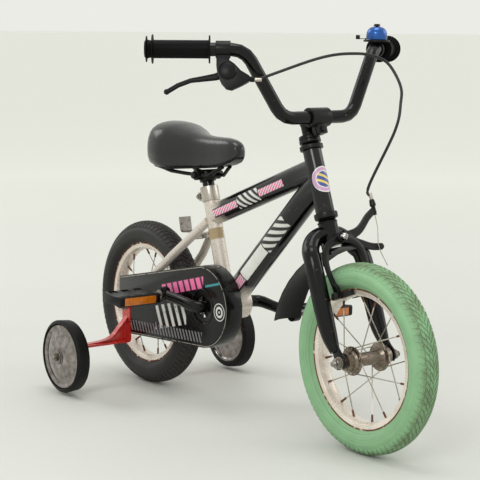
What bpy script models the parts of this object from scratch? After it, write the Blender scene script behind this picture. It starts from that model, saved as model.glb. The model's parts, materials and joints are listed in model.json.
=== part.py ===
"""Children's 12 inch bicycle with training wheels, a front caliper brake and a coaster hub.

X points forward, Y to the rider's left and Z up. The origin is on the ground, midway between
the two axles. Sizes are in metres.
"""

from math import acos, atan2, cos, hypot, pi, radians, sin, sqrt, tan

import bmesh
import bpy
from mathutils import Matrix, Vector

# Gaps: between pieces that touch, and between pieces that turn or slide
SEAT_GAP = 0.0003
RUN_GAP = 0.0004

# Wheels
WHEELBASE = 0.6267
TYRE_RADIUS = 0.1585
TYRE_WIDTH = 0.050
RIM_RADIUS = 0.1165
RIM_WIDTH = 0.028
RIM_DEPTH = 0.013
SPOKES = 16
WHEEL_SIDES = 24
SPOKE_RADIUS = 0.0010
FLANGE_HALF_GAP = 0.030
FRONT_AXLE_RADIUS = 0.0045
REAR_AXLE_RADIUS = 0.0050
FORK_HALF_GAP = 0.0520
REAR_HALF_GAP = 0.0510
ARM_INNER = 0.0437
ARM_OUTER = 0.0463

# Drive
CHAIN_PITCH = 0.0127
CHAIN_LINKS = 62
RING_TEETH = 28
RING_BACK = 0.0443
COG_TEETH = 16
CHAIN_LINE = 0.0430
ROLLER_HALF = 0.0018
PLATE_THICK = 0.0013
LINK_HEIGHT = 0.0082
COG_THICK = 0.0026
BB_HEIGHT = 0.192
BB_SHELL_RADIUS = 0.0285
BB_SHELL_HALF = 0.034
BB_BORE = 0.0257
CRANK_LENGTH = 0.095
CRANK_ANGLE = radians(7.0)
SPINDLE_RADIUS = 0.0110
PEDAL_LENGTH = 0.086
PEDAL_WIDTH = 0.060
PEDAL_THICK = 0.020
PEDAL_TILT = radians(-2.0)
PEDAL_Y = 0.149
PEDAL_EYE = 0.078
PEDAL_AXLE_RADIUS = 0.0062

# Frame tubes
SEAT_ANGLE = radians(73.1)
SEAT_TUBE_RADIUS = 0.0140
SEAT_TUBE_LENGTH = 0.2175
TOP_TUBE_RADIUS = 0.0200
TOP_TUBE_BELOW = 0.0525
DOWN_TUBE_RADIUS = 0.0220
STAY_RADIUS = 0.0080
STAY_BELOW = 0.0595
DROPOUT_THICK = 0.0040

# Steering, measured along the head axis from the point beside the front axle
HEAD_ANGLE = radians(69.7)
RAKE = 0.023
CROWN_SEAT = 0.236
CUP_HEIGHT = 0.013
HEAD_TUBE_LENGTH = 0.1095
HEAD_TUBE_RADIUS = 0.0160
HEAD_TUBE_BORE = 0.0140
CUP_RADIUS = 0.0200
STEERER_RADIUS = 0.0127
QUILL_RADIUS = 0.0105
LEG_Y = 0.0545
LEG_RADIUS = 0.0148
STEM_REACH = 0.0310
STEM_RISE = 0.0478

# Handlebar, in its own plane that leans back
BAR_RADIUS = 0.0111
BAR_LEAN = radians(10.0)
BAR_FLAT_HALF = 0.0748
BAR_RISE = 0.1135
BAR_SHOULDER_HALF = 0.1393
BAR_END_HALF = 0.2636
BAR_END_RISE = 0.0158
BAR_SWEEP = 0.0955
GRIP_LENGTH = 0.102
GRIP_RADIUS = 0.0148
CONTROL_FROM_END = 0.122545
BELL_FROM_END = 0.126545

# Front brake
PIVOT_AT = 0.2035
PAD_AT = 0.1085
PAD_CLEARANCE = 0.0027
LEVER_DROP = radians(70.0)
CALIPER_THICK = 0.0046
CALIPER_FORE = 0.0205
RIM_GRIP_HALF = 0.0140
BARREL_BELOW = 0.0105

# Saddle
POST_RADIUS = 0.0111
POST_INSERT = 0.120
POST_ABOVE = 0.028
SADDLE_LENGTH = 0.238
SADDLE_BACK = 0.1414
SADDLE_HALF_WIDTH = 0.061
SADDLE_RISE = 0.1159
SADDLE_DEPTH = 0.083
PAN_DEPTH = 0.0035
RAIL_RADIUS = 0.0035
RAIL_RISE = 0.0229

# Chain guard
GUARD_FACE = 0.0585
GUARD_WALL = 0.0015
GUARD_FRONT_RADIUS = 0.0745
GUARD_REAR_RADIUS = 0.0560
GUARD_REAR_END = -0.024
GUARD_NOTCH_END = 0.016
GUARD_NOTCH_TOP = 0.023
GUARD_DEEP_EDGE = 0.0240
GUARD_SHALLOW_EDGE = 0.0495

# Training wheels
TRAINING_RADIUS = 0.0690
TRAINING_WIDTH = 0.028
TRAINING_Y = 0.195
TRAINING_LIFT = 0.0042
TRAINING_AXLE_RADIUS = 0.0040
BRACKET_THICK = 0.0045
BRACKET_HALF = 0.0125

# Worked-out places
REAR_X = -WHEELBASE / 2
FRONT_X = WHEELBASE / 2
AXLE_Z = TYRE_RADIUS
AXIS_Y = Vector((0, 1, 0))
AXIS_Z = Vector((0, 0, 1))
REAR_HUB = Vector((REAR_X, 0, AXLE_Z))
FRONT_HUB = Vector((FRONT_X, 0, AXLE_Z))


def pitch_radius(teeth):
    return CHAIN_PITCH / (2 * sin(pi / teeth))


def chain_centres():
    """Distance between the sprockets at which the chain closes with its links."""
    step = pitch_radius(RING_TEETH) - pitch_radius(COG_TEETH)
    span = CHAIN_LINKS * CHAIN_PITCH / 3
    for _ in range(40):
        wrap = acos(step / span)
        links = (RING_TEETH * (pi - wrap) + COG_TEETH * wrap) / pi
        straight = (CHAIN_LINKS - links) * CHAIN_PITCH / 2
        span = hypot(straight, step)
    return span


CHAIN_STAY = chain_centres()
BB = Vector((REAR_X + sqrt(CHAIN_STAY ** 2 - (BB_HEIGHT - AXLE_Z) ** 2), 0, BB_HEIGHT))
SEAT_WAY = Vector((-cos(SEAT_ANGLE), 0, sin(SEAT_ANGLE)))
SEAT_TOP = BB + SEAT_WAY * SEAT_TUBE_LENGTH
POST_TOP = SEAT_TOP + SEAT_WAY * POST_ABOVE
SADDLE_TOP = SEAT_TOP.z + SADDLE_RISE
CLAMP_AT = Vector((POST_TOP.x + 0.0015, 0, SEAT_TOP.z + RAIL_RISE))
HEAD_WAY = Vector((-cos(HEAD_ANGLE), 0, sin(HEAD_ANGLE)))
HEAD_FORE = Vector((sin(HEAD_ANGLE), 0, cos(HEAD_ANGLE)))
STEER_FOOT = FRONT_HUB - HEAD_FORE * RAKE
HEAD_LOW = CROWN_SEAT + 0.0030 + CUP_HEIGHT + SEAT_GAP
HEAD_HIGH = HEAD_LOW + HEAD_TUBE_LENGTH
STEM_HEIGHT = HEAD_HIGH + STEM_RISE
BAR_UP = Vector((-sin(BAR_LEAN), 0, cos(BAR_LEAN)))
BAR_FORE = Vector((cos(BAR_LEAN), 0, sin(BAR_LEAN)))


def steer(along, fore=0.0, left=0.0):
    """A point of the steering unit: along the head axis, ahead of it and to the left."""
    return STEER_FOOT + HEAD_WAY * along + HEAD_FORE * fore + AXIS_Y * left


def behind(x, y, z):
    """A point given by its distance ahead of the rear axle."""
    return Vector((REAR_X + x, y, z))


# Mesh helpers
def frame_at(origin, x_way, z_way):
    """A local frame with its Z along z_way and its X as near x_way as it can be."""
    z = Vector(z_way).normalized()
    y = z.cross(Vector(x_way)).normalized()
    place = Matrix((y.cross(z), y, z)).transposed().to_4x4()
    place.translation = Vector(origin)
    return place


def circle(radius, sides, start=0.0):
    step = 2 * pi / sides
    return [(radius * cos(start + i * step), radius * sin(start + i * step)) for i in range(sides)]


def arc(centre, radius, first, last, steps):
    """Points on an arc, angles in degrees, both ends kept."""
    turns = [radians(first + (last - first) * i / steps) for i in range(steps + 1)]
    return [(centre[0] + radius * cos(t), centre[1] + radius * sin(t)) for t in turns]


def link_outline(a, ra, b, rb, steps=8):
    """The outline of a bar that is round about a and about b."""
    way = atan2(b[1] - a[1], b[0] - a[0]) * 180 / pi
    lean = acos((ra - rb) / hypot(b[0] - a[0], b[1] - a[1])) * 180 / pi
    return arc(a, ra, way + lean, way + 360 - lean, steps) + arc(b, rb, way - lean, way + lean, steps)


def skin(rings, closed=False):
    """Join rings of points with faces. An open skin gets flat ends."""
    bm = bmesh.new()
    loops = [[bm.verts.new(point) for point in ring] for ring in rings]
    pairs = list(zip(loops, loops[1:]))
    if closed:
        pairs.append((loops[-1], loops[0]))
    for a, b in pairs:
        for i in range(len(a)):
            j = (i + 1) % len(a)
            bm.faces.new((a[i], a[j], b[j], b[i]))
    if not closed:
        bm.faces.new(list(reversed(loops[0])))
        bm.faces.new(loops[-1])
    return bm


def turned(profile, place, sides=12, closed=False):
    """Turn a profile of (radius, height) pairs about the Z axis of a frame."""
    bm = bmesh.new()
    rows = []
    for radius, height in profile:
        spots = circle(radius, sides) if radius > 1e-6 else [(0, 0)]
        rows.append([bm.verts.new(place @ Vector((x, y, height))) for x, y in spots])
    pairs = list(zip(rows, rows[1:]))
    if closed:
        pairs.append((rows[-1], rows[0]))
    for a, b in pairs:
        for i in range(sides):
            j = (i + 1) % sides
            if len(a) == 1:
                bm.faces.new((a[0], b[j], b[i]))
            elif len(b) == 1:
                bm.faces.new((a[i], a[j], b[0]))
            else:
                bm.faces.new((a[i], a[j], b[j], b[i]))
    if not closed:
        if len(rows[0]) > 1:
            bm.faces.new(list(reversed(rows[0])))
        if len(rows[-1]) > 1:
            bm.faces.new(rows[-1])
    return bm


def rod(a, b, radius, sides=10):
    way = b - a
    side = AXIS_Y if abs(way.normalized().y) < 0.9 else AXIS_Z
    return turned([(radius, 0), (radius, way.length)], frame_at(a, side, way), sides)


def slab(outline, low, high, place):
    """Extrude an outline in a frame's XY plane from low to high along its Z."""
    return skin([[place @ Vector((x, y, z)) for x, y in outline] for z in (low, high)])


def sweep(path, sizes, across, sides=8, section=None):
    """A bar along a path; sizes holds (half width along across, half height), one or one a point."""
    rings = []
    section = section or circle(1, sides)
    sizes = sizes if isinstance(sizes, list) else [sizes] * len(path)
    for i, point in enumerate(path):
        way = (path[min(i + 1, len(path) - 1)] - path[max(i - 1, 0)]).normalized()
        wide = (across - way * across.dot(way)).normalized()
        high = way.cross(wide)
        half_wide, half_high = sizes[i]
        rings.append([point + wide * x * half_wide + high * y * half_high for x, y in section])
    return skin(rings)


def side_slab(outline, low, high, origin):
    """Extrude an outline of (forward, up) pairs from y low to y high, about an origin."""
    centre = Vector((origin.x, 0, origin.z))
    return slab(outline, -high, -low, frame_at(centre, (1, 0, 0), (0, -1, 0)))


def across_y(profile, origin, sides=12, closed=False):
    """Turn (radius, y) pairs about the line through origin along Y."""
    centre = Vector((origin.x, 0, origin.z))
    return turned(profile, frame_at(centre, (1, 0, 0), AXIS_Y), sides, closed)


def bore_of(radius, gap, sides):
    """The corner radius of a bore whose flats clear a shaft by the gap all round."""
    return (radius + gap) / cos(pi / sides)


def sleeve(outer, inner, low, high):
    """The closed profile of a plain ring."""
    return [(inner, low), (outer, low), (outer, high), (inner, high)]


def filleted(points, radius, steps=5):
    """A path through points whose corners are rounded by arcs of one radius."""
    path = [points[0]]
    for before, corner, after in zip(points, points[1:], points[2:]):
        back, on = (before - corner).normalized(), (after - corner).normalized()
        half = back.angle(on) / 2
        reach = radius / tan(half)
        centre = corner + (back + on).normalized() * radius / sin(half)
        start, end = corner + back * reach - centre, corner + on * reach - centre
        whole = start.angle(end)
        for i in range(steps + 1):
            t = i / steps
            mix = start * sin((1 - t) * whole) + end * sin(t * whole)
            path.append(centre + mix / sin(whole))
    return path + [points[-1]]


def smooth(points, steps):
    """A Catmull-Rom curve through points, with so many steps between each two."""
    ends = [points[0] * 2 - points[1]] + list(points) + [points[-1] * 2 - points[-2]]
    path = []
    for a, b, c, d in zip(ends, ends[1:], ends[2:], ends[3:]):
        for i in range(steps):
            t = i / steps
            path.append((b * 2 + (c - a) * t + (a * 2 - b * 5 + c * 4 - d) * t ** 2
                         + (b * 3 - a - c * 3 + d) * t ** 3) / 2)
    return path + [points[-1]]


def mesh_from(bm):
    bmesh.ops.recalc_face_normals(bm, faces=bm.faces)
    mesh = bpy.data.meshes.new("piece")
    bm.to_mesh(mesh)
    bm.free()
    return mesh


def boolean(base, other, operation):
    """One Boolean of two meshes, which are used up."""
    pair = [bpy.data.objects.new("operand", mesh) for mesh in (base, other)]
    for obj in pair:
        bpy.context.scene.collection.objects.link(obj)
    modifier = pair[0].modifiers.new("cut", "BOOLEAN")
    modifier.operation = operation
    modifier.object = pair[1]
    bpy.context.view_layer.update()
    shown = pair[0].evaluated_get(bpy.context.evaluated_depsgraph_get())
    result = bpy.data.meshes.new_from_object(shown)
    for obj in pair:
        bpy.data.objects.remove(obj)
    return result


def fused(parts, cuts=()):
    """Union of closed shapes, less the cuts, with flat faces joined where that leaves it closed."""
    result = mesh_from(parts[0])
    for bm in parts[1:]:
        result = boolean(result, mesh_from(bm), "UNION")
    for bm in cuts:
        result = boolean(result, mesh_from(bm), "DIFFERENCE")
    bm = mesh_to_bmesh(result)
    bmesh.ops.dissolve_limit(bm, angle_limit=radians(0.3), verts=bm.verts, edges=bm.edges)
    if any(len(edge.link_faces) != 2 for edge in bm.edges):
        bm.free()
        bm = mesh_to_bmesh(result)
    return mesh_from(bm)


def mirrored(bm):
    """The same shape on the other side of the bicycle."""
    bmesh.ops.transform(bm, matrix=Matrix.Scale(-1, 4, AXIS_Y), verts=bm.verts)
    bmesh.ops.reverse_faces(bm, faces=bm.faces)
    return bm


def on_side(bm, side):
    """Shapes are drawn on the left; side is 1 for left and -1 for right."""
    return bm if side > 0 else mirrored(bm)


MATERIALS = {}


def material(name, colour, rough, metal):
    made = bpy.data.materials.new(name)
    made.use_nodes = True
    shader = made.node_tree.nodes["Principled BSDF"]
    shader.inputs["Base Color"].default_value = (*colour, 1.0)
    shader.inputs["Roughness"].default_value = rough
    shader.inputs["Metallic"].default_value = metal
    MATERIALS[name] = made


def axis_empty(name, origin, x_way, z_way, parent=None):
    """An empty on a joint's axis, its Z along the axis."""
    empty = bpy.data.objects.new(name, None)
    bpy.context.scene.collection.objects.link(empty)
    empty.empty_display_size = 0.03
    if parent:
        empty.parent = parent
        bpy.context.view_layer.update()
        empty.matrix_parent_inverse = parent.matrix_world.inverted()
    empty.matrix_basis = frame_at(origin, x_way, z_way)
    bpy.context.view_layer.update()
    return empty


def node(name, shape, finish, parent=None, sharp=35.0):
    """Keep a shape, drawn in world places, as a named piece on its body's empty."""
    mesh = mesh_from(shape) if isinstance(shape, bmesh.types.BMesh) else shape
    mesh.name = name
    mesh.materials.clear()
    mesh.materials.append(MATERIALS[finish])
    obj = bpy.data.objects.new(name, mesh)
    bpy.context.scene.collection.objects.link(obj)
    if parent:
        mesh.transform(parent.matrix_world.inverted())
        obj.parent = parent
    mesh.shade_smooth()
    mesh.set_sharp_from_angle(angle=radians(sharp))
    return obj


# Frame and what is fixed to it
BRIDGE_AHEAD = 0.1666
STAY_CLIP_X = 0.115
CHAIN_STAY_ROUTE = [(BB.x - REAR_X - 0.0256, 0.0230), (0.1900, 0.0300), (0.1650, 0.0370), (0.1300, 0.0450),
                    (0.1000, 0.0450), (0.0600, 0.0500), (0.0337, 0.0521)]
CHAIN_STAY_SIZES = [(0.0065, 0.0085), (0.0065, 0.0085), (0.0075, 0.0080), (STAY_RADIUS, STAY_RADIUS),
                    (STAY_RADIUS, STAY_RADIUS), (0.0055, 0.0085), (0.0040, 0.0085)]
STAY_TOP = SEAT_TOP - SEAT_WAY * STAY_BELOW
SEAT_STAY_ROUTE = [(STAY_TOP.x - REAR_X - 0.0047, 0.0110), (0.1200, 0.0365), (0.1000, 0.0390),
                   (0.0860, 0.0440),
                   (0.0690, 0.0521), (0.0255, 0.0521)]
SEAT_STAY_SIZES = [(STAY_RADIUS, STAY_RADIUS), (STAY_RADIUS, STAY_RADIUS), (STAY_RADIUS, STAY_RADIUS),
                   (0.0072, 0.0078), (0.0041, 0.0072), (0.0038, 0.0065)]


def stay_path(route, top, foot):
    """Heights along a stay are read off a straight line from its top to its foot."""
    rise = (top.z - foot.z) / (top.x - foot.x)
    return [Vector((REAR_X + x, y, foot.z + (REAR_X + x - foot.x) * rise)) for x, y in route]


def chain_stay():
    return stay_path(CHAIN_STAY_ROUTE, BB, behind(CHAIN_STAY_ROUTE[-1][0], 0, AXLE_Z + 0.0045))


SEAT_STAY_ENDS = (STAY_TOP, behind(SEAT_STAY_ROUTE[-1][0], 0, AXLE_Z + 0.0215))
BRIDGE = stay_path([(BRIDGE_AHEAD, 0)], *SEAT_STAY_ENDS)[0]


def seat_stay():
    return stay_path(SEAT_STAY_ROUTE, *SEAT_STAY_ENDS)


def fattened(sizes, more):
    return [(wide + more, high + more) for wide, high in sizes]


def main_tube(start, end, radius, first, last):
    """A tube squeezed at each end to the width of the tube that it meets."""
    way = (end - start).normalized()
    path = [start, start + way * 0.045, end - way * 0.050, end]
    return sweep(path, [(first, radius), (radius, radius), (radius, radius), (last, radius)], AXIS_Y, 12)


def build_frame():
    """Main tubes, stays, bridge and dropouts, welded into one body."""
    narrow_seat = SEAT_TUBE_RADIUS - 0.0006
    narrow_head = HEAD_TUBE_RADIUS - 0.0006
    parts = [across_y([(BB_SHELL_RADIUS, -BB_SHELL_HALF), (BB_SHELL_RADIUS, BB_SHELL_HALF)], BB, 16)]
    parts.append(rod(BB, SEAT_TOP, SEAT_TUBE_RADIUS, 16))
    parts.append(rod(steer(HEAD_LOW), steer(HEAD_HIGH), HEAD_TUBE_RADIUS, 16))
    top_start = SEAT_TOP - SEAT_WAY * TOP_TUBE_BELOW
    parts.append(main_tube(top_start, steer(HEAD_HIGH - 0.0328), TOP_TUBE_RADIUS, narrow_seat, narrow_head))
    parts.append(main_tube(BB, steer(HEAD_HIGH - 0.0560), DOWN_TUBE_RADIUS, DOWN_TUBE_RADIUS, narrow_head))
    parts.append(rod(BRIDGE - AXIS_Y * 0.020, BRIDGE + AXIS_Y * 0.020, 0.006, 8))
    plate = [(-0.020, -0.013), (0.006, -0.0155), (0.020, -0.0065), (0.045, -0.0055), (0.051, 0.004),
             (0.047, 0.0135), (0.034, 0.0165), (0.037, 0.028), (0.031, 0.034), (0.023, 0.030),
             (0.012, 0.0165), (-0.020, 0.013)]
    slot_radius = REAR_AXLE_RADIUS + SEAT_GAP
    slot = arc((0, 0), slot_radius, -90, 90, 5) + [(-0.040, slot_radius), (-0.040, -slot_radius)]
    cuts = [across_y([(BB_BORE, -0.050), (BB_BORE, 0.050)], BB, 16)]
    cuts.append(rod(BRIDGE - Vector((0.02, 0, 0)), BRIDGE + Vector((0.02, 0, 0)), 0.0028, 8))
    turned_side = Matrix.Rotation(pi / 16, 3, HEAD_WAY) @ AXIS_Y
    cuts.append(turned([(HEAD_TUBE_BORE, HEAD_LOW - 0.02), (HEAD_TUBE_BORE, HEAD_HIGH + 0.02)],
                       frame_at(STEER_FOOT, turned_side, HEAD_WAY), 16))
    bore_foot = SEAT_TOP - SEAT_WAY * (POST_INSERT + 0.025)
    cuts.append(rod(bore_foot, SEAT_TOP + SEAT_WAY * 0.02, POST_RADIUS + SEAT_GAP, 16))
    slit = frame_at(SEAT_TOP - SEAT_WAY * 0.026, (-1, 0, 0), SEAT_WAY)
    cuts.append(slab([(0.006, -0.0012), (0.03, -0.0012), (0.03, 0.0012), (0.006, 0.0012)], 0, 0.05, slit))
    for side in (1, -1):
        parts.append(on_side(sweep(chain_stay(), CHAIN_STAY_SIZES, AXIS_Y), side))
        parts.append(on_side(sweep(seat_stay(), SEAT_STAY_SIZES, AXIS_Y), side))
        outer = REAR_HALF_GAP + DROPOUT_THICK
        parts.append(on_side(side_slab(plate, REAR_HALF_GAP, outer, REAR_HUB), side))
        cuts.append(on_side(side_slab(slot, 0.03, 0.08, REAR_HUB), side))
    node("frame", fused(parts, cuts), "frame_paint", sharp=40)


def build_headset():
    skirt = HEAD_TUBE_BORE - SEAT_GAP
    bore = bore_of(STEERER_RADIUS, RUN_GAP, 16)
    lower = [(bore, -0.009), (skirt, -0.009), (skirt, 0), (CUP_RADIUS, 0.0002), (CUP_RADIUS, 0.009),
             (bore, CUP_HEIGHT)]
    place = frame_at(steer(HEAD_LOW - SEAT_GAP), AXIS_Y, -HEAD_WAY)
    node("headset_lower_cup", turned(lower, place, 16, True), "black_steel")
    place = frame_at(steer(HEAD_HIGH + SEAT_GAP), AXIS_Y, HEAD_WAY)
    upper = [(r, h if h < 0.009 else h - 0.002) for r, h in lower]
    node("headset_upper_cup", turned(upper, place, 16, True), "black_steel")


def build_bottom_bracket():
    """Pressed cups with a cone nut's face; the spindle runs through them."""
    bore = bore_of(SPINDLE_RADIUS, RUN_GAP, 16)
    skirt = BB_BORE - SEAT_GAP
    end = BB_SHELL_HALF
    profile = [(bore, end - 0.012), (skirt, end - 0.012), (skirt, end + SEAT_GAP),
               (BB_SHELL_RADIUS - 0.001, end + SEAT_GAP), (0.0230, end + 0.0028), (bore, end + 0.0028)]
    for side, name in ((1, "left"), (-1, "right")):
        node("bottom_bracket_cup_" + name, on_side(across_y(profile, BB, 16, True), side), "chrome")


def build_seat_clamp():
    """A split collar round the top of the seat tube, with ears behind it and a bolt through them."""
    inner = SEAT_TUBE_RADIUS + SEAT_GAP
    low, high = -0.026, 0.0010
    place = frame_at(SEAT_TOP, (-1, 0, 0), SEAT_WAY)
    lip = sleeve(inner + 0.0026, inner, low, high)
    ears = [(inner + 0.0006, -0.0075), (0.0270, -0.0075), (0.0270, 0.0075), (inner + 0.0006, 0.0075)]
    cuts = [slab([(0.008, -0.0013), (0.04, -0.0013), (0.04, 0.0013), (0.008, 0.0013)], low - 0.01, 0.02,
                 place)]
    bolt_at = place @ Vector((0.0215, 0, -0.0130))
    cuts.append(rod(bolt_at - AXIS_Y * 0.03, bolt_at + AXIS_Y * 0.03, 0.0030 + SEAT_GAP, 8))
    ring = fused([turned(lip, place, 16, True), slab(ears, -0.021, -0.005, place)], cuts)
    node("seat_clamp", ring, "steel")
    head = [(0.0050, -0.0125), (0.0055, -0.0078), (0.0030, -0.0078), (0.0030, 0.0078), (0.0054, 0.0078),
            (0.0054, 0.0120), (0.0030, 0.0120), (0.0030, 0.0150)]
    node("seat_clamp_bolt", turned(head, frame_at(bolt_at, (1, 0, 0), -AXIS_Y), 8), "zinc")


def build_rear_axle():
    """Axle with its cones and outer nuts in one piece, as it is when tightened up."""
    gap, bracket = REAR_HALF_GAP, REAR_HALF_GAP + DROPOUT_THICK + SEAT_GAP + BRACKET_THICK
    nut = bracket + SEAT_GAP
    r = REAR_AXLE_RADIUS
    half = [(r, 0.0471), (0.0105, gap - SEAT_GAP), (r, gap - SEAT_GAP), (r, nut), (0.0105, nut),
            (0.0088, nut + 0.0100), (r, nut + 0.0132)]
    profile = [(radius, -y) for radius, y in reversed(half)] + half
    node("rear_axle", across_y(profile, REAR_HUB, 8), "zinc")


def stay_clip(at_x, half_width):
    """A band round the left chain stay where it is straight and round."""
    path = chain_stay()
    start, end = path[4], path[3]
    way = (end - start).normalized()
    centre = start + way * ((REAR_X + at_x - start.x) / way.x)
    bore = bore_of(STAY_RADIUS, SEAT_GAP, 12)
    profile = sleeve(bore + 0.0015, bore, -half_width, half_width)
    return turned(profile, frame_at(centre, AXIS_Y, way), 12, True), centre


def build_brake_arm():
    """The hub's reaction arm, held to the left stay by a band."""
    band, centre = stay_clip(STAY_CLIP_X, 0.006)
    rise = centre.z - AXLE_Z
    foot = (centre.x - REAR_X, rise - STAY_RADIUS - 0.0115)
    outline = arc((0, 0), 0.0150, 60, 265, 6) + [(0.0400, -0.0165)] + arc(foot, 0.0070, -85, 85, 3)
    arm = side_slab(outline + [(0.0420, -0.0035), (0.0300, 0.0010)], ARM_INNER, ARM_OUTER, REAR_HUB)
    ear_top = rise - STAY_RADIUS - 0.0009
    ear = [(foot[0] - 0.0055, foot[1]), (foot[0] + 0.0055, foot[1]),
           (foot[0] + 0.0055, ear_top), (foot[0] - 0.0055, ear_top)]
    screw = across_y([(0.0042, 0.0430), (0.0042, 0.0500)], REAR_HUB + Vector((foot[0], 0, foot[1])), 6)
    bore = bore_of(REAR_AXLE_RADIUS, SEAT_GAP, 10)
    cut = across_y([(bore, 0.03), (bore, 0.06)], REAR_HUB, 10)
    shape = fused([arm, side_slab(ear, ARM_INNER, ARM_OUTER, REAR_HUB), band, screw], [cut])
    node("brake_arm", shape, "zinc")


def guard_outline(inset):
    """Round the chainring in front, tangent to a smaller round behind, cut off before the axle."""
    front, rear = GUARD_FRONT_RADIUS - inset, GUARD_REAR_RADIUS - inset
    rise = BB.z - AXLE_Z
    way = atan2(rise, BB.x - REAR_X) * 180 / pi
    lean = 180 - acos((front - rear) / CHAIN_STAY) * 180 / pi
    centre = (BB.x - REAR_X, rise)
    round_front = arc(centre, front, way - lean, way + lean, 16)
    cut = GUARD_REAR_END

    def at_cut(angle):
        """Where the straight edge at this angle reaches the cut."""
        x, z = rear * cos(radians(angle)), rear * sin(radians(angle))
        slope = -x / z
        return (cut, z + (cut - x) * slope)

    return [at_cut(way - lean)] + round_front + [at_cut(way + lean)]


def open_behind(outline):
    """Carry the two ends of the outline out past the rear cut."""
    first, last = outline[0], outline[-1]
    return [(first[0] - 0.02, first[1])] + outline + [(last[0] - 0.02, last[1])]


def build_chain_guard():
    """A tray open towards the wheel: one face, a rim that is deep round the ring and shallow behind."""
    face = -GUARD_FACE
    hole = BB_SHELL_RADIUS + 0.0010
    body = side_slab(guard_outline(0), face, -GUARD_DEEP_EDGE, REAR_HUB)
    lip = across_y([(hole + 0.0035, face - 0.0012), (hole + 0.0035, face + 0.0010)], BB, 18)
    shallow = [(-0.010, -0.090), (0.175, -0.090), (0.165, 0.140), (-0.010, 0.140)]
    cuts = [side_slab(open_behind(guard_outline(GUARD_WALL)), face + GUARD_WALL, 0, REAR_HUB)]
    cuts.append(side_slab(shallow, -GUARD_SHALLOW_EDGE, 0.01, REAR_HUB))
    cuts.append(across_y([(hole, -0.070), (hole, -0.040)], BB, 18))
    notch = [(-0.060, -0.090), (GUARD_NOTCH_END, -0.090), (GUARD_NOTCH_END, GUARD_NOTCH_TOP),
             (-0.060, GUARD_NOTCH_TOP)]
    cuts.append(side_slab(notch, face - 0.01, 0.01, REAR_HUB))
    cuts.append(mirrored(sweep(seat_stay(), fattened(SEAT_STAY_SIZES, 0.0014), AXIS_Y)))
    node("chain_guard", fused([body, lip], cuts), "guard_plastic", sharp=30)


def build_guard_clip():
    """A band round the right chain stay with a boss that the guard is screwed to."""
    band, centre = stay_clip(STAY_CLIP_X, 0.005)
    inner_face = GUARD_FACE - GUARD_WALL - SEAT_GAP
    boss = across_y([(0.0055, centre.y + STAY_RADIUS + 0.0010), (0.0055, inner_face)], centre, 8)
    node("chain_guard_clip", on_side(mesh_to_bmesh(fused([band, boss])), -1), "zinc")


def mesh_to_bmesh(mesh):
    bm = bmesh.new()
    bm.from_mesh(mesh)
    return bm


def build_guard_tab():
    """A bent tab bolted to the seat stays' bridge, as left when no rear mudguard is fitted."""
    back = BRIDGE.x - 0.006 - SEAT_GAP
    z = BRIDGE.z
    route = [Vector((back, 0, z - 0.008)), Vector((back, 0, z + 0.006)),
             Vector((back - 0.043, 0, z + 0.002)),
             Vector((back - 0.049, 0, z + 0.029))]
    path = filleted(route, 0.0035, 2)
    widths = [0.0085 + 0.0045 * min(1, max(0, (back - point.x) / 0.043)) for point in path]
    tab = sweep(path, [(wide, 0.0016) for wide in widths], AXIS_Y,
                section=[(-1, 0), (1, 0), (1, 1), (-1, 1)])
    bolt = turned([(0.0045, -0.0098), (0.0045, -0.0066), (0.0025, -0.0066), (0.0025, 0.0063),
                   (0.0045, 0.0063),
                   (0.0045, 0.0095)], frame_at(BRIDGE, AXIS_Y, (1, 0, 0)), 8)
    node("guard_tab", fused([tab, bolt]), "zinc")


# Drive
def chain_layout():
    """Turns, in radians and in links, that fix where each pin of the chain lies."""
    rise, run = BB.z - AXLE_Z, BB.x - REAR_X
    way = atan2(rise, run)
    wrap = pi - acos((pitch_radius(RING_TEETH) - pitch_radius(COG_TEETH)) / CHAIN_STAY)
    on_ring = RING_TEETH * wrap / pi
    on_cog = COG_TEETH * (pi - wrap) / pi
    return way, wrap, on_ring, (CHAIN_LINKS - on_ring - on_cog) / 2


def on_wheel(centre, radius, turn):
    return Vector((centre.x + radius * cos(turn), -CHAIN_LINE, centre.z + radius * sin(turn)))


def chain_pins():
    """The pins, from the upper run's rear end forward, round the ring and back round the cog."""
    way, wrap, on_ring, on_run = chain_layout()
    ring, cog = pitch_radius(RING_TEETH), pitch_radius(COG_TEETH)
    upper = (on_wheel(REAR_HUB, cog, way + wrap), on_wheel(BB, ring, way + wrap))
    lower = (on_wheel(BB, ring, way - wrap), on_wheel(REAR_HUB, cog, way - wrap))
    pins = []
    for u in range(CHAIN_LINKS):
        if u < on_run:
            pins.append(upper[0].lerp(upper[1], u / on_run))
        elif u < on_run + on_ring:
            pins.append(on_wheel(BB, ring, way + wrap - (u - on_run) * 2 * pi / RING_TEETH))
        elif u < 2 * on_run + on_ring:
            pins.append(lower[0].lerp(lower[1], (u - on_run - on_ring) / on_run))
        else:
            turn = (u - 2 * on_run - on_ring) * 2 * pi / COG_TEETH
            pins.append(on_wheel(REAR_HUB, cog, way - wrap - turn))
    return pins


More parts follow.
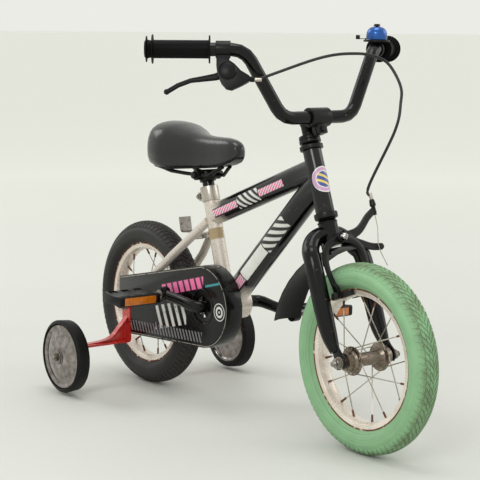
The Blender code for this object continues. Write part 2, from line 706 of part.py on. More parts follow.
def build_chain():
    """Rollers joined by inner and outer pairs of plates, in turn, as one closed skin."""
    pins = chain_pins()
    inner = ROLLER_HALF + PLATE_THICK
    levels = [-inner - PLATE_THICK, -inner, -ROLLER_HALF, ROLLER_HALF, inner, inner + PLATE_THICK]
    end, tall = 0.0033, LINK_HEIGHT / 2
    bm = bmesh.new()
    cache = {}

    def corner(link, station, level, top):
        key = (link % CHAIN_LINKS, station, level, top)
        if key not in cache:
            a, b = pins[key[0]], pins[(key[0] + 1) % CHAIN_LINKS]
            along = (b - a).normalized()
            reach = (b - a).length - end if station else end
            high = tall if top else -tall
            spot = a + along * reach - AXIS_Y.cross(along) * high + AXIS_Y * levels[level]
            cache[key] = bm.verts.new(spot)
        return cache[key]

    def ends(link):
        return (0, 1, 2, 3, 4, 5) if link % 2 else (0, 1, 4, 5)

    def plates(link):
        return ((1, 2), (3, 4)) if link % 2 else ((0, 1), (4, 5))

    def bare(link):
        return ((0, 1), (2, 3), (4, 5)) if link % 2 else ((1, 4),)

    for link in range(CHAIN_LINKS):
        before = link - 1 if link else CHAIN_LINKS - 1
        for top in (True, False):
            loop = [corner(before, 1, k, top) for k in ends(before)]
            bm.faces.new(loop + [corner(link, 0, k, top) for k in reversed(ends(link))])
        for k in (0, 5):
            bm.faces.new((corner(before, 1, k, True), corner(link, 0, k, True),
                          corner(link, 0, k, False), corner(before, 1, k, False)))
        for at, station in ((before, 1), (link, 0)):
            for a, b in bare(at):
                bm.faces.new((corner(at, station, a, True), corner(at, station, b, True),
                              corner(at, station, b, False), corner(at, station, a, False)))
        for a, b in plates(link):
            around = ((a, True), (b, True), (b, False), (a, False))
            for first, second in zip(around, around[1:] + around[:1]):
                bm.faces.new((corner(link, 0, *first), corner(link, 0, *second),
                              corner(link, 1, *second), corner(link, 1, *first)))
    node("chain", bm, "dark_steel", sharp=20)


def toothed(teeth, first):
    """A sprocket's outline, its teeth between the chain's rollers; first is one tooth's turn."""
    root = pitch_radius(teeth) - LINK_HEIGHT / 2 - 0.0009
    tip = pitch_radius(teeth) + 0.0034
    points = []
    for i in range(teeth):
        turn = first + i * 2 * pi / teeth
        for radius, half in ((root, -0.0022), (tip, 0), (root, 0.0022)):
            angle = turn + half / radius
            points.append((radius * cos(angle), radius * sin(angle)))
    return points


def build_crank(axis):
    """One forged bar: spindle, two bends and two arms that end in pedal eyes."""
    way = Vector((-cos(CRANK_ANGLE), 0, sin(CRANK_ANGLE)))
    shapes = []
    for side in (-1, 1):
        out = AXIS_Y * side
        arm = way * -side
        points = [BB, BB + out * 0.0705, BB + arm * (CRANK_LENGTH * 0.42) + out * 0.0720,
                  BB + arm * CRANK_LENGTH + out * PEDAL_EYE]
        path = filleted(points[:3], 0.0150, 2) + points[3:]
        sizes = []
        for point in path:
            t = min(1, max(0, ((point - BB).dot(arm) - 0.004) / 0.040))
            wide = SPINDLE_RADIUS + (0.0100 - SPINDLE_RADIUS) * t
            sizes.append((wide, SPINDLE_RADIUS + (0.0072 - SPINDLE_RADIUS) * t))
        shapes.append(sweep(path, sizes, arm.cross(out), 8))
        eye = BB + arm * CRANK_LENGTH
        low, high = PEDAL_EYE - 0.0070, PEDAL_EYE + 0.0070
        shapes.append(on_side(across_y([(0.0138, low), (0.0138, high)], eye, 12), side))
    collar = across_y([(0.0165, -0.0498), (0.0165, -RING_BACK - SEAT_GAP)], BB, 14)
    cuts = []
    for side in (-1, 1):
        eye = BB + way * (-side * CRANK_LENGTH)
        radius = bore_of(PEDAL_AXLE_RADIUS, SEAT_GAP, 10)
        cuts.append(on_side(across_y([(radius, 0.05), (radius, 0.11)], eye, 10), side))
    node("crank", fused(shapes + [collar], cuts), "gloss_black", axis)


def build_chainring(axis):
    """A stamped steel ring with five round windows, clamped against the crank's collar."""
    way, wrap, on_ring, on_run = chain_layout()
    first = way + wrap + (on_run - 0.5) * 2 * pi / RING_TEETH
    outline = toothed(RING_TEETH, first)
    centre = Vector((BB.x, 0, BB.z))
    ring = side_slab(outline, -CHAIN_LINE - COG_THICK / 2, -CHAIN_LINE + COG_THICK / 2, centre)
    bore = bore_of(SPINDLE_RADIUS, SEAT_GAP, 12)
    cuts = [across_y([(bore, -0.060), (bore, -0.030)], BB, 12)]
    for i in range(5):
        turn = 2 * pi * (i + 0.25) / 5
        spot = BB + Vector((0.0335 * cos(turn), 0, 0.0335 * sin(turn)))
        cuts.append(across_y([(0.0120, -0.060), (0.0120, -0.030)], spot, 8))
    node("chainring", fused([ring], cuts), "steel", axis)


def build_pedal(side, name, crank_axis, pedal_axis):
    """A block with a treaded grip face above and below, on its own threaded axle."""
    way = Vector((-cos(CRANK_ANGLE), 0, sin(CRANK_ANGLE))) * -side
    centre = BB + way * CRANK_LENGTH
    inner, outer = PEDAL_EYE - 0.0062, PEDAL_EYE + 0.0070 + SEAT_GAP
    near = PEDAL_Y - PEDAL_LENGTH / 2
    r = PEDAL_AXLE_RADIUS
    axle = [(r, inner), (r, outer), (0.0088, outer), (0.0088, outer + 0.0040), (0.0060, outer + 0.0048),
            (0.0045, near + PEDAL_LENGTH - 0.012)]
    node("pedal_axle_" + name, on_side(across_y(axle, centre, 10), side), "zinc", crank_axis)
    place = frame_at(centre, (cos(PEDAL_TILT), 0, sin(PEDAL_TILT)), (0, -1, 0))
    half, thick = PEDAL_WIDTH / 2, PEDAL_THICK / 2
    core = [(-half + 0.003, -thick), (-0.012, -thick + 0.002), (0.012, -thick + 0.002),
            (half - 0.003, -thick),
            (half, -thick + 0.003), (half, thick - 0.003), (half - 0.003, thick), (0.012, thick - 0.002),
            (-0.012, thick - 0.002), (-half + 0.003, thick), (-half, thick - 0.003), (-half, -thick + 0.003)]
    body = slab(core, -near - PEDAL_LENGTH, -near, place)
    cuts = []
    for i in range(3):
        y = near + 0.0160 + i * 0.0270
        for x in (-0.0205, 0.0205):
            for up in (-1, 1):
                spot = [(x - 0.0062, up * (thick + 0.002)), (x + 0.0062, up * (thick + 0.002)),
                        (x + 0.0062, up * (thick - 0.0022)), (x - 0.0062, up * (thick - 0.0022))]
                cuts.append(slab(spot, -y - 0.0080, -y + 0.0080, place))
    wide, narrow = bore_of(0.0060, RUN_GAP, 10), bore_of(0.0045, RUN_GAP, 10)
    bore = [(wide, near - 0.01), (wide, near + 0.0005), (narrow, near + PEDAL_LENGTH - 0.0115)]
    seat = [(half - 0.0022, -0.0072), (half + 0.01, -0.0072), (half + 0.01, 0.0072), (half - 0.0022, 0.0072)]
    mid = PEDAL_Y
    cuts.append(slab(seat, -mid - 0.0335, -mid + 0.0335, place))
    cuts.append(across_y(bore, centre, 10))
    shape = fused([body], joined(cuts))
    node("pedal_" + name, on_side(mesh_to_bmesh(shape), side), "black_plastic", pedal_axis)
    lens = [(half - 0.0019, -0.0069), (half + 0.0006, -0.0069), (half + 0.0012, 0), (half + 0.0006, 0.0069),
            (half - 0.0019, 0.0069)]
    shape = slab(lens, -mid - 0.0332, -mid + 0.0332, place)
    node("pedal_reflector_" + name, on_side(shape, side), "amber", pedal_axis)


def joined(shapes):
    """Shapes that lie clear of each other, as one cutter; the last two stay by themselves."""
    many = bmesh.new()
    for bm in shapes[:-2]:
        bmesh.ops.recalc_face_normals(bm, faces=bm.faces)
        mesh = mesh_from(bm)
        many.from_mesh(mesh)
        bpy.data.meshes.remove(mesh)
    return [many] + shapes[-2:]


def build_rear_sprocket(axis):
    """The cog on the hub's driver."""
    way, wrap, on_ring, on_run = chain_layout()
    first = way - wrap + (2 * on_run + on_ring - 0.5) * 2 * pi / COG_TEETH
    low, high = -CHAIN_LINE - COG_THICK / 2, -CHAIN_LINE + COG_THICK / 2
    cog = side_slab(toothed(COG_TEETH, first), low, high, REAR_HUB)
    driver = across_y([(0.0150, -0.0466), (0.0150, -0.0400), (0.0185, -0.0395), (0.0185, -0.0346)],
                      REAR_HUB, 12)
    radius = bore_of(REAR_AXLE_RADIUS, RUN_GAP, 10)
    bore = across_y([(radius, -0.06), (radius, -0.02)], REAR_HUB, 10)
    node("rear_sprocket", fused([cog, driver], [bore]), "dark_steel", axis)


# Wheels
def build_wheel(name, hub_at, axis, flange_radius, barrel_radius, ends, bore, turn):
    """Tyre, rim and a hub whose spokes run to nipples under the rim."""
    half = TYRE_WIDTH / 2
    seat = RIM_RADIUS
    side = [(seat - 0.0087, 0.0060), (seat + 0.0008, 0.0135), (seat + 0.0180, half),
            (TYRE_RADIUS - 0.0090, half - 0.0042), (TYRE_RADIUS, 0.0070)]
    profile = [(r, -y) for r, y in side] + [(r, y) for r, y in reversed(side)]
    node(name + "_tyre", across_y(profile, hub_at, WHEEL_SIDES, True), "tyre_" + name, axis, sharp=50)
    wall = RIM_WIDTH / 2
    inner = seat - RIM_DEPTH
    side = [(inner, 0.0075), (inner + 0.0030, wall - 0.0008), (seat + 0.0004, wall),
            (seat - 0.0090, wall - 0.0030)]
    profile = [(r, -y) for r, y in reversed(side)] + side
    node(name + "_rim", across_y(profile, hub_at, WHEEL_SIDES, True), "rim_steel", axis, sharp=30)
    fl = FLANGE_HALF_GAP
    low, high = ends
    b = barrel_radius
    shell = [(0.0145, low), (flange_radius, -fl - 0.0010), (flange_radius, -fl + 0.0010), (b, -fl + 0.0060),
             (b, fl - 0.0060), (flange_radius, fl - 0.0010), (flange_radius, fl + 0.0010), (0.0145, high)]
    hub = across_y([(bore, low)] + shell + [(bore, high)], hub_at, 10, True)
    groups = [bmesh.new(), bmesh.new()]
    for i in range(SPOKES):
        face = 1 if i % 2 else -1
        lead = 1 if (i // 2) % 2 else -1
        nip = turn + i * 2 * pi / SPOKES
        root = nip + lead * radians(58)
        start = hub_at + Vector((cos(root), 0, sin(root))) * (flange_radius - 0.0035)
        start = start + AXIS_Y * (face * fl + lead * 0.0016)
        side_turn = nip % (2 * pi / WHEEL_SIDES) - pi / WHEEL_SIDES
        tip = inner * cos(pi / WHEEL_SIDES) / cos(side_turn) - SEAT_GAP - 0.0002
        stop = hub_at + Vector((cos(nip), 0, sin(nip))) * tip + AXIS_Y * (face * 0.0020)
        way = stop - start
        span = way.length
        profile = [(SPOKE_RADIUS, 0), (SPOKE_RADIUS, span)]
        mesh = mesh_from(turned(profile, frame_at(start, AXIS_Y, way), 3))
        groups[lead > 0].from_mesh(mesh)
        bpy.data.meshes.remove(mesh)
    node(name + "_hub", fused([hub] + groups), "hub_chrome", axis)


def build_training_side(side, name, axis):
    """Bracket, axle, wheel and disc of one training wheel."""
    inner = REAR_HALF_GAP + DROPOUT_THICK + SEAT_GAP
    hub_z = TRAINING_RADIUS + TRAINING_LIFT
    tab = TRAINING_Y - TRAINING_WIDTH / 2 - 0.0090
    x = REAR_X + 0.001
    shelf = hub_z + 0.0128
    route = [Vector((x, inner, AXLE_Z + 0.0180)), Vector((x, inner, shelf)),
             Vector((x, tab - 0.0040, shelf))]
    plate = sweep(filleted(route, 0.0060, 3), (BRACKET_HALF, BRACKET_THICK), Vector((1, 0, 0)),
                  section=[(-1, -1), (1, -1), (1, 0), (-1, 0)])
    low = hub_z - 0.0125
    upright = frame_at((x, 0, 0), AXIS_Y, (1, 0, 0))
    end_top = shelf + BRACKET_THICK
    end = slab([(tab - BRACKET_THICK, low), (tab, low), (tab, end_top), (tab - BRACKET_THICK, end_top)],
               -BRACKET_HALF, BRACKET_HALF, upright)
    web_low = (tab - 0.0300, shelf + 0.0020)
    web_high = (inner + 0.0020, AXLE_Z - 0.0185)
    web = slab([web_high, (web_high[0], web_low[1]), web_low], -0.0016, 0.0016, upright)
    lip_path = [Vector((x, *web_low)), Vector((x, *web_high))]
    lip = sweep(lip_path, (0.0060, 0.0024), Vector((1, 0, 0)), section=[(-1, 0), (1, 0), (1, 1), (-1, 1)])
    radius = bore_of(REAR_AXLE_RADIUS, SEAT_GAP, 10)
    hole = across_y([(radius, 0.03), (radius, 0.08)], REAR_HUB, 10)
    hub_at = Vector((x, 0, hub_z))
    small = bore_of(TRAINING_AXLE_RADIUS, SEAT_GAP, 10)
    hole_low = across_y([(small, tab - 0.02), (small, tab + 0.02)], hub_at, 10)
    shape = fused([plate, end, web, lip], [hole, hole_low])
    node("training_bracket_" + name, on_side(mesh_to_bmesh(shape), side), "red_paint", sharp=40)
    r = TRAINING_AXLE_RADIUS
    face = TRAINING_Y + TRAINING_WIDTH / 2
    axle = [(0.0070, tab - 0.0112), (0.0075, tab - 0.0048), (r, tab - 0.0048), (r, tab + SEAT_GAP),
            (0.0065, tab + SEAT_GAP), (0.0065, tab + 0.0088), (r, tab + 0.0088), (r, face + 0.0044),
            (0.0135, face + 0.0044), (0.0080, face + 0.0060), (0.0035, face + 0.0145)]
    node("training_axle_" + name, on_side(across_y(axle, hub_at, 8), side), "zinc")
    low, high = TRAINING_Y - TRAINING_WIDTH / 2, face
    rr = TRAINING_RADIUS
    bore = bore_of(r, RUN_GAP, 16)
    seat = high - 0.0060
    tyre = [(bore, low + 0.0002), (0.0145, low + 0.0002), (rr - 0.0180, low + 0.0060), (rr - 0.0130, low),
            (rr - 0.0020, low + 0.0016), (rr, high - 0.0050), (rr - 0.0065, high - 0.0006),
            (rr - 0.0082, seat),
            (bore, seat)]
    node("training_tyre_" + name, on_side(across_y(tyre, hub_at, 16, True), side), "training_rubber", axis)
    disc = [(bore, seat + SEAT_GAP), (rr - 0.0086, seat + SEAT_GAP), (rr - 0.0086, seat + 0.0024),
            (0.0480, seat + 0.0064), (0.0160, seat + 0.0098), (bore, seat + 0.0098)]
    node("training_disc_" + name, on_side(across_y(disc, hub_at, 16, True), side), "chrome", axis)


# Steering unit
def head_place(along, fore=0.0):
    """A frame whose X runs left, Y up the head axis and Z forward."""
    return frame_at(steer(along, fore), AXIS_Y, HEAD_FORE)


def build_fork(axis):
    """Crown lug with steerer, two bent legs and their dropouts."""
    lug = frame_at(steer(0), AXIS_Y, HEAD_WAY)
    stem = [(0.0162, 0.1950), (0.0162, CROWN_SEAT - 0.0015), (0.0175, CROWN_SEAT),
            (0.0150, CROWN_SEAT + 0.0026),
            (STEERER_RADIUS, CROWN_SEAT + 0.0026), (STEERER_RADIUS, HEAD_HIGH + 0.0230)]
    parts = [turned(stem, lug, 16)]
    route = [(0.2170, -0.0020, 0.0060), (0.2155, -0.0045, 0.0200), (0.2070, -0.0055, 0.0350),
             (0.1915, -0.0010, 0.0475), (0.1680, 0.0075, LEG_Y), (0.0850, 0.0077, LEG_Y),
             (0.0480, 0.0097, LEG_Y),
             (0.0190, 0.0152, LEG_Y)]
    sizes = [0.0125, 0.0137, 0.0142, 0.0146, LEG_RADIUS, LEG_RADIUS, 0.0132, 0.0085]
    plate = [(-0.0110, -0.0100), (0.0030, -0.0125), (0.0120, -0.0060), (0.0125, 0.0060), (0.0060, 0.0160),
             (-0.0010, 0.0330), (-0.0110, 0.0340), (-0.0120, 0.0150)]
    cuts = [turned([(0.0108, HEAD_HIGH - 0.065), (0.0110, HEAD_HIGH + 0.05)], lug, 12)]
    cuts.append(rod(steer(PIVOT_AT, -0.03), steer(PIVOT_AT, 0.03), bore_of(0.0030, SEAT_GAP, 8), 8))
    radius = FRONT_AXLE_RADIUS + SEAT_GAP
    slot = [(-radius, -0.03), (radius, -0.03)] + arc((0, 0), radius, 0, 180, 5)
    place = frame_at((FRONT_X, 0, AXLE_Z), HEAD_FORE, (0, -1, 0))
    for side in (1, -1):
        path = [steer(s, f, y) for s, f, y in route]
        parts.append(on_side(sweep(path, [(r, r) for r in sizes], HEAD_FORE, 8), side))
        low, high = -FORK_HALF_GAP - 0.0045, -FORK_HALF_GAP
        parts.append(on_side(slab(plate, low, high, place), side))
        cuts.append(on_side(slab(slot, -0.08, -0.03, place), side))
    node("fork", fused(parts, cuts), "gloss_black", axis, sharp=40)


def build_headset_nut(axis):
    bore = bore_of(STEERER_RADIUS, SEAT_GAP, 12)
    base = HEAD_HIGH + SEAT_GAP + CUP_HEIGHT - 0.002 + RUN_GAP
    profile = [(bore, 0), (0.0185, 0), (0.0185, 0.0056), (0.0168, 0.0064), (0.0182, 0.0072),
               (0.0175, 0.0132),
               (bore, 0.0132)]
    node("headset_nut", turned(profile, frame_at(steer(base), AXIS_Y, HEAD_WAY), 12, True), "black_steel",
         axis)


def build_stem(axis):
    """Quill and forward barrel with a split clamp; its two bolts are part of it."""
    quill = frame_at(steer(0), AXIS_Y, HEAD_WAY)
    foot = HEAD_HIGH - 0.060
    parts = [turned([(QUILL_RADIUS, foot), (QUILL_RADIUS, STEM_HEIGHT - 0.006),
                     (0.0118, STEM_HEIGHT - 0.002),
                     (0.0118, STEM_HEIGHT + 0.0055), (0.0050, STEM_HEIGHT + 0.0078),
                     (0.0050, STEM_HEIGHT + 0.0120)],
                    quill, 12)]
    outer = BAR_RADIUS + 0.0052
    centre = frame_at(steer(STEM_HEIGHT, STEM_REACH), HEAD_FORE, AXIS_Y)
    parts.append(turned([(outer, -0.0200), (outer, 0.0200)], centre, 14))
    web = [steer(STEM_HEIGHT - 0.002, 0), steer(STEM_HEIGHT - 0.001, STEM_REACH * 0.55),
           steer(STEM_HEIGHT, STEM_REACH)]
    parts.append(sweep(web, [(0.0112, 0.0100), (0.0128, 0.0112), (0.0150, 0.0130)], AXIS_Y, 10))
    ears = [(-0.0085, -0.0295), (0.0085, -0.0295), (0.0095, -0.0100), (-0.0095, -0.0100)]
    ear_place = frame_at(steer(STEM_HEIGHT, STEM_REACH), AXIS_Y, HEAD_FORE)
    parts.append(slab(ears, -0.0085, 0.0085, ear_place))
    bore = bore_of(BAR_RADIUS, SEAT_GAP, 14)
    cuts = [turned([(bore, -0.03), (bore, 0.03)], centre, 14)]
    cuts.append(slab([(-0.03, -0.04), (0.03, -0.04), (0.03, -0.005), (-0.03, -0.005)], -0.0011, 0.0011,
                     ear_place))
    body = mesh_to_bmesh(fused(parts, cuts))
    bolt = turned([(0.0052, -0.0128), (0.0052, -0.0080), (0.0028, -0.0080), (0.0028, 0.0080),
                   (0.0055, 0.0080),
                   (0.0055, 0.0118)], frame_at(steer(STEM_HEIGHT - 0.0225, STEM_REACH), AXIS_Y, HEAD_FORE),
                   8)
    node("stem", fused([body, bolt]), "black_steel", axis, sharp=40)


def bar_points():
    """The bar's corners on the left: middle of the clamp, lower corner, upper corner and end."""
    middle = steer(STEM_HEIGHT, STEM_REACH)
    lower = middle + AXIS_Y * BAR_FLAT_HALF
    upper = middle + AXIS_Y * BAR_SHOULDER_HALF + BAR_UP * BAR_RISE
    end = middle + AXIS_Y * BAR_END_HALF + BAR_UP * (BAR_RISE + BAR_END_RISE) - BAR_FORE * BAR_SWEEP
    return lower, upper, end


def other_side(point):
    return Vector((point.x, -point.y, point.z))


def build_handlebar(axis):
    lower, upper, end = bar_points()
    path = filleted([end, upper, lower, other_side(lower), other_side(upper), other_side(end)], 0.036, 3)
    node("handlebar", sweep(path, (BAR_RADIUS, BAR_RADIUS), BAR_FORE, 10), "gloss_black", axis)


def build_grips(axis):
    """Rubber sleeves with a flange inside and two thin discs outside, closed over the bar's ends."""
    lower, upper, end = bar_points()
    way = (end - upper).normalized()
    bore = bore_of(BAR_RADIUS, SEAT_GAP, 10)
    top = (end - upper).length + SEAT_GAP
    first = top - GRIP_LENGTH
    r = GRIP_RADIUS
    out = top - 0.0105
    profile = [(bore, top), (bore, first), (0.0230, first), (0.0225, first + 0.0022), (r, first + 0.0028),
               (r, out),
               (0.0240, out + 0.0008), (0.0235, out + 0.0028), (r - 0.0010, out + 0.0036), (r, out + 0.0080),
               (r + 0.0006, top + 0.0010), (r - 0.0015, top + 0.0040)]
    for side, name in ((1, "left"), (-1, "right")):
        place = frame_at(upper, BAR_UP, way)
        shape = turned([(0, top)] + profile, place, 10)
        node("grip_" + name, on_side(shape, side), "grip_rubber", axis)


def control_place():
    """On the right of the bar: X outward along it, Y down to the lever, Z forward."""
    lower, upper, end = (other_side(point) for point in bar_points())
    way = (end - upper).normalized()
    ahead = AXIS_Z.cross(way).normalized()
    down = ahead * cos(LEVER_DROP) - AXIS_Z * sin(LEVER_DROP)
    return frame_at(end - way * CONTROL_FROM_END, way, way.cross(down))


LEVER_PIVOT = (-0.0080, 0.0390)
CABLE_STOP = (-0.0510, 0.0520)


def build_lever(fixed, axis):
    """A clamp with a flat housing in front, and the lever blade behind it on a pin."""
    place = control_place()
    px, py = LEVER_PIVOT
    ring = turned(sleeve(0.0142, bore_of(BAR_RADIUS, SEAT_GAP, 12), -0.0120, 0.0120),
                  frame_at(place.translation, place.col[1].to_3d(), place.col[0].to_3d()), 12, True)
    outline = [(-0.0105, 0.0126), (0.0105, 0.0126), (0.0105, 0.0300), (0.0085, 0.0450), (0.0020, 0.0590),
               (-0.0060, 0.0680), (-0.0150, 0.0700), (-0.0300, 0.0630), (-0.0420, 0.0560), (-0.0455, 0.0505),
               (-0.0420, 0.0460), (-0.0290, 0.0380), (-0.0190, 0.0270), (-0.0105, 0.0210)]
    body = slab(outline, 0.0000, 0.0100, place)
    dome = turned([(0.0150, 0.0050), (0.0150, 0.0112), (0.0120, 0.0142), (0.0050, 0.0160)],
                  place @ Matrix.Translation((px, py, 0)) @ Matrix.Rotation(0.11, 4, "Z"), 10)
    start = place @ Vector((-0.0340, 0.0509, 0.0050))
    stop = place @ Vector((CABLE_STOP[0], CABLE_STOP[1], 0.0050))
    long = (stop - start).length
    barrel = turned([(0.0042, 0), (0.0034, long * 0.58), (0.0047, long * 0.62), (0.0042, long)],
                    frame_at(start, place.col[1].to_3d(), stop - start), 8)
    pin = turned([(0.0026, 0.0040), (0.0026, -0.0068), (0.0045, -0.0068), (0.0045, -0.0086)],
                 place @ Matrix.Translation((px, py, 0)), 10)
    node("brake_lever_bracket", fused([ring, body, dome, barrel, pin]), "black_plastic", fixed, sharp=40)
    route = [(px + 0.0050, py + 0.0012), (0.0120, 0.0455), (0.0300, 0.0485), (0.0520, 0.0520),
             (0.0720, 0.0600),
             (0.0885, 0.0706)]
    path = [place @ Vector((x, y, -0.0035)) for x, y in route]
    sizes = [(0.0072 - 0.0032 * min(1, i / 3), 0.0027) for i in range(len(path))]
    blade = sweep(path, sizes, place.col[1].to_3d(), 8)
    ball_at = place @ Vector((0.0900, 0.0710, -0.0035))
    ball = turned([(0, -0.0050), (0.0037, -0.0034), (0.0050, 0), (0.0037, 0.0034), (0, 0.0050)],
                  frame_at(ball_at, (1, 0, 0), AXIS_Z), 8)
    heel = slab(link_outline((px, py), 0.0090, (px - 0.0190, py + 0.0110), 0.0045, 5), -0.0062, -0.0006,
                place)
    bore = bore_of(0.0026, RUN_GAP, 10)
    hole = turned([(bore, -0.02), (bore, 0.02)], place @ Matrix.Translation((px, py, 0)), 10)
    node("brake_lever", fused([blade, ball, heel], [hole]), "black_plastic", axis, sharp=40)


ADJUSTER = (0.2468, 0.0826)
PINCH = (0.1827, 0.0837)
# Share of the way from the adjuster up to the stem, then ahead of the head axis and to the left
HOUSING_ROUTE = [(1.4667, 0.0665, -0.0850), (1.5320, 0.0838, -0.0100), (1.5488, 0.0952, 0.0600),
                 (1.4899, 0.1012, 0.1000), (1.3809, 0.1085, 0.1150), (1.1531, 0.1166, 0.1200),
                 (0.9806, 0.1161, 0.1130), (0.7065, 0.1013, 0.1000), (0.3695, 0.0622, 0.0900)]


def build_cable(axis):
    """The brake's outer casing, from the lever's stop to the caliper's adjuster."""
    place = control_place()
    stop = place @ Vector((CABLE_STOP[0] - SEAT_GAP, CABLE_STOP[1], 0.0050))
    lead = place @ Vector((CABLE_STOP[0] - 0.0240, CABLE_STOP[1] + 0.0016, 0.0050))
    fore = CALIPER_FORE + CALIPER_THICK * 1.5 + 0.0006
    foot = steer(ADJUSTER[0] + 0.0160 + SEAT_GAP, fore, ADJUSTER[1])
    rise = steer(ADJUSTER[0] + 0.0400, fore + 0.0003, ADJUSTER[1] + 0.0003)
    climb = STEM_HEIGHT - ADJUSTER[0]
    route = [steer(ADJUSTER[0] + climb * share, ahead, left) for share, ahead, left in HOUSING_ROUTE]
    first = stop + (lead - stop).normalized() * 0.0040
    last = foot + HEAD_WAY * 0.0040
    path = [stop] + smooth([first, lead] + route + [rise, last], 2) + [foot]
    curve = bpy.data.curves.new("brake_cable", "CURVE")
    curve.dimensions = "3D"
    curve.bevel_depth = 0.0025
    curve.bevel_resolution = 2
    curve.use_fill_caps = True
    spline = curve.splines.new("POLY")
    spline.points.add(len(path) - 1)
    for spot, point in zip(spline.points, path):
        spot.co = (*point, 1)
    drawn = bpy.data.objects.new("casing", curve)
    bpy.context.scene.collection.objects.link(drawn)
    bpy.context.view_layer.update()
    mesh = bpy.data.meshes.new_from_object(drawn.evaluated_get(bpy.context.evaluated_depsgraph_get()))
    bpy.data.objects.remove(drawn)
    bm = mesh_to_bmesh(mesh)
    bmesh.ops.remove_doubles(bm, verts=bm.verts, dist=0.00001)
    node("brake_cable", bm, "casing_black", axis)


def build_bell(fixed, axis_maker):
    """A dome on a post above a round base, with a thumb striker on the rider's side."""
    lower, upper, end = bar_points()
    way = (end - upper).normalized()
    up = (AXIS_Z - way * AXIS_Z.dot(way)).normalized()
    place = frame_at(end - way * BELL_FROM_END, way, up)
    seat = BAR_RADIUS + 0.0018
    base = turned([(0.0230, seat), (0.0230, seat + 0.0032), (0.0060, seat + 0.0042), (0.0045, seat + 0.0250),
                   (0.0028, seat + 0.0250), (0.0028, seat + 0.0275), (0.0062, seat + 0.0272),
                   (0.0045, seat + 0.0310)],
                  place, 10)
    pivot = Vector((0, 0.0195, 0))
    pin = turned([(0.0013, seat + 0.002), (0.0013, seat + 0.0062)], place @ Matrix.Translation(pivot), 6)
    ring_place = frame_at(place.translation, up, way)
    bore = bore_of(BAR_RADIUS, SEAT_GAP, 10)
    ring = turned(sleeve(bore + 0.0022, bore, -0.0060, 0.0060), ring_place, 10, True)
    shape = fused([base, pin, ring])
    node("bell_base", shape, "black_plastic", fixed)
    low = seat + 0.0066
    dome = [(0.0180, low), (0.0180, low + 0.0060), (0.0150, low + 0.0145), (0.0090, low + 0.0193),
            (0.0034, low + 0.0203), (0.0034, low + 0.0190), (0.0080, low + 0.0178), (0.0138, low + 0.0130),
            (0.0166, low)]
    node("bell_dome", turned(dome, place, 10, True), "bell_blue", fixed)
    axis = axis_maker("bell_striker_axis", place @ (pivot + Vector((0, 0, seat))), way, up, fixed)
    arm = slab(link_outline((0, 0.0195), 0.0034, (0.0060, 0.0335), 0.0026, 4), seat + 0.0046,
               seat + 0.0058, place)
    thumb = slab([(0.0030, 0.0310), (0.0095, 0.0310), (0.0095, 0.0375), (0.0030, 0.0375)], seat + 0.0042,
                 seat + 0.0115, place)
    hole = turned([(0.0018, seat), (0.0018, seat + 0.02)], place @ Matrix.Translation(pivot), 8)
    node("bell_striker", fused([arm, thumb], [hole]), "steel", axis)
    return place


def build_front_mudguard(axis):
    """An arched blade behind the crown, hung from the caliper bolt by a flat tab."""
    rings = []
    for i in range(9):
        t = i / 8
        turn = radians(108 + 63 * t)
        reach, half = 0.188 + 0.026 * t, 0.0245 + 0.0060 * t
        half = half if i < 8 else half * 0.9
        spoke = Vector((cos(turn), 0, sin(turn)))
        section = [(y, -0.0060 * (y * y)) for y in (-1, -0.5, 0.5, 1)]
        over = [FRONT_HUB + spoke * (reach + 0.0020 + h) + AXIS_Y * y * half for y, h in section]
        under = [FRONT_HUB + spoke * (reach + h) + AXIS_Y * y * half for y, h in reversed(section)]
        rings.append(over + under)
    blade = skin(rings)
    back = -0.0162 - SEAT_GAP
    tab = slab([(-0.0090, 0.1835), (0.0090, 0.1835), (0.0090, 0.2060), (0.0050, 0.2110), (-0.0050, 0.2110),
                (-0.0090, 0.2060)], back - 0.0018, back, head_place(0))
    hole = rod(steer(PIVOT_AT, -0.03), steer(PIVOT_AT, -0.01), bore_of(0.0030, SEAT_GAP, 8), 8)
    node("front_mudguard", fused([blade, tab], [hole]), "black_plastic", axis, sharp=40)


def build_caliper_bolt(axis):
    back = -0.0162 - SEAT_GAP - 0.0018 - SEAT_GAP
    front = CALIPER_FORE + 2 * CALIPER_THICK + 0.0006 + 2 * RUN_GAP
    profile = [(0.0052, back - 0.0055), (0.0055, back), (0.0030, back), (0.0030, 0.0166), (0.0080, 0.0166),
               (0.0080, CALIPER_FORE - RUN_GAP),
               (0.0030, CALIPER_FORE - RUN_GAP), (0.0030, front), (0.0066, front), (0.0060, front + 0.0070),
               (0.0030, front + 0.0100)]
    place = frame_at(steer(PIVOT_AT), AXIS_Y, HEAD_FORE)
    node("caliper_bolt", turned(profile, place, 8), "chrome", axis)


def arm_lower(side, fore):
    """The part of a caliper arm that goes round the tyre to the shoe, on the left or the right."""
    route = [(PIVOT_AT, 0.000, fore), (0.1960, 0.0230, fore), (0.1840, 0.0355, fore), (0.1680, 0.0400, fore),
             (0.1500, 0.0392, fore), (0.1300, 0.0345, fore), (0.1190, 0.0325, 0.0250),
             (0.1030, 0.0325, 0.0250)]
    thick = CALIPER_THICK / 2
    sizes = [(thick, 0.0080), (thick, 0.0068), (thick, 0.0062), (thick, 0.0058), (thick, 0.0052),
             (0.0032, 0.0046), (0.0062, 0.0036), (0.0062, 0.0036)]
    path = [steer(s, f, y * side) for s, y, f in route]
    corners = [(-1, -0.7), (0, -1), (1, -0.7), (1, 0.7), (0, 1), (-1, 0.7)]
    return sweep(path, sizes, HEAD_FORE, section=corners)


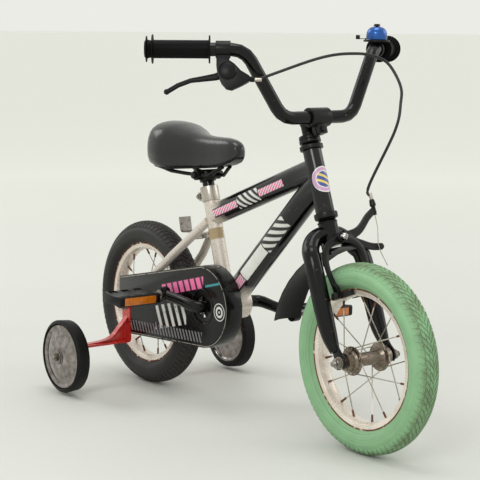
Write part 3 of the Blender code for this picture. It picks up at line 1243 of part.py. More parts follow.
def arm_upper(points, fore):
    path = [steer(s, fore, y) for s, y in points]
    sizes = [(CALIPER_THICK / 2 - 0.0002, 0.0080 - 0.0022 * i / (len(path) - 1)) for i in range(len(path))]
    corners = [(-1, -0.7), (0, -1), (1, -0.7), (1, 0.7), (0, 1), (-1, 0.7)]
    return sweep(path, sizes, HEAD_FORE, section=corners)


def build_caliper(right, left):
    """Side-pull arms in two layers; the left one carries the adjuster, the right one the pinch bolt."""
    layer = CALIPER_THICK + 0.0006
    low = CALIPER_FORE + CALIPER_THICK / 2
    high = low + layer
    pivot = frame_at(steer(PIVOT_AT), AXIS_Y, HEAD_FORE)
    hole = [(bore_of(0.0030, RUN_GAP, 10), 0), (bore_of(0.0030, RUN_GAP, 10), 0.05)]
    stud = bore_of(0.0030, SEAT_GAP, 8)
    for side, axis, fore, name in ((-1, right, low, "right"), (1, left, high, "left")):
        thick = CALIPER_THICK / 2 + 0.0001
        boss = turned([(0.0085, fore - thick), (0.0085, fore + thick)], pivot, 10)
        parts = [arm_lower(side, fore), boss]
        if side < 0:
            parts.append(arm_upper([(PIVOT_AT, 0), (0.1960, 0.0300), (PINCH[0] + 0.0020, PINCH[1] - 0.0200),
                                    (PINCH[0], PINCH[1] + 0.0040)], fore))
            at = frame_at(steer(PINCH[0], 0, PINCH[1]), AXIS_Y, HEAD_FORE)
            bolt = [(0.0052, fore - 0.0070), (0.0048, fore), (0.0030, fore + 0.0034),
                    (0.0056, fore + 0.0044)]
            parts.append(turned(bolt, at, 8))
        else:
            parts.append(arm_upper([(PIVOT_AT, 0), (0.2117, 0.0434 - 0.0060), (0.2340, 0.0650),
                                    (ADJUSTER[0] - 0.0010, ADJUSTER[1] + 0.0020)], fore))
            at = frame_at(steer(0, fore, ADJUSTER[1]), AXIS_Y, HEAD_WAY)
            s = ADJUSTER[0]
            barrel = [(0.0036, s - BARREL_BELOW), (0.0036, s + 0.0045), (0.0056, s + 0.0055),
                      (0.0044, s + 0.0160)]
            parts.append(turned(barrel, at, 8))
        end = steer(PAD_AT, 0.0250)
        cuts = [turned(hole, pivot, 10), rod(end, end + AXIS_Y * side * 0.06, stud, 8)]
        node("caliper_arm_" + name, fused(parts, cuts), "black_steel", axis, sharp=40)
        face = RIM_GRIP_HALF + PAD_CLEARANCE
        pad = [(-0.0235, -0.0046), (0.0235, -0.0046), (0.0250, 0), (0.0235, 0.0046), (-0.0235, 0.0046),
               (-0.0250, 0)]
        place = frame_at(steer(PAD_AT, 0.0250), HEAD_FORE, (0, -1, 0))
        block = slab(pad, -face - 0.0095, -face, place)
        at = frame_at(steer(PAD_AT, 0.0250), HEAD_FORE, AXIS_Y)
        inner_arm = 0.0325 - 0.0036
        outer_arm = 0.0325 + 0.0036 + SEAT_GAP
        bolt = turned([(0.0045, face + 0.0070), (0.0045, inner_arm - SEAT_GAP),
                       (0.0030, inner_arm - SEAT_GAP),
                       (0.0030, outer_arm), (0.0058, outer_arm), (0.0052, outer_arm + 0.0060)], at, 8)
        shape = mesh_to_bmesh(fused([block, bolt]))
        node("brake_shoe_" + name, on_side(shape, side), "brake_rubber", axis, sharp=40)
    fore = high
    start = steer(ADJUSTER[0] - BARREL_BELOW - SEAT_GAP, fore, ADJUSTER[1])
    route = [start, steer(0.2150, fore - 0.0005, 0.0830), steer(PINCH[0] + 0.0070, fore, PINCH[1] - 0.0070),
             steer(PINCH[0], fore, PINCH[1] - 0.0072), steer(0.1690, fore, 0.0790),
             steer(0.1480, fore + 0.0020, 0.0850)]
    wire = sweep(smooth(route, 2), (0.0008, 0.0008), HEAD_FORE, 5)
    node("brake_wire", wire, "steel", right)


def build_front_axle(axis):
    r = FRONT_AXLE_RADIUS
    nut = FORK_HALF_GAP + 0.0045 + SEAT_GAP
    half = [(r, 0.0469), (0.0090, FORK_HALF_GAP - SEAT_GAP), (r, FORK_HALF_GAP - SEAT_GAP), (r, nut),
            (0.0105, nut),
            (0.0088, nut + 0.0110), (r, nut + 0.0165)]
    profile = [(radius, -y) for radius, y in reversed(half)] + half
    node("front_axle", across_y(profile, FRONT_HUB, 8), "zinc", axis)


# Seat
SADDLE_STATIONS = [(0.000, 0.36, 0.600, 0.330), (0.024, 0.66, 0.830, 0.200), (0.076, 0.89, 0.975, 0.095),
                   (0.150, 0.99, 1.000, 0.030), (0.250, 1.00, 0.975, 0.000), (0.345, 0.86, 0.905, 0.010),
                   (0.440, 0.66, 0.830, 0.035), (0.535, 0.50, 0.775, 0.060), (0.650, 0.400, 0.745, 0.085),
                   (0.765, 0.350, 0.745, 0.135), (0.860, 0.325, 0.740, 0.195), (0.935, 0.280, 0.700, 0.270),
                   (0.980, 0.195, 0.620, 0.350), (1.000, 0.090, 0.520, 0.420)]


def saddle_x(along):
    return SEAT_TOP.x - SADDLE_BACK + SADDLE_LENGTH * along


def saddle_station(row):
    along, wide, top, low = row
    x = saddle_x(along)
    base = SADDLE_TOP - SADDLE_DEPTH
    return x, SADDLE_HALF_WIDTH * wide, base + SADDLE_DEPTH * top, base + SADDLE_DEPTH * low


def pan_height(along):
    """Height of the cover's lower edge at a share of the saddle's length."""
    for (a, _, _, low_a), (b, _, _, low_b) in zip(SADDLE_STATIONS, SADDLE_STATIONS[1:]):
        if a <= along <= b:
            return SADDLE_TOP - SADDLE_DEPTH * (1 - low_a - (low_b - low_a) * (along - a) / (b - a))


def rail_route():
    """The left rail from the nose back, level where the clamp holds it, its ends let into the pan."""
    dip = PAN_DEPTH + RAIL_RADIUS * 0.4
    return [Vector((saddle_x(0.815), 0.0080, pan_height(0.815) - dip)),
            CLAMP_AT + Vector((0.0272, 0.0180, 0)),
            CLAMP_AT + Vector((-0.0407, 0.0215, 0)),
            CLAMP_AT + Vector((-0.0757, 0.0280, 0.0020)),
            Vector((saddle_x(0.164), 0.0330, pan_height(0.164) - dip))]


def build_saddle(axis):
    """Padded cover with a domed top and drawn-in sides, over a pan with two rails."""
    section = [(0.90, 0), (0.985, 0.16), (1.00, 0.42), (0.965, 0.62), (0.87, 0.79), (0.68, 0.91),
               (0.40, 0.98),
               (0.14, 1.0)]
    section = section + [(-y, z) for y, z in reversed(section)]
    rings = []
    pan = []
    for row in SADDLE_STATIONS:
        x, half, top, low = saddle_station(row)
        rings.append([Vector((x, y * half, low + (top - low) * z)) for y, z in section])
        if 0.02 < row[0] < 0.99:
            shelf = ((-0.84, -SEAT_GAP), (0.84, -SEAT_GAP), (0.80, -PAN_DEPTH), (-0.80, -PAN_DEPTH))
            pan.append([Vector((x, y * half, low + z)) for y, z in shelf])
    node("saddle", skin(rings), "saddle_vinyl", axis, sharp=50)
    rails = [skin(pan)]
    for side in (1, -1):
        rails.append(on_side(sweep(rail_route(), (RAIL_RADIUS, RAIL_RADIUS), AXIS_Z, 6), side))
    node("saddle_base", fused(rails), "black_plastic", axis, sharp=40)
    barrel = rod(SEAT_TOP + SEAT_WAY * 0.0110, POST_TOP + SEAT_WAY * 0.0016, 0.0152, 16)
    jaws = across_y([(0.0095, -0.0270), (0.0095, 0.0270)], CLAMP_AT, 12)
    bolt = across_y([(0.0062, -0.0330), (0.0062, 0.0330)], CLAMP_AT, 8)
    cuts = [rod(SEAT_TOP, POST_TOP + SEAT_WAY * SEAT_GAP, POST_RADIUS + SEAT_GAP, 16)]
    for side in (1, -1):
        groove = RAIL_RADIUS + RUN_GAP
        cuts.append(on_side(sweep(rail_route()[1:3], (groove, groove), AXIS_Z, 6), side))
    node("saddle_clamp", fused([barrel, jaws, bolt], cuts), "black_steel", axis)
    foot = SEAT_TOP - SEAT_WAY * POST_INSERT
    node("seat_post", rod(foot, POST_TOP, POST_RADIUS, 16), "gloss_black", axis)


def build_materials():
    material("frame_paint", (0.30, 0.31, 0.32), 0.28, 0.55)
    material("black_steel", (0.02, 0.02, 0.02), 0.40, 0.30)
    material("gloss_black", (0.01, 0.01, 0.01), 0.15, 0.20)
    material("dark_steel", (0.09, 0.08, 0.07), 0.45, 0.90)
    material("steel", (0.45, 0.44, 0.42), 0.35, 1.00)
    material("zinc", (0.55, 0.53, 0.50), 0.40, 1.00)
    material("chrome", (0.75, 0.75, 0.76), 0.12, 1.00)
    material("hub_chrome", (0.50, 0.44, 0.38), 0.30, 1.00)
    material("rim_steel", (0.60, 0.58, 0.55), 0.25, 1.00)
    material("tyre_front", (0.42, 0.66, 0.54), 0.75, 0.0)
    material("tyre_rear", (0.05, 0.04, 0.035), 0.85, 0.0)
    material("training_rubber", (0.03, 0.03, 0.03), 0.70, 0.0)
    material("brake_rubber", (0.02, 0.02, 0.02), 0.80, 0.0)
    material("grip_rubber", (0.03, 0.03, 0.03), 0.70, 0.0)
    material("black_plastic", (0.02, 0.02, 0.02), 0.45, 0.0)
    material("guard_plastic", (0.02, 0.02, 0.022), 0.35, 0.0)
    material("casing_black", (0.015, 0.015, 0.015), 0.40, 0.0)
    material("amber", (0.90, 0.35, 0.02), 0.15, 0.0)
    material("red_paint", (0.45, 0.03, 0.03), 0.40, 0.0)
    material("bell_blue", (0.02, 0.10, 0.55), 0.25, 0.6)
    material("saddle_vinyl", (0.04, 0.04, 0.045), 0.50, 0.0)


def main():
    for obj in list(bpy.data.objects):
        bpy.data.objects.remove(obj)
    build_materials()
    steering = axis_empty("steering_axis", steer(CROWN_SEAT), (0, 1, 0), HEAD_WAY)
    seat = axis_empty("seat_axis", SEAT_TOP, (0, 1, 0), SEAT_WAY)
    rear = axis_empty("rear_wheel_axis", REAR_HUB, (1, 0, 0), AXIS_Y)
    sprocket = axis_empty("rear_sprocket_axis", REAR_HUB, (1, 0, 0), AXIS_Y)
    crank = axis_empty("crank_axis", BB, (1, 0, 0), AXIS_Y)
    front = axis_empty("front_wheel_axis", FRONT_HUB, (1, 0, 0), AXIS_Y, steering)
    place = control_place()
    lever = axis_empty("brake_lever_axis", place @ Vector((*LEVER_PIVOT, 0)), place.col[0].to_3d(),
                       -place.col[2].to_3d(), steering)
    right = axis_empty("caliper_right_axis", steer(PIVOT_AT, CALIPER_FORE), (0, 1, 0), HEAD_FORE, steering)
    left = axis_empty("caliper_left_axis", steer(PIVOT_AT, CALIPER_FORE), (0, 1, 0), HEAD_FORE, steering)
    build_frame()
    build_headset()
    build_bottom_bracket()
    build_seat_clamp()
    build_rear_axle()
    build_brake_arm()
    build_chain_guard()
    build_guard_clip()
    build_guard_tab()
    build_chain()
    build_crank(crank)
    build_chainring(crank)
    for side, name in ((1, "left"), (-1, "right")):
        way = Vector((-cos(CRANK_ANGLE), 0, sin(CRANK_ANGLE))) * -side
        eye = BB + way * CRANK_LENGTH + AXIS_Y * side * PEDAL_Y
        pedal = axis_empty("pedal_" + name + "_axis", eye, (1, 0, 0), AXIS_Y, crank)
        build_pedal(side, name, crank, pedal)
        hub = behind(0.001, side * TRAINING_Y, TRAINING_RADIUS + TRAINING_LIFT)
        training = axis_empty("training_" + name + "_axis", hub, (1, 0, 0), AXIS_Y)
        build_training_side(side, name, training)
    build_rear_sprocket(sprocket)
    rear_bore = bore_of(REAR_AXLE_RADIUS, RUN_GAP, 10)
    build_wheel("rear", REAR_HUB, rear, 0.0270, 0.0190, (-0.0340, 0.0433), rear_bore, radians(11.0))
    front_bore = bore_of(FRONT_AXLE_RADIUS, RUN_GAP, 10)
    build_wheel("front", FRONT_HUB, front, 0.0240, 0.0115, (-0.0465, 0.0465), front_bore, radians(13.0))
    build_fork(steering)
    build_headset_nut(steering)
    build_stem(steering)
    build_handlebar(steering)
    build_grips(steering)
    build_lever(steering, lever)
    build_cable(steering)
    build_bell(steering, axis_empty)
    build_front_mudguard(steering)
    build_caliper_bolt(steering)
    build_caliper(right, left)
    build_front_axle(steering)
    build_saddle(seat)


main()
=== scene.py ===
"""Looks of a children's 12 inch bicycle with training wheels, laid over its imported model.

X points forward, Y to the rider's left and Z up, in metres, with the origin on the ground midway
between the axles.
"""
import json
from math import acos, atan2, cos, hypot, pi, radians, sin, sqrt, tan

import bmesh
import bpy
from bpy.props import FloatProperty, FloatVectorProperty, IntProperty, PointerProperty
from bpy.types import Operator, Panel, PropertyGroup
from mathutils import Matrix, Vector


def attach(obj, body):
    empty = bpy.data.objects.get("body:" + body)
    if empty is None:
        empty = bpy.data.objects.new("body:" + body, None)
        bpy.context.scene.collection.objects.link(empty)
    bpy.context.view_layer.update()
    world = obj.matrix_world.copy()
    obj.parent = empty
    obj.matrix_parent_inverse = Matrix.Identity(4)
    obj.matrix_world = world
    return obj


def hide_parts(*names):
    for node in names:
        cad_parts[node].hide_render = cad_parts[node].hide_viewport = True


bl_info = {
    "name": "Childs bicycle",
    "version": (1, 0, 0),
    "blender": (4, 5, 0),
    "location": "3D View > Sidebar > Bicycle",
    "description": "Builds the visible pieces and finishes of a small bicycle with training wheels",
    "category": "Object",
}

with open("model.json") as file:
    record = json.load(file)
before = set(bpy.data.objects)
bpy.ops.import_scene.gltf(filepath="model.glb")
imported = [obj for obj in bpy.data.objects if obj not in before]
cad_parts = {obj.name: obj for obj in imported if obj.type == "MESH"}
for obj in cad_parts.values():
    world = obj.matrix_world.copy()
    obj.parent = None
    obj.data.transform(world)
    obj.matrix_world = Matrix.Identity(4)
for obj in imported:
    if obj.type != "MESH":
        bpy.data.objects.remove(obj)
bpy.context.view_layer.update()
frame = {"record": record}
RECORD = frame["record"]
BODY_OF = {node: body for body, nodes in RECORD["behaviour"]["bodies"].items() for node in nodes}

# Gaps: between pieces that touch, and between pieces that turn or slide
SEAT_GAP = 0.0003
RUN_GAP = 0.0004

# Wheels
WHEELBASE = 0.6267
TYRE_RADIUS = 0.1585
TYRE_WIDTH = 0.05
RIM_RADIUS = 0.1165
RIM_WIDTH = 0.028
RIM_DEPTH = 0.013
SPOKES = 16
SPOKE_RADIUS = 0.001
SPOKE_LEAN = radians(58)
FLANGE_HALF_GAP = 0.03
FRONT_AXLE_RADIUS = 0.0045
REAR_AXLE_RADIUS = 0.005
FORK_HALF_GAP = 0.052
FORK_TIP_THICK = 0.0045
REAR_HALF_GAP = 0.051
ARM_INNER = 0.0437
ARM_OUTER = 0.0463

# Drive
CHAIN_PITCH = 0.0127
CHAIN_LINKS = 62
RING_TEETH = 28
RING_WINDOWS = 5
RING_BACK = 0.0443
COG_TEETH = 16
CHAIN_LINE = 0.043
ROLLER_HALF = 0.0018
PLATE_THICK = 0.0013
LINK_HEIGHT = 0.0082
COG_THICK = 0.0026
BB_HEIGHT = 0.192
BB_SHELL_RADIUS = 0.0285
BB_SHELL_HALF = 0.034
BB_BORE = 0.0257
CRANK_LENGTH = 0.095
CRANK_ANGLE = radians(7.0)
SPINDLE_RADIUS = 0.011
PEDAL_LENGTH = 0.086
PEDAL_WIDTH = 0.06
PEDAL_THICK = 0.02
PEDAL_TILT = radians(-2.0)
PEDAL_Y = 0.149
PEDAL_EYE = 0.078
PEDAL_AXLE_RADIUS = 0.0062

# Frame tubes
SEAT_ANGLE = radians(73.1)
SEAT_TUBE_RADIUS = 0.014
SEAT_TUBE_LENGTH = 0.2175
TOP_TUBE_RADIUS = 0.02
TOP_TUBE_BELOW = 0.0525
DOWN_TUBE_RADIUS = 0.022
STAY_RADIUS = 0.008
STAY_BELOW = 0.0595
DROPOUT_THICK = 0.004

# Steering, measured along the head axis from the point beside the front axle
HEAD_ANGLE = radians(69.7)
RAKE = 0.023
CROWN_SEAT = 0.236
CUP_HEIGHT = 0.013
HEAD_TUBE_LENGTH = 0.1095
HEAD_TUBE_RADIUS = 0.016
HEAD_TUBE_BORE = 0.014
CUP_RADIUS = 0.02
STEERER_RADIUS = 0.0127
QUILL_RADIUS = 0.0105
LEG_Y = 0.0545
LEG_RADIUS = 0.0148
STEM_REACH = 0.031
STEM_RISE = 0.0478

# Handlebar, in its own plane that leans back
BAR_RADIUS = 0.0111
BAR_LEAN = radians(10.0)
BAR_FLAT_HALF = 0.0748
BAR_RISE = 0.1135
BAR_SHOULDER_HALF = 0.1393
BAR_END_HALF = 0.2636
BAR_END_RISE = 0.0158
BAR_SWEEP = 0.0955
GRIP_LENGTH = 0.102
GRIP_RADIUS = 0.0148
CONTROL_FROM_END = 0.122545
BELL_FROM_END = 0.126545

# Front brake
PIVOT_AT = 0.2035
PAD_AT = 0.1085
PAD_CLEARANCE = 0.0027
LEVER_DROP = radians(70.0)
CALIPER_THICK = 0.0046
PIVOT_RADIUS = 0.003
CALIPER_FORE = 0.0205
RIM_GRIP_HALF = 0.014
BARREL_BELOW = 0.0105

# Saddle
POST_RADIUS = 0.0111
POST_INSERT = 0.12
POST_ABOVE = 0.028
SADDLE_LENGTH = 0.238
SADDLE_BACK = 0.1414
SADDLE_HALF_WIDTH = 0.061
SADDLE_RISE = 0.1159
SADDLE_DEPTH = 0.083
PAN_DEPTH = 0.0035
RAIL_RADIUS = 0.0035
RAIL_RISE = 0.0229

# Chain guard
GUARD_FACE = 0.0585
GUARD_WALL = 0.0015
GUARD_FRONT_RADIUS = 0.0745
GUARD_REAR_RADIUS = 0.056
GUARD_REAR_END = -0.024
GUARD_NOTCH_END = 0.016
GUARD_NOTCH_TOP = 0.023
GUARD_DEEP_EDGE = 0.024
GUARD_SHALLOW_EDGE = 0.0495

# Training wheels
TRAINING_RADIUS = 0.069
TRAINING_WIDTH = 0.028
TRAINING_Y = 0.195
TRAINING_LIFT = 0.0042
TRAINING_AXLE_RADIUS = 0.004
BRACKET_THICK = 0.0045
BRACKET_HALF = 0.0125

# Worked-out places
REAR_X = -WHEELBASE / 2
FRONT_X = WHEELBASE / 2
AXLE_Z = TYRE_RADIUS
AXIS_Y = Vector((0, 1, 0))
AXIS_Z = Vector((0, 0, 1))
SIDES = ((1, "left"), (-1, "right"))
REAR_HUB = Vector((REAR_X, 0, AXLE_Z))
FRONT_HUB = Vector((FRONT_X, 0, AXLE_Z))


def pitch_radius(teeth):
    return CHAIN_PITCH / (2 * sin(pi / teeth))


def chain_centres():
    """Distance between the sprockets at which the chain closes with its links."""
    step = pitch_radius(RING_TEETH) - pitch_radius(COG_TEETH)
    span = CHAIN_LINKS * CHAIN_PITCH / 3
    for _ in range(40):
        wrap = acos(step / span)
        links = (RING_TEETH * (pi - wrap) + COG_TEETH * wrap) / pi
        straight = (CHAIN_LINKS - links) * CHAIN_PITCH / 2
        span = hypot(straight, step)
    return span


CHAIN_STAY = chain_centres()
BB = Vector((REAR_X + sqrt(CHAIN_STAY ** 2 - (BB_HEIGHT - AXLE_Z) ** 2), 0, BB_HEIGHT))
SEAT_WAY = Vector((-cos(SEAT_ANGLE), 0, sin(SEAT_ANGLE)))
SEAT_TOP = BB + SEAT_WAY * SEAT_TUBE_LENGTH
POST_TOP = SEAT_TOP + SEAT_WAY * POST_ABOVE
SADDLE_TOP = SEAT_TOP.z + SADDLE_RISE
CLAMP_AT = Vector((POST_TOP.x + 0.0015, 0, SEAT_TOP.z + RAIL_RISE))
HEAD_WAY = Vector((-cos(HEAD_ANGLE), 0, sin(HEAD_ANGLE)))
HEAD_FORE = Vector((sin(HEAD_ANGLE), 0, cos(HEAD_ANGLE)))
STEER_FOOT = FRONT_HUB - HEAD_FORE * RAKE
HEAD_LOW = CROWN_SEAT + 0.003 + CUP_HEIGHT + SEAT_GAP
HEAD_HIGH = HEAD_LOW + HEAD_TUBE_LENGTH
STEM_HEIGHT = HEAD_HIGH + STEM_RISE
BAR_UP = Vector((-sin(BAR_LEAN), 0, cos(BAR_LEAN)))
BAR_FORE = Vector((cos(BAR_LEAN), 0, sin(BAR_LEAN)))


def steer(along, fore=0.0, left=0.0):
    """A point of the steering unit: along the head axis, ahead of it and to the left."""
    return STEER_FOOT + HEAD_WAY * along + HEAD_FORE * fore + AXIS_Y * left


def behind(x, y, z):
    """A point given by its distance ahead of the rear axle."""
    return Vector((REAR_X + x, y, z))


# Mesh helpers
def frame_at(origin, x_way, z_way):
    """A local frame with its Z along z_way and its X as near x_way as it can be."""
    z = Vector(z_way).normalized()
    y = z.cross(Vector(x_way)).normalized()
    place = Matrix((y.cross(z), y, z)).transposed().to_4x4()
    place.translation = Vector(origin)
    return place


def circle(radius, sides, start=0.0):
    step = 2 * pi / sides
    return [(radius * cos(start + i * step), radius * sin(start + i * step)) for i in range(sides)]


def arc(centre, radius, first, last, steps=12):
    """Points on an arc, angles in degrees, both ends kept."""
    turns = [radians(first + (last - first) * i / steps) for i in range(steps + 1)]
    return [(centre[0] + radius * cos(t), centre[1] + radius * sin(t)) for t in turns]


def link_outline(a, ra, b, rb, steps=16):
    """The outline of a bar that is round about a and about b."""
    way = atan2(b[1] - a[1], b[0] - a[0]) * 180 / pi
    lean = acos((ra - rb) / hypot(b[0] - a[0], b[1] - a[1])) * 180 / pi
    return arc(a, ra, way + lean, way + 360 - lean, steps) + arc(b, rb, way - lean, way + lean, steps)


def skin(rings, closed=False):
    """Join rings of points with faces. An open skin gets flat ends."""
    bm = bmesh.new()
    loops = [[bm.verts.new(point) for point in ring] for ring in rings]
    pairs = list(zip(loops, loops[1:]))
    if closed:
        pairs.append((loops[-1], loops[0]))
    for a, b in pairs:
        for i in range(len(a)):
            j = (i + 1) % len(a)
            bm.faces.new((a[i], a[j], b[j], b[i]))
    if not closed:
        bm.faces.new(list(reversed(loops[0])))
        bm.faces.new(loops[-1])
    return bm


def eased(points, size, closed):
    """Round a profile's sharp corners."""
    out = []
    for i, here in enumerate(points):
        back = Vector(points[i - 1]) - Vector(here)
        on = Vector(points[(i + 1) % len(points)]) - Vector(here)
        ends = not closed and i in (0, len(points) - 1)
        if ends or min(back.length, on.length) < 1e-6 or back.angle(on) > radians(165):
            out.append(tuple(here))
            continue
        reach = min(size, back.length * 0.4, on.length * 0.4)
        first = Vector(here) + back.normalized() * reach
        last = Vector(here) + on.normalized() * reach
        for t in (0, 1 / 3, 2 / 3, 1):
            spot = first * (1 - t) ** 2 + Vector(here) * 2 * t * (1 - t) + last * t ** 2
            out.append((max(spot.x, 0), spot.y))
    return out


def turned(profile, place, sides=48, closed=False, ease=0.0006):
    """Turn a profile of (radius, height) pairs about the Z axis of a frame, its corners rounded."""
    profile = list(profile)
    if not closed:
        profile = [(0, profile[0][1])] * (profile[0][0] > 1e-6) + profile
        profile = profile + [(0, profile[-1][1])] * (profile[-1][0] > 1e-6)
    if ease:
        profile = eased(profile, ease, closed)
    bm = bmesh.new()
    rows = []
    for radius, height in profile:
        spots = circle(radius, sides) if radius > 1e-6 else [(0, 0)]
        rows.append([bm.verts.new(place @ Vector((x, y, height))) for x, y in spots])
    pairs = list(zip(rows, rows[1:]))
    if closed:
        pairs.append((rows[-1], rows[0]))
    for a, b in pairs:
        for i in range(sides):
            j = (i + 1) % sides
            if len(a) == 1:
                bm.faces.new((a[0], b[j], b[i]))
            elif len(b) == 1:
                bm.faces.new((a[i], a[j], b[0]))
            else:
                bm.faces.new((a[i], a[j], b[j], b[i]))
    if not closed:
        if len(rows[0]) > 1:
            bm.faces.new(list(reversed(rows[0])))
        if len(rows[-1]) > 1:
            bm.faces.new(rows[-1])
    return bm


def rod(a, b, radius, sides=32):
    way = b - a
    side = AXIS_Y if abs(way.normalized().y) < 0.9 else AXIS_Z
    return turned([(radius, 0), (radius, way.length)], frame_at(a, side, way), sides)


def softened(bm, size, limit=38.0):
    """Bevel the edges sharper than the limit."""
    if size:
        bmesh.ops.recalc_face_normals(bm, faces=bm.faces)
        edges = [edge for edge in bm.edges if edge.calc_face_angle(0) > radians(limit)]
        bmesh.ops.bevel(bm, geom=edges, offset=size, segments=2, profile=0.5, affect="EDGES",
                        clamp_overlap=True)
    return bm


def slab(outline, low, high, place, ease=0.0005):
    """Extrude an outline in a frame's XY plane from low to high along its Z."""
    return softened(skin([[place @ Vector((x, y, z)) for x, y in outline] for z in (low, high)]), ease)


def sweep(path, sizes, across, sides=24, section=None, ease=0.0, closed=False):
    """A bar along a path; sizes holds (half width along across, half height), one or one a point."""
    rings = []
    section = section or circle(1, sides)
    sizes = sizes if isinstance(sizes, list) else [sizes] * len(path)
    for i, point in enumerate(path):
        before, after = path[max(i - 1, 0)], path[min(i + 1, len(path) - 1)]
        if closed:
            before, after = path[i - 1], path[(i + 1) % len(path)]
        way = (after - before).normalized()
        wide = (across - way * across.dot(way)).normalized()
        high = way.cross(wide)
        half_wide, half_high = sizes[i]
        rings.append([point + wide * x * half_wide + high * y * half_high for x, y in section])
    return softened(skin(rings, closed), ease)


def side_slab(outline, low, high, origin, ease=0.0005):
    """Extrude an outline of (forward, up) pairs from y low to y high, about an origin."""
    centre = Vector((origin.x, 0, origin.z))
    return slab(outline, -high, -low, frame_at(centre, (1, 0, 0), (0, -1, 0)), ease)


def across_y(profile, origin, sides=48, closed=False, ease=0.0006):
    """Turn (radius, y) pairs about the line through origin along Y."""
    centre = Vector((origin.x, 0, origin.z))
    return turned(profile, frame_at(centre, (1, 0, 0), AXIS_Y), sides, closed, ease)


def drum(centre, radius, low, high):
    """A cylinder from y low to y high about the line through a centre."""
    return across_y([(radius, low), (radius, high)], centre)


def pillar(place, radius, low, high):
    """A cylinder along the Z axis of a frame."""
    return turned([(radius, low), (radius, high)], place)


def sleeve(outer, inner, low, high):
    """The closed profile of a plain ring."""
    return [(inner, low), (outer, low), (outer, high), (inner, high)]


def filleted(points, radius, steps=12):
    """A path through points whose corners are rounded by arcs of one radius."""
    path = [points[0]]
    for before, corner, after in zip(points, points[1:], points[2:]):
        back, on = (before - corner).normalized(), (after - corner).normalized()
        half = back.angle(on) / 2
        reach = radius / tan(half)
        centre = corner + (back + on).normalized() * radius / sin(half)
        start, end = corner + back * reach - centre, corner + on * reach - centre
        whole = start.angle(end)
        for i in range(steps + 1):
            t = i / steps
            mix = start * sin((1 - t) * whole) + end * sin(t * whole)
            path.append(centre + mix / sin(whole))
    return path + [points[-1]]


def smooth(points, steps):
    """A Catmull-Rom curve through points, with so many steps between each two."""
    ends = [points[0] * 2 - points[1]] + list(points) + [points[-1] * 2 - points[-2]]
    path = []
    for a, b, c, d in zip(ends, ends[1:], ends[2:], ends[3:]):
        for i in range(steps):
            t = i / steps
            path.append((b * 2 + (c - a) * t + (a * 2 - b * 5 + c * 4 - d) * t ** 2
                         + (b * 3 - a - c * 3 + d) * t ** 3) / 2)
    return path + [points[-1]]


def mesh_from(bm):
    bmesh.ops.recalc_face_normals(bm, faces=bm.faces)
    mesh = bpy.data.meshes.new("piece")
    bm.to_mesh(mesh)
    bm.free()
    return mesh


def boolean(base, other, operation):
    """One Boolean of two meshes, which are used up."""
    pair = [bpy.data.objects.new("operand", mesh) for mesh in (base, other)]
    for obj in pair:
        bpy.context.scene.collection.objects.link(obj)
    modifier = pair[0].modifiers.new("cut", "BOOLEAN")
    modifier.operation = operation
    modifier.solver = "MANIFOLD"
    modifier.object = pair[1]
    bpy.context.view_layer.update()
    shown = pair[0].evaluated_get(bpy.context.evaluated_depsgraph_get())
    result = bpy.data.meshes.new_from_object(shown)
    for obj in pair:
        bpy.data.objects.remove(obj)
    return result


def fused(parts, cuts=()):
    """Union of closed shapes, less the cuts."""
    result = mesh_from(parts[0])
    for bm in parts[1:]:
        result = boolean(result, mesh_from(bm), "UNION")
    for bm in cuts:
        result = boolean(result, mesh_from(bm), "DIFFERENCE")
    return result


def mesh_to_bmesh(mesh):
    bm = bmesh.new()
    bm.from_mesh(mesh)
    return bm


def mirrored(bm):
    """The same shape on the other side of the bicycle."""
    bmesh.ops.transform(bm, matrix=Matrix.Scale(-1, 4, AXIS_Y), verts=bm.verts)
    bmesh.ops.reverse_faces(bm, faces=bm.faces)
    return bm


def on_side(shape, side):
    """Shapes are drawn on the left; side is 1 for left and -1 for right."""
    bm = mesh_to_bmesh(shape) if isinstance(shape, bpy.types.Mesh) else shape
    return bm if side > 0 else mirrored(bm)


# Colours and sizes that a user would change
def linear(code):
    """The linear colour of an sRGB hex value; a colour that is linear already comes back as it is."""
    if not isinstance(code, str):
        return code
    parts = [int(code[i:i + 2], 16) / 255 for i in (1, 3, 5)]
    return [c / 12.92 if c <= 0.04045 else ((c + 0.055) / 1.055) ** 2.4 for c in parts]


def colour_choice(name, about, code):
    return FloatVectorProperty(name=name, description=about, subtype="COLOR", size=3, min=0, max=1,
                               default=linear(code))


def length_choice(name, about, size):
    return FloatProperty(name=name, description=about, subtype="DISTANCE", unit="LENGTH", default=size)


class BicycleColours(PropertyGroup):
    """Colours of the bicycle's main finishes"""

    enamel: colour_choice("Black enamel", "Fork, handlebar, cranks and the front of the frame", "#0A0A0B")
    silver: colour_choice("Silver paint", "Rear of the frame", "#D8CEC4")
    front_rubber: colour_choice("Front tyre", "Side of the front tyre", "#8AB78A")
    front_tread: colour_choice("Front tread", "Worn tread of the front tyre", "#5C5A3C")
    rear_rubber: colour_choice("Rear tyre", "Side of the rear tyre", "#1B1917")
    bracket_red: colour_choice("Bracket red", "Training wheel brackets", "#C8231C")
    bell_blue: colour_choice("Bell blue", "Dome of the bell", "#2A5CA8")
    print_pink: colour_choice("Print pink", "Pink of the prints on the tubes and the guard", "#E66FA2")
    print_white: colour_choice("Print white", "White of the prints on the tubes and the guard", "#DFDFDB")
    lens: colour_choice("Reflector", "Lenses of the pedals", "#E07A10")


class BicycleTrim(PropertyGroup):
    """Sizes of the bicycle's fine detail"""

    tread_depth: length_choice("Tread depth", "Height of the tread blocks", 0.0016)
    tread_blocks: IntProperty(name="Tread blocks", description="Blocks in a row round a tyre", default=84,
                              min=16)
    nipple_radius: length_choice("Spoke nipple", "Radius of the nipples at the rims", 0.0021)
    print_thickness: length_choice("Print film", "Thickness of the films stuck on the tubes", 0.0002)


def colours():
    return bpy.context.scene.bicycle_colours


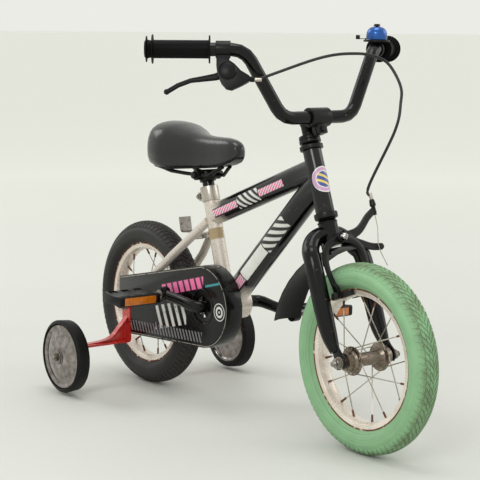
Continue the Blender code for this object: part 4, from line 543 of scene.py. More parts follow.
def trim():
    return bpy.context.scene.bicycle_trim


# Materials
FINISHES = {}


def add(tree, kind, settings=None, links=None):
    """Add a node with its properties, socket values and links."""
    made = tree.nodes.new(kind)
    for key, value in (settings or {}).items():
        if isinstance(key, str) and key in made.bl_rna.properties:
            setattr(made, key, value)
        else:
            made.inputs[key].default_value = value
    for key, source in (links or {}).items():
        tree.links.new(source, made.inputs[key])
    return made


def worn_surface(name, light, dark, metal, rough, grain, bump, coat=0.0, drift=45.0, sheen=0.0,
                 specular=0.5):
    """A finish that drifts between two tones, with grain in its gloss and relief; sizes in millimetres."""
    light, dark = linear(light), linear(dark)
    made = bpy.data.materials.new(name)
    made.use_nodes = True
    tree = made.node_tree
    shader = tree.nodes["Principled BSDF"]
    shader.inputs["Metallic"].default_value = metal
    shader.inputs["Coat Weight"].default_value = coat
    shader.inputs["Coat Roughness"].default_value = 0.08
    shader.inputs["Sheen Weight"].default_value = sheen
    shader.inputs["Specular IOR Level"].default_value = specular
    place = add(tree, "ShaderNodeTexCoord").outputs["Object"]
    broad = add(tree, "ShaderNodeTexNoise", {"Scale": 1000 / drift, "Detail": 4.0}, {"Vector": place})
    fine = add(tree, "ShaderNodeTexNoise", {"Scale": 1000 / grain, "Detail": 3.0}, {"Vector": place})
    share = add(tree, "ShaderNodeMapRange", {"From Min": 0.3, "From Max": 0.7}, {"Value": broad.outputs[0]})
    tone = add(tree, "ShaderNodeMix", {"data_type": "RGBA", 6: (*dark, 1), 7: (*light, 1)},
               {0: share.outputs[0]})
    both = add(tree, "ShaderNodeMath", {"operation": "MULTIPLY"},
               {0: fine.outputs[0], 1: broad.outputs[0]})
    gloss = add(tree, "ShaderNodeMapRange", {"From Min": 0.12, "From Max": 0.42, "To Min": rough[0],
                                             "To Max": rough[1]}, {"Value": both.outputs[0]})
    relief = add(tree, "ShaderNodeBump", {"Strength": bump, "Distance": 0.0004}, {"Height": fine.outputs[0]})
    tree.links.new(tone.outputs[2], shader.inputs["Base Color"])
    tree.links.new(gloss.outputs[0], shader.inputs["Roughness"])
    tree.links.new(relief.outputs[0], shader.inputs["Normal"])
    FINISHES[name] = made
    return made


def overlay(made, mask, colour, rough=None, metal=None):
    """Lay a colour, and its gloss, over a finish where a mask is one."""
    tree = made.node_tree
    shader = tree.nodes["Principled BSDF"]
    below = shader.inputs["Base Color"].links[0].from_socket
    mix = add(tree, "ShaderNodeMix", {"data_type": "RGBA", 7: (*linear(colour), 1)}, {0: mask, 6: below})
    tree.links.new(mix.outputs[2], shader.inputs["Base Color"])
    for key, value in (("Roughness", rough), ("Metallic", metal)):
        if value is None:
            continue
        mix = add(tree, "ShaderNodeMix", {3: value, 2: shader.inputs[key].default_value}, {0: mask})
        if shader.inputs[key].is_linked:
            tree.links.new(shader.inputs[key].links[0].from_socket, mix.inputs[2])
        tree.links.new(mix.outputs[0], shader.inputs[key])


def patches(made, size, share, soft=0.03, stretch=(1, 1, 1)):
    """A mask of irregular patches; size in millimetres, share from 0 to 1 of the surface."""
    tree = made.node_tree
    place = add(tree, "ShaderNodeTexCoord").outputs["Object"]
    place = add(tree, "ShaderNodeMapping", {"Scale": stretch}, {"Vector": place}).outputs[0]
    noise = add(tree, "ShaderNodeTexNoise", {"Scale": 1000 / size, "Detail": 6.0, "Roughness": 0.65},
                {"Vector": place})
    edge = 0.5 + (0.5 - share) * 0.42
    return add(tree, "ShaderNodeMapRange", {"From Min": edge, "From Max": edge + soft},
               {"Value": noise.outputs[0]}).outputs[0]


def axis_value(made, weights, offset=0.0, attribute=None):
    """A weighted sum of the object coordinates, or of the piece's own UV map, as a value."""
    tree = made.node_tree
    place = add(tree, "ShaderNodeTexCoord").outputs["UV" if attribute else "Object"]
    dot = add(tree, "ShaderNodeVectorMath", {"operation": "DOT_PRODUCT", 1: weights}, {0: place})
    return add(tree, "ShaderNodeMath", {"operation": "ADD", 1: offset}, {0: dot.outputs["Value"]}).outputs[0]


def reach_from(made, centre, weights=(1, 0, 1)):
    """The distance from an axis along Y through a centre, or from a point with other weights."""
    tree = made.node_tree
    place = add(tree, "ShaderNodeTexCoord").outputs["Object"]
    gone = add(tree, "ShaderNodeVectorMath", {"operation": "SUBTRACT", 1: tuple(centre)}, {0: place})
    flat = add(tree, "ShaderNodeVectorMath", {"operation": "MULTIPLY", 1: weights}, {0: gone.outputs[0]})
    return add(tree, "ShaderNodeVectorMath", {"operation": "LENGTH"}, {0: flat.outputs[0]}).outputs["Value"]


def above(made, value, edge, soft):
    """A mask that is one where a value passes an edge; a negative softness turns it round."""
    return add(made.node_tree, "ShaderNodeMapRange", {"From Min": edge, "From Max": edge + soft},
               {"Value": value}).outputs[0]


def joint_mask(made, first, second, operation="MULTIPLY"):
    return add(made.node_tree, "ShaderNodeMath", {"operation": operation}, {0: first, 1: second}).outputs[0]


def scaled(made, value, factor, offset=0.0):
    return add(made.node_tree, "ShaderNodeMath", {"operation": "MULTIPLY_ADD", 1: factor, 2: offset},
               {0: value}).outputs[0]


def stripes(made, value, period, share, soft=0.06):
    """A mask of stripes across a value, each a share of the period wide."""
    tree = made.node_tree
    steps = add(tree, "ShaderNodeMath", {"operation": "PINGPONG", 1: 0.5},
                {0: scaled(made, value, 1 / period)}).outputs[0]
    return add(tree, "ShaderNodeMapRange", {"From Min": share / 2 + soft, "From Max": share / 2 - soft},
               {"Value": steps}).outputs[0]


def darker(colour, share):
    return [part * share for part in linear(colour)]


DUST = "#6B5442"
RUST = "#6A3A20"
DARK_RUST = "#3E2416"


def blotched(made, spread, colour, rough, metal=None):
    """Lay a colour over a finish in patches; spread is what patches takes."""
    overlay(made, patches(made, *spread), colour, rough, metal)


def make_metal_finishes():
    # Cold drawn steel under bright chrome: a mirror, dulled in patches by old rust pinholes
    chrome = worn_surface("chrome", "#B7B4B2", "#77736F", 1.0, (0.05, 0.2), 6, 0.05,
                          drift=26)
    blotched(chrome, (9, 0.1), RUST, 0.6, 0.3)
    # The training discs are pressed thin and chromed: their light and dark tones and brown patches are
    # painted reflections of the darker room in soft rings
    disc = worn_surface("disc_chrome", "#A8A2A0", "#6E6660", 1.0, (0.1, 0.2), 5, 0.03,
                        drift=11)
    blotched(disc, (6, 0.06), "#5A463A", 0.5, 0.5)
    # Old chrome of the hubs, gone dull and brown between its bright places
    hub = worn_surface("hub_chrome", "#9A9084", "#5E5348", 1.0, (0.18, 0.42), 4, 0.15)
    blotched(hub, (7, 0.38, 0.1), RUST, 0.65, 0.35)
    # Steel rim sprayed silver: satin, warm where dust has settled, brown at its rolled edges
    rim = worn_surface("rim_steel", "#F0E6DC", "#D6C8BA", 0.4, (0.2, 0.36), 9, 0.04)
    blotched(rim, (14, 0.04, 0.03), DUST, 0.6, 0.2)
    for centre in (REAR_HUB, FRONT_HUB):
        edge = above(rim, reach_from(rim, centre), RIM_RADIUS - 0.0026, 0.0006)
        near = above(rim, reach_from(rim, centre), RIM_RADIUS + 0.02, -0.001)
        rough = joint_mask(rim, joint_mask(rim, edge, near), patches(rim, 8, 0.8, 0.05))
        overlay(rim, rough, RUST, 0.7, 0.2)
    # Zinc plate on small steel parts: grey, slightly milky, with rust where it has been turned
    zinc = worn_surface("zinc", "#A9A59E", "#6F6962", 1.0, (0.28, 0.5), 3, 0.2)
    blotched(zinc, (6, 0.34, 0.08), RUST, 0.7, 0.25)
    # Bare steel nipples, rusted brown all over but for a few bright scraps
    rusty = worn_surface("rusty_steel", "#7A4A2C", "#4A2C1C", 0.35, (0.5, 0.7), 2, 0.3, 0.0, 8)
    blotched(rusty, (3, 0.25, 0.1), "#8D867D", 0.4, 0.9)
    # Drawn steel of spokes and rings: bright, with rust coming up in small spots
    steel = worn_surface("steel", "#CBC4BA", "#9C958B", 1.0, (0.22, 0.4), 4, 0.08)
    blotched(steel, (7, 0.16, 0.06), RUST, 0.65, 0.3)
    # Oiled carbon steel of the chain and cog: nearly black, wet here and dusty there
    dark = worn_surface("dark_steel", "#4A423A", "#221E1A", 0.85, (0.3, 0.55), 3, 0.2)
    blotched(dark, (5, 0.3, 0.08), DARK_RUST, 0.7, 0.3)


def make_paint_finishes():
    pick = colours()
    # Stove enamel on steel tube: a deep wet black with fine dust and chips along it
    enamel = worn_surface("gloss_black", pick.enamel, darker(pick.enamel, 0.6), 0.0, (0.12, 0.28), 5, 0.04,
                          0.15,
                          specular=0.2)
    blotched(enamel, (10, 0.13, 0.05, (1, 1, 1.6)), DUST, 0.6)
    # Thin black lacquer on turned and pressed steel: half dull, brown where it has worn through
    satin = worn_surface("black_steel", "#161514", "#0B0A0A", 0.0, (0.25, 0.48), 4, 0.1, 0.1,
                         specular=0.2)
    blotched(satin, (7, 0.2, 0.06), DARK_RUST, 0.7)
    # Silver lacquer: pale, with a metallic flake that is too fine to see but for its soft gloss
    paint = worn_surface("frame_paint", pick.silver, darker(pick.silver, 0.93), 0.3, (0.22, 0.38), 4,
                         0.04, 0.2,
                         specular=0.35)
    blotched(paint, (5, 0.05, 0.02, (0.35, 1, 1)), "#3A3632", 0.5, 0.3)
    blotched(paint, (16, 0.04, 0.05), RUST, 0.6, 0.1)
    lean = axis_value(paint, (1.0, 0.0, 0.54))
    wave = scaled(paint, add(paint.node_tree, "ShaderNodeTexNoise", {"Scale": 60.0},
                             {"Vector": add(paint.node_tree, "ShaderNodeTexCoord").outputs["Object"]}
                             ).outputs[0], 0.02, -0.01)
    front = above(paint, joint_mask(paint, lean, wave, "ADD"), 0.105, 0.034)
    overlay(paint, front, darker(pick.enamel, 0.7), 0.14, 0.0)
    chips = joint_mask(paint, front, patches(paint, 6, 0.09, 0.02))
    overlay(paint, chips, DUST, 0.5, 0.1)
    # Thick dipped red paint on pressed steel, chipped to dark metal along its edges
    red = worn_surface("red_paint", pick.bracket_red, darker(pick.bracket_red, 0.72), 0.0, (0.18, 0.36), 5,
                       0.1, 0.5)
    blotched(red, (9, 0.2, 0.02), "#3B2A25", 0.55, 0.5)
    # Anodised aluminium dome: a coloured metal with a soft turned sheen
    bell = worn_surface("bell_blue", pick.bell_blue, darker(pick.bell_blue, 0.6), 0.85, (0.16, 0.3), 3,
                        0.05,
                        0.4)
    blotched(bell, (5, 0.06, 0.02), "#20242E", 0.5, 0.2)


def make_rubber_finishes():
    pick = colours()
    # Natural rubber tyres: matt, dusty in the tread, ribbed and scuffed on their sides
    for name, centre, side, tread, dirt in (
            ("tyre_front", FRONT_HUB, pick.front_rubber, pick.front_tread, "#5A5340"),
            ("tyre_rear", REAR_HUB, pick.rear_rubber, "#2A241F", "#4A3C30")):
        tyre = worn_surface(name, side, darker(side, 0.86), 0.0, (0.48, 0.66), 2.0, 0.22, 0.0, 30)
        reach = reach_from(tyre, centre)
        crown = above(tyre, reach, TYRE_RADIUS - 0.0105, 0.006)
        overlay(tyre, joint_mask(tyre, crown, patches(tyre, 26, 0.98, 0.6)), tread, 0.75)
        # The floors of the grooves between the tread blocks are laid darker, in broken patches
        grooves = above(tyre, reach, TYRE_RADIUS - 0.0013, -0.001)
        dark_groove_floors = joint_mask(tyre, joint_mask(tyre, grooves, crown), patches(tyre, 8, 0.7, 0.2))
        overlay(tyre, joint_mask(tyre, dark_groove_floors, patches(tyre, 3, 0.7, 0.3)), darker(dirt, 0.8), 0.8)
        blotched(tyre, (9, 0.07, 0.05), dirt, 0.75)
        flank = joint_mask(tyre, above(tyre, reach, RIM_RADIUS + 0.0035, 0.0005),
                           above(tyre, reach, RIM_RADIUS + 0.02, -0.0005))
        # Thin rings of a darker copy of the side rubber on the flank: painted shade between the moulded ribs
        rib_shade = stripes(tyre, reach, 0.0042, 0.12, 0.05)
        overlay(tyre, joint_mask(tyre, flank, rib_shade), darker(side, 0.62), 0.7)
    # Butyl rubber of the small tyres, scuffed grey on the part that rolls
    small = worn_surface("training_rubber", "#121110", "#0B0B0A", 0.0, (0.42, 0.62), 2, 0.2, specular=0.2)
    blotched(small, (8, 0.22, 0.1), "#4B443C", 0.75)
    # Hard moulded rubber of the brake blocks: dead matt, grey with dust
    block = worn_surface("brake_rubber", "#1B1A19", "#0F0F0E", 0.0, (0.55, 0.75), 1.5, 0.3)
    blotched(block, (5, 0.25, 0.1), DUST, 0.8)
    # Soft vinyl of the grips: dull black, greyer where hands rub it
    grip = worn_surface("grip_rubber", "#0E0E0F", "#080809", 0.0, (0.42, 0.58), 1.5, 0.25,
                        specular=0.08)
    blotched(grip, (7, 0.06, 0.08), "#2A2825", 0.7)


def make_plastic_finishes():
    pick = colours()
    # Moulded polypropylene: satin black with the faint orange peel of its mould
    plastic = worn_surface("black_plastic", "#131314", "#0B0B0C", 0.0, (0.26, 0.44), 1.8, 0.12,
                           specular=0.2)
    blotched(plastic, (8, 0.12, 0.06), "#4A4038", 0.65)
    # Extruded vinyl casing of the cable: smooth and even, a little dusty
    casing = worn_surface("casing_black", "#141415", "#0C0C0D", 0.0, (0.3, 0.45), 2, 0.1)
    blotched(casing, (6, 0.1, 0.05), "#3F3A34", 0.6)
    # Cast acrylic lens over a prism back: bright amber that glows a little where light gets in
    lens = worn_surface("amber", pick.lens, darker(pick.lens, 0.55), 0.0, (0.12, 0.25), 3, 0.05, 0.5, 8)
    prism = stripes(lens, axis_value(lens, (0.0, 1.0, 0.0)), 0.003, 0.35)
    overlay(lens, prism, darker(pick.lens, 0.5), 0.3)
    # Leather-look vinyl over foam: black with a wrinkle grain a millimetre or two across
    vinyl = worn_surface("saddle_vinyl", "#0F0F10", "#090909", 0.0, (0.2, 0.34), 2.2, 0.14,
                         0.25, 60, specular=0.5)
    blotched(vinyl, (10, 0.07, 0.06), "#4A3C33", 0.6)
    tree = vinyl.node_tree
    shader = tree.nodes["Principled BSDF"]
    place = add(tree, "ShaderNodeTexCoord").outputs["Object"]
    cells = add(tree, "ShaderNodeTexVoronoi", {"feature": "DISTANCE_TO_EDGE", "Scale": 1000 / 1.9},
                {"Vector": place})
    grain = add(tree, "ShaderNodeMapRange", {"From Max": 0.12}, {"Value": cells.outputs["Distance"]})
    relief = add(tree, "ShaderNodeBump", {"Strength": 0.12, "Distance": 0.0002},
                 {"Height": grain.outputs[0], "Normal": shader.inputs["Normal"].links[0].from_socket})
    tree.links.new(relief.outputs[0], shader.inputs["Normal"])
    make_guard_finish(pick)


def make_guard_finish(pick):
    """Gloss black moulding with a generic print of a pink band, bars, rings and stripes."""
    guard = worn_surface("guard_plastic", "#0F0F10", "#09090A", 0.0, (0.16, 0.32), 4, 0.06, 0.15,
                         specular=0.2)
    x = axis_value(guard, (1.0, 0.0, 0.0), -BB.x)
    face = above(guard, axis_value(guard, (0.0, -1.0, 0.0)), GUARD_FACE - 0.0006, 0.0002)
    worn = scaled(guard, patches(guard, 7, 0.16, 0.03), -1.0, 1.0)
    shown = joint_mask(guard, face, worn)
    white = darker(pick.print_white, 0.85)

    def window(value, low, high, soft=0.0008):
        return joint_mask(guard, above(guard, value, low, soft), above(guard, value, high, -soft))

    def laid(mask, colour):
        overlay(guard, joint_mask(guard, shown, mask), colour, 0.3)

    # The upper edge of the guard falls towards the axle, so the bands on top follow that slope
    drop = axis_value(guard, (-0.255, 0.0, 1.0), 0.255 * BB.x - BB.z)
    slant = axis_value(guard, (1.0, 0.0, 0.45))
    high = joint_mask(guard, window(drop, 0.034, 0.056), window(x, -0.13, 0.002))
    laid(high, pick.print_pink)
    laid(joint_mask(guard, high, stripes(guard, slant, 0.02, 0.3)), "#1C1216")
    laid(joint_mask(guard, window(drop, 0.034, 0.039), window(x, 0.008, 0.05)), "#3C8C92")
    # Broad white bars behind the crank
    block = joint_mask(guard, window(x, -0.15, -0.05), window(drop, -0.028, 0.018))
    laid(joint_mask(guard, block, stripes(guard, slant, 0.022, 0.45)), white)
    # Plain rings inside each other in front of it
    reach = reach_from(guard, BB + Vector((0.051, 0, -0.002)))
    laid(joint_mask(guard, above(guard, reach, 0.0165, -0.0008), stripes(guard, reach, 0.0082, 0.5)), white)
    # Grey stripes along the lower edge, which rises towards the axle
    way = atan2(BB.z - AXLE_Z, BB.x - REAR_X)
    lean = pi - acos((GUARD_FRONT_RADIUS - GUARD_REAR_RADIUS) / CHAIN_STAY)
    under = (cos(way - lean), 0.0, sin(way - lean))
    depth = axis_value(guard, under, -Vector(under).dot(BB))
    band = joint_mask(guard, window(depth, GUARD_FRONT_RADIUS - 0.028, GUARD_FRONT_RADIUS - 0.008),
                      above(guard, x, 0.0, -0.002))
    laid(joint_mask(guard, band, stripes(guard, slant, 0.01, 0.46)), "#77777A")
    # A pale line just inside the edge, where the gloss has rubbed off: straight runs and the round
    line = above(guard, reach_from(guard, BB), GUARD_FRONT_RADIUS - 0.0036, 0.0004)
    line = joint_mask(guard, line, above(guard, reach_from(guard, BB), GUARD_FRONT_RADIUS - 0.0022, -0.0004))
    line = joint_mask(guard, line, above(guard, x, -0.004, 0.003))
    for turn in (way - lean, way + lean):
        weights = (cos(turn), 0.0, sin(turn))
        far = axis_value(guard, weights, -Vector(weights).dot(BB))
        run = window(far, GUARD_FRONT_RADIUS - 0.0036, GUARD_FRONT_RADIUS - 0.0022, 0.0004)
        run = joint_mask(guard, run, above(guard, x, 0.0, -0.003))
        line = joint_mask(guard, line, run, "MAXIMUM")
    overlay(guard, joint_mask(guard, face, joint_mask(guard, line, patches(guard, 11, 0.75, 0.06))),
            "#A9A296", 0.5)


def make_print_finishes():
    """Printed vinyl films: a gloss face with generic bars, stripes and wear where it has lifted."""
    pick = colours()
    # White vinyl with slanting black bars
    barred = worn_surface("barred_film", pick.print_white, darker(pick.print_white, 0.9), 0.0,
                           (0.22, 0.4),
                           3, 0.05, 0.2)
    lean = axis_value(barred, (1.0, -0.4, 0.0), 0.0, "UV")
    overlay(barred, stripes(barred, lean, 0.25, 0.5), "#121212", 0.3)
    # Pink vinyl with slanting white bars between two dark edges
    pink = worn_surface("pink_film", pick.print_pink, darker(pick.print_pink, 0.9), 0.0, (0.25, 0.4), 3,
                        0.05,
                        0.2)
    lean = axis_value(pink, (1.0, 0.35, 0.0), 0.0, "UV")
    up = axis_value(pink, (0.0, 1.0, 0.0), 0.0, "UV")
    overlay(pink, stripes(pink, lean, 0.125, 0.42), pick.print_white, 0.3)
    overlay(pink, above(pink, up, 0.84, 0.03), "#181416", 0.3)
    overlay(pink, above(pink, up, 0.14, -0.03), "#181416", 0.3)
    blotched(pink, (7, 0.14, 0.03), "#17171A", 0.3)
    # Coated paper: a pale even face, scuffed grey
    label = worn_surface("paper_label", "#ECECE8", "#D5D4CF", 0.0, (0.4, 0.6), 4, 0.08)
    blotched(label, (8, 0.12, 0.05), "#8C857A", 0.7)
    # A round paper badge under gloss: a pastel ring round a blue field with yellow bands
    badge = worn_surface("round_badge", "#E9E7E6", "#D7D4D6", 0.0, (0.2, 0.35), 3, 0.05, 0.3)
    centre = head_badge_centre()
    reach = reach_from(badge, centre, (1, 1, 1))
    ring = joint_mask(badge, above(badge, reach, 0.015, 0.0006), above(badge, reach, 0.0208, -0.0006))
    overlay(badge, ring, "#C79BC0", 0.3)
    inner = above(badge, reach, 0.0142, -0.0006)
    overlay(badge, inner, "#39549A", 0.3)
    band = stripes(badge, axis_value(badge, tuple(HEAD_WAY + AXIS_Y * 0.5)), 0.011, 0.4)
    overlay(badge, joint_mask(badge, inner, band), "#E5CB63", 0.3)
    # Paper tape gone tan, its dull face darker with dirt
    tape = worn_surface("tan_tape", "#B59F7C", "#98835F", 0.0, (0.35, 0.55), 3, 0.08)
    blotched(tape, (6, 0.2, 0.05), "#6E5C42", 0.6)
    # Plain light surroundings; the far floor is painted paler, as painted light where the softboxes don't
    # reach
    floor = worn_surface("studio_floor", "#D3D4CF", "#CFD0CB", 0.0, (0.55, 0.7), 30, 0.02, 0.0, 900)
    overlay(floor, above(floor, reach_from(floor, (0, 0, 0), (1, 1, 1)), 0.9, 3.5), "#F6F7F1")


def head_badge_centre():
    return steer(HEAD_LOW + HEAD_TUBE_LENGTH * 0.5) + HEAD_FORE * HEAD_TUBE_RADIUS


# Finished pieces
def dressed(obj, nodes, body):
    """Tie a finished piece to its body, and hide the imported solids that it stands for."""
    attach(obj, body or BODY_OF[nodes[0]])
    if nodes:
        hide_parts(*nodes)


def piece(name, shape, finish, nodes=(), body=None, sharp=35.0):
    """Keep a shape, drawn in world places, as a visible piece."""
    mesh = mesh_from(shape) if isinstance(shape, bmesh.types.BMesh) else shape
    mesh.name = name
    mesh.materials.clear()
    mesh.materials.append(FINISHES[finish])
    obj = bpy.data.objects.new(name, mesh)
    bpy.context.scene.collection.objects.link(obj)
    mesh.shade_smooth()
    mesh.set_sharp_from_angle(angle=radians(sharp))
    dressed(obj, list(nodes), body)
    return obj


def keep(name, shape, finish, sharp=35.0):
    """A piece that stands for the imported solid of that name."""
    return piece("shown_" + name, shape, finish, [name], sharp=sharp)


# Frame and what is fixed to it
BRIDGE_AHEAD = 0.1666
STAY_CLIP_X = 0.115
CHAIN_STAY_ROUTE = [(BB.x - REAR_X - 0.0256, 0.023), (0.19, 0.03), (0.165, 0.037), (0.13, 0.045),
                    (0.1, 0.045), (0.06, 0.05), (0.0337, 0.0521)]
CHAIN_STAY_SIZES = [(0.0065, 0.0085), (0.0065, 0.0085), (0.0075, 0.008), (STAY_RADIUS, STAY_RADIUS),
                    (STAY_RADIUS, STAY_RADIUS), (0.0055, 0.0085), (0.004, 0.0085)]
STAY_TOP = SEAT_TOP - SEAT_WAY * STAY_BELOW
SEAT_STAY_ROUTE = [(STAY_TOP.x - REAR_X - 0.0047, 0.011), (0.12, 0.0365), (0.1, 0.039),
                   (0.086, 0.044),
                   (0.069, 0.0521), (0.0255, 0.0521)]
SEAT_STAY_SIZES = [(STAY_RADIUS, STAY_RADIUS), (STAY_RADIUS, STAY_RADIUS), (STAY_RADIUS, STAY_RADIUS),
                   (0.0072, 0.0078), (0.0041, 0.0072), (0.0038, 0.0065)]


def stay_path(route, top, foot):
    """Heights along a stay are read off a straight line from its top to its foot."""
    rise = (top.z - foot.z) / (top.x - foot.x)
    return [Vector((REAR_X + x, y, foot.z + (REAR_X + x - foot.x) * rise)) for x, y in route]


def chain_stay():
    return stay_path(CHAIN_STAY_ROUTE, BB, behind(CHAIN_STAY_ROUTE[-1][0], 0, AXLE_Z + 0.0045))


SEAT_STAY_ENDS = (STAY_TOP, behind(SEAT_STAY_ROUTE[-1][0], 0, AXLE_Z + 0.0215))
BRIDGE = stay_path([(BRIDGE_AHEAD, 0)], *SEAT_STAY_ENDS)[0]


def seat_stay():
    return stay_path(SEAT_STAY_ROUTE, *SEAT_STAY_ENDS)


def main_tube(start, end, radius, first, last):
    """A tube squeezed at each end to the width of the tube that it meets."""
    way = (end - start).normalized()
    path = [start, start + way * 0.045, end - way * 0.05, end]
    return sweep(path, [(first, radius), (radius, radius), (radius, radius), (last, radius)], AXIS_Y)


def build_frame():
    """Main tubes, stays, bridge and dropouts, welded into one body."""
    narrow_seat = SEAT_TUBE_RADIUS - 0.0006
    narrow_head = HEAD_TUBE_RADIUS - 0.0006
    parts = [drum(BB, BB_SHELL_RADIUS, -BB_SHELL_HALF, BB_SHELL_HALF)]
    parts.append(rod(BB, SEAT_TOP, SEAT_TUBE_RADIUS))
    parts.append(rod(steer(HEAD_LOW), steer(HEAD_HIGH), HEAD_TUBE_RADIUS))
    top_start = SEAT_TOP - SEAT_WAY * TOP_TUBE_BELOW
    parts.append(main_tube(top_start, steer(HEAD_HIGH - 0.0328), TOP_TUBE_RADIUS, narrow_seat, narrow_head))
    parts.append(main_tube(BB, steer(HEAD_HIGH - 0.056), DOWN_TUBE_RADIUS, DOWN_TUBE_RADIUS, narrow_head))
    parts.append(rod(BRIDGE - AXIS_Y * 0.02, BRIDGE + AXIS_Y * 0.02, 0.006))
    plate = [(-0.02, -0.013), (0.006, -0.0155), (0.02, -0.0065), (0.045, -0.0055), (0.051, 0.004),
             (0.047, 0.0135), (0.034, 0.0165), (0.037, 0.028), (0.031, 0.034), (0.023, 0.03),
             (0.012, 0.0165), (-0.02, 0.013)]
    slot_radius = REAR_AXLE_RADIUS + SEAT_GAP
    slot = arc((0, 0), slot_radius, -90, 90) + [(-0.04, slot_radius), (-0.04, -slot_radius)]
    cuts = [drum(BB, BB_BORE, -0.05, 0.05)]
    cuts.append(rod(BRIDGE - Vector((0.02, 0, 0)), BRIDGE + Vector((0.02, 0, 0)), 0.0028))
    turned_side = Matrix.Rotation(pi / 16, 3, HEAD_WAY) @ AXIS_Y
    cuts.append(turned([(HEAD_TUBE_BORE, HEAD_LOW - 0.02), (HEAD_TUBE_BORE, HEAD_HIGH + 0.02)],
                       frame_at(STEER_FOOT, turned_side, HEAD_WAY)))
    bore_foot = SEAT_TOP - SEAT_WAY * (POST_INSERT + 0.025)
    cuts.append(rod(bore_foot, SEAT_TOP + SEAT_WAY * 0.02, POST_RADIUS + SEAT_GAP))
    slit = frame_at(SEAT_TOP - SEAT_WAY * 0.026, (-1, 0, 0), SEAT_WAY)
    cuts.append(slab([(0.006, -0.0012), (0.03, -0.0012), (0.03, 0.0012), (0.006, 0.0012)], 0, 0.05, slit))
    for side in (1, -1):
        parts.append(on_side(sweep(chain_stay(), CHAIN_STAY_SIZES, AXIS_Y), side))
        parts.append(on_side(sweep(seat_stay(), SEAT_STAY_SIZES, AXIS_Y), side))
        outer = REAR_HALF_GAP + DROPOUT_THICK
        parts.append(on_side(side_slab(plate, REAR_HALF_GAP, outer, REAR_HUB), side))
        cuts.append(on_side(side_slab(slot, 0.03, 0.08, REAR_HUB), side))
    keep("frame", fused(parts, cuts), "frame_paint", sharp=40)


def build_headset():
    skirt = HEAD_TUBE_BORE - SEAT_GAP
    bore = STEERER_RADIUS + RUN_GAP
    lower = [(bore, -0.009), (skirt, -0.009), (skirt, 0), (CUP_RADIUS, 0.0002), (CUP_RADIUS, 0.009),
             (bore, CUP_HEIGHT)]
    place = frame_at(steer(HEAD_LOW - SEAT_GAP), AXIS_Y, -HEAD_WAY)
    keep("headset_lower_cup", turned(lower, place, closed=True), "black_steel")
    place = frame_at(steer(HEAD_HIGH + SEAT_GAP), AXIS_Y, HEAD_WAY)
    upper = [(r, h if h < 0.009 else h - 0.002) for r, h in lower]
    keep("headset_upper_cup", turned(upper, place, closed=True), "black_steel")


def build_bottom_bracket():
    """Pressed cups with a cone nut's face; the spindle runs through them."""
    bore = SPINDLE_RADIUS + RUN_GAP
    skirt = BB_BORE - SEAT_GAP
    end = BB_SHELL_HALF
    profile = [(bore, end - 0.012), (skirt, end - 0.012), (skirt, end + SEAT_GAP),
               (BB_SHELL_RADIUS - 0.001, end + SEAT_GAP), (0.023, end + 0.0028), (bore, end + 0.0028)]
    for side, name in SIDES:
        keep("bottom_bracket_cup_" + name, on_side(across_y(profile, BB, closed=True), side), "chrome")


def build_seat_clamp():
    """A split collar round the top of the seat tube, with ears behind it and a bolt through them."""
    inner = SEAT_TUBE_RADIUS + SEAT_GAP
    low, high = -0.026, 0.001
    place = frame_at(SEAT_TOP, (-1, 0, 0), SEAT_WAY)
    lip = sleeve(inner + 0.0026, inner, low, high)
    ears = [(inner + 0.0006, -0.0075), (0.027, -0.0075), (0.027, 0.0075), (inner + 0.0006, 0.0075)]
    cuts = [slab([(0.008, -0.0013), (0.04, -0.0013), (0.04, 0.0013), (0.008, 0.0013)], low - 0.01, 0.02,
                 place)]
    bolt_at = place @ Vector((0.0215, 0, -0.013))
    cuts.append(rod(bolt_at - AXIS_Y * 0.03, bolt_at + AXIS_Y * 0.03, 0.003 + SEAT_GAP))
    ring = fused([turned(lip, place, closed=True), slab(ears, -0.021, -0.005, place)], cuts)
    keep("seat_clamp", ring, "steel")
    head = [(0.005, -0.0125), (0.0055, -0.0078), (0.003, -0.0078), (0.003, 0.0078), (0.0054, 0.0078),
            (0.0054, 0.012), (0.003, 0.012), (0.003, 0.015)]
    keep("seat_clamp_bolt", turned(head, frame_at(bolt_at, (1, 0, 0), -AXIS_Y)), "zinc")


def build_rear_axle():
    """Axle with its cones and outer nuts in one piece, as it is when tightened up."""
    gap, bracket = REAR_HALF_GAP, REAR_HALF_GAP + DROPOUT_THICK + SEAT_GAP + BRACKET_THICK
    nut = bracket + SEAT_GAP
    r = REAR_AXLE_RADIUS
    half = [(r, 0.0471), (0.0105, gap - SEAT_GAP), (r, gap - SEAT_GAP), (r, nut + 0.004)]
    shapes = [across_y([(radius, -y) for radius, y in reversed(half)] + half, REAR_HUB)]
    for side in (1, -1):
        place = frame_at(REAR_HUB, (1, 0, 0), AXIS_Y * side)
        shapes.append(washer(place, 0.0102, r, nut, nut + 0.0016))
        shapes.append(hex_nut(place, 0.016, nut + 0.0018, nut + 0.0095))
        shapes.append(thread(place, r, nut + 0.009, nut + 0.0132))
    keep("rear_axle", gathered(shapes), "zinc")


def stay_clip(at_x, half_width):
    """A band round the left chain stay where it is straight and round."""
    path = chain_stay()
    start, end = path[4], path[3]
    way = (end - start).normalized()
    centre = start + way * ((REAR_X + at_x - start.x) / way.x)
    bore = STAY_RADIUS + SEAT_GAP
    profile = sleeve(bore + 0.0015, bore, -half_width, half_width)
    return turned(profile, frame_at(centre, AXIS_Y, way), closed=True), centre


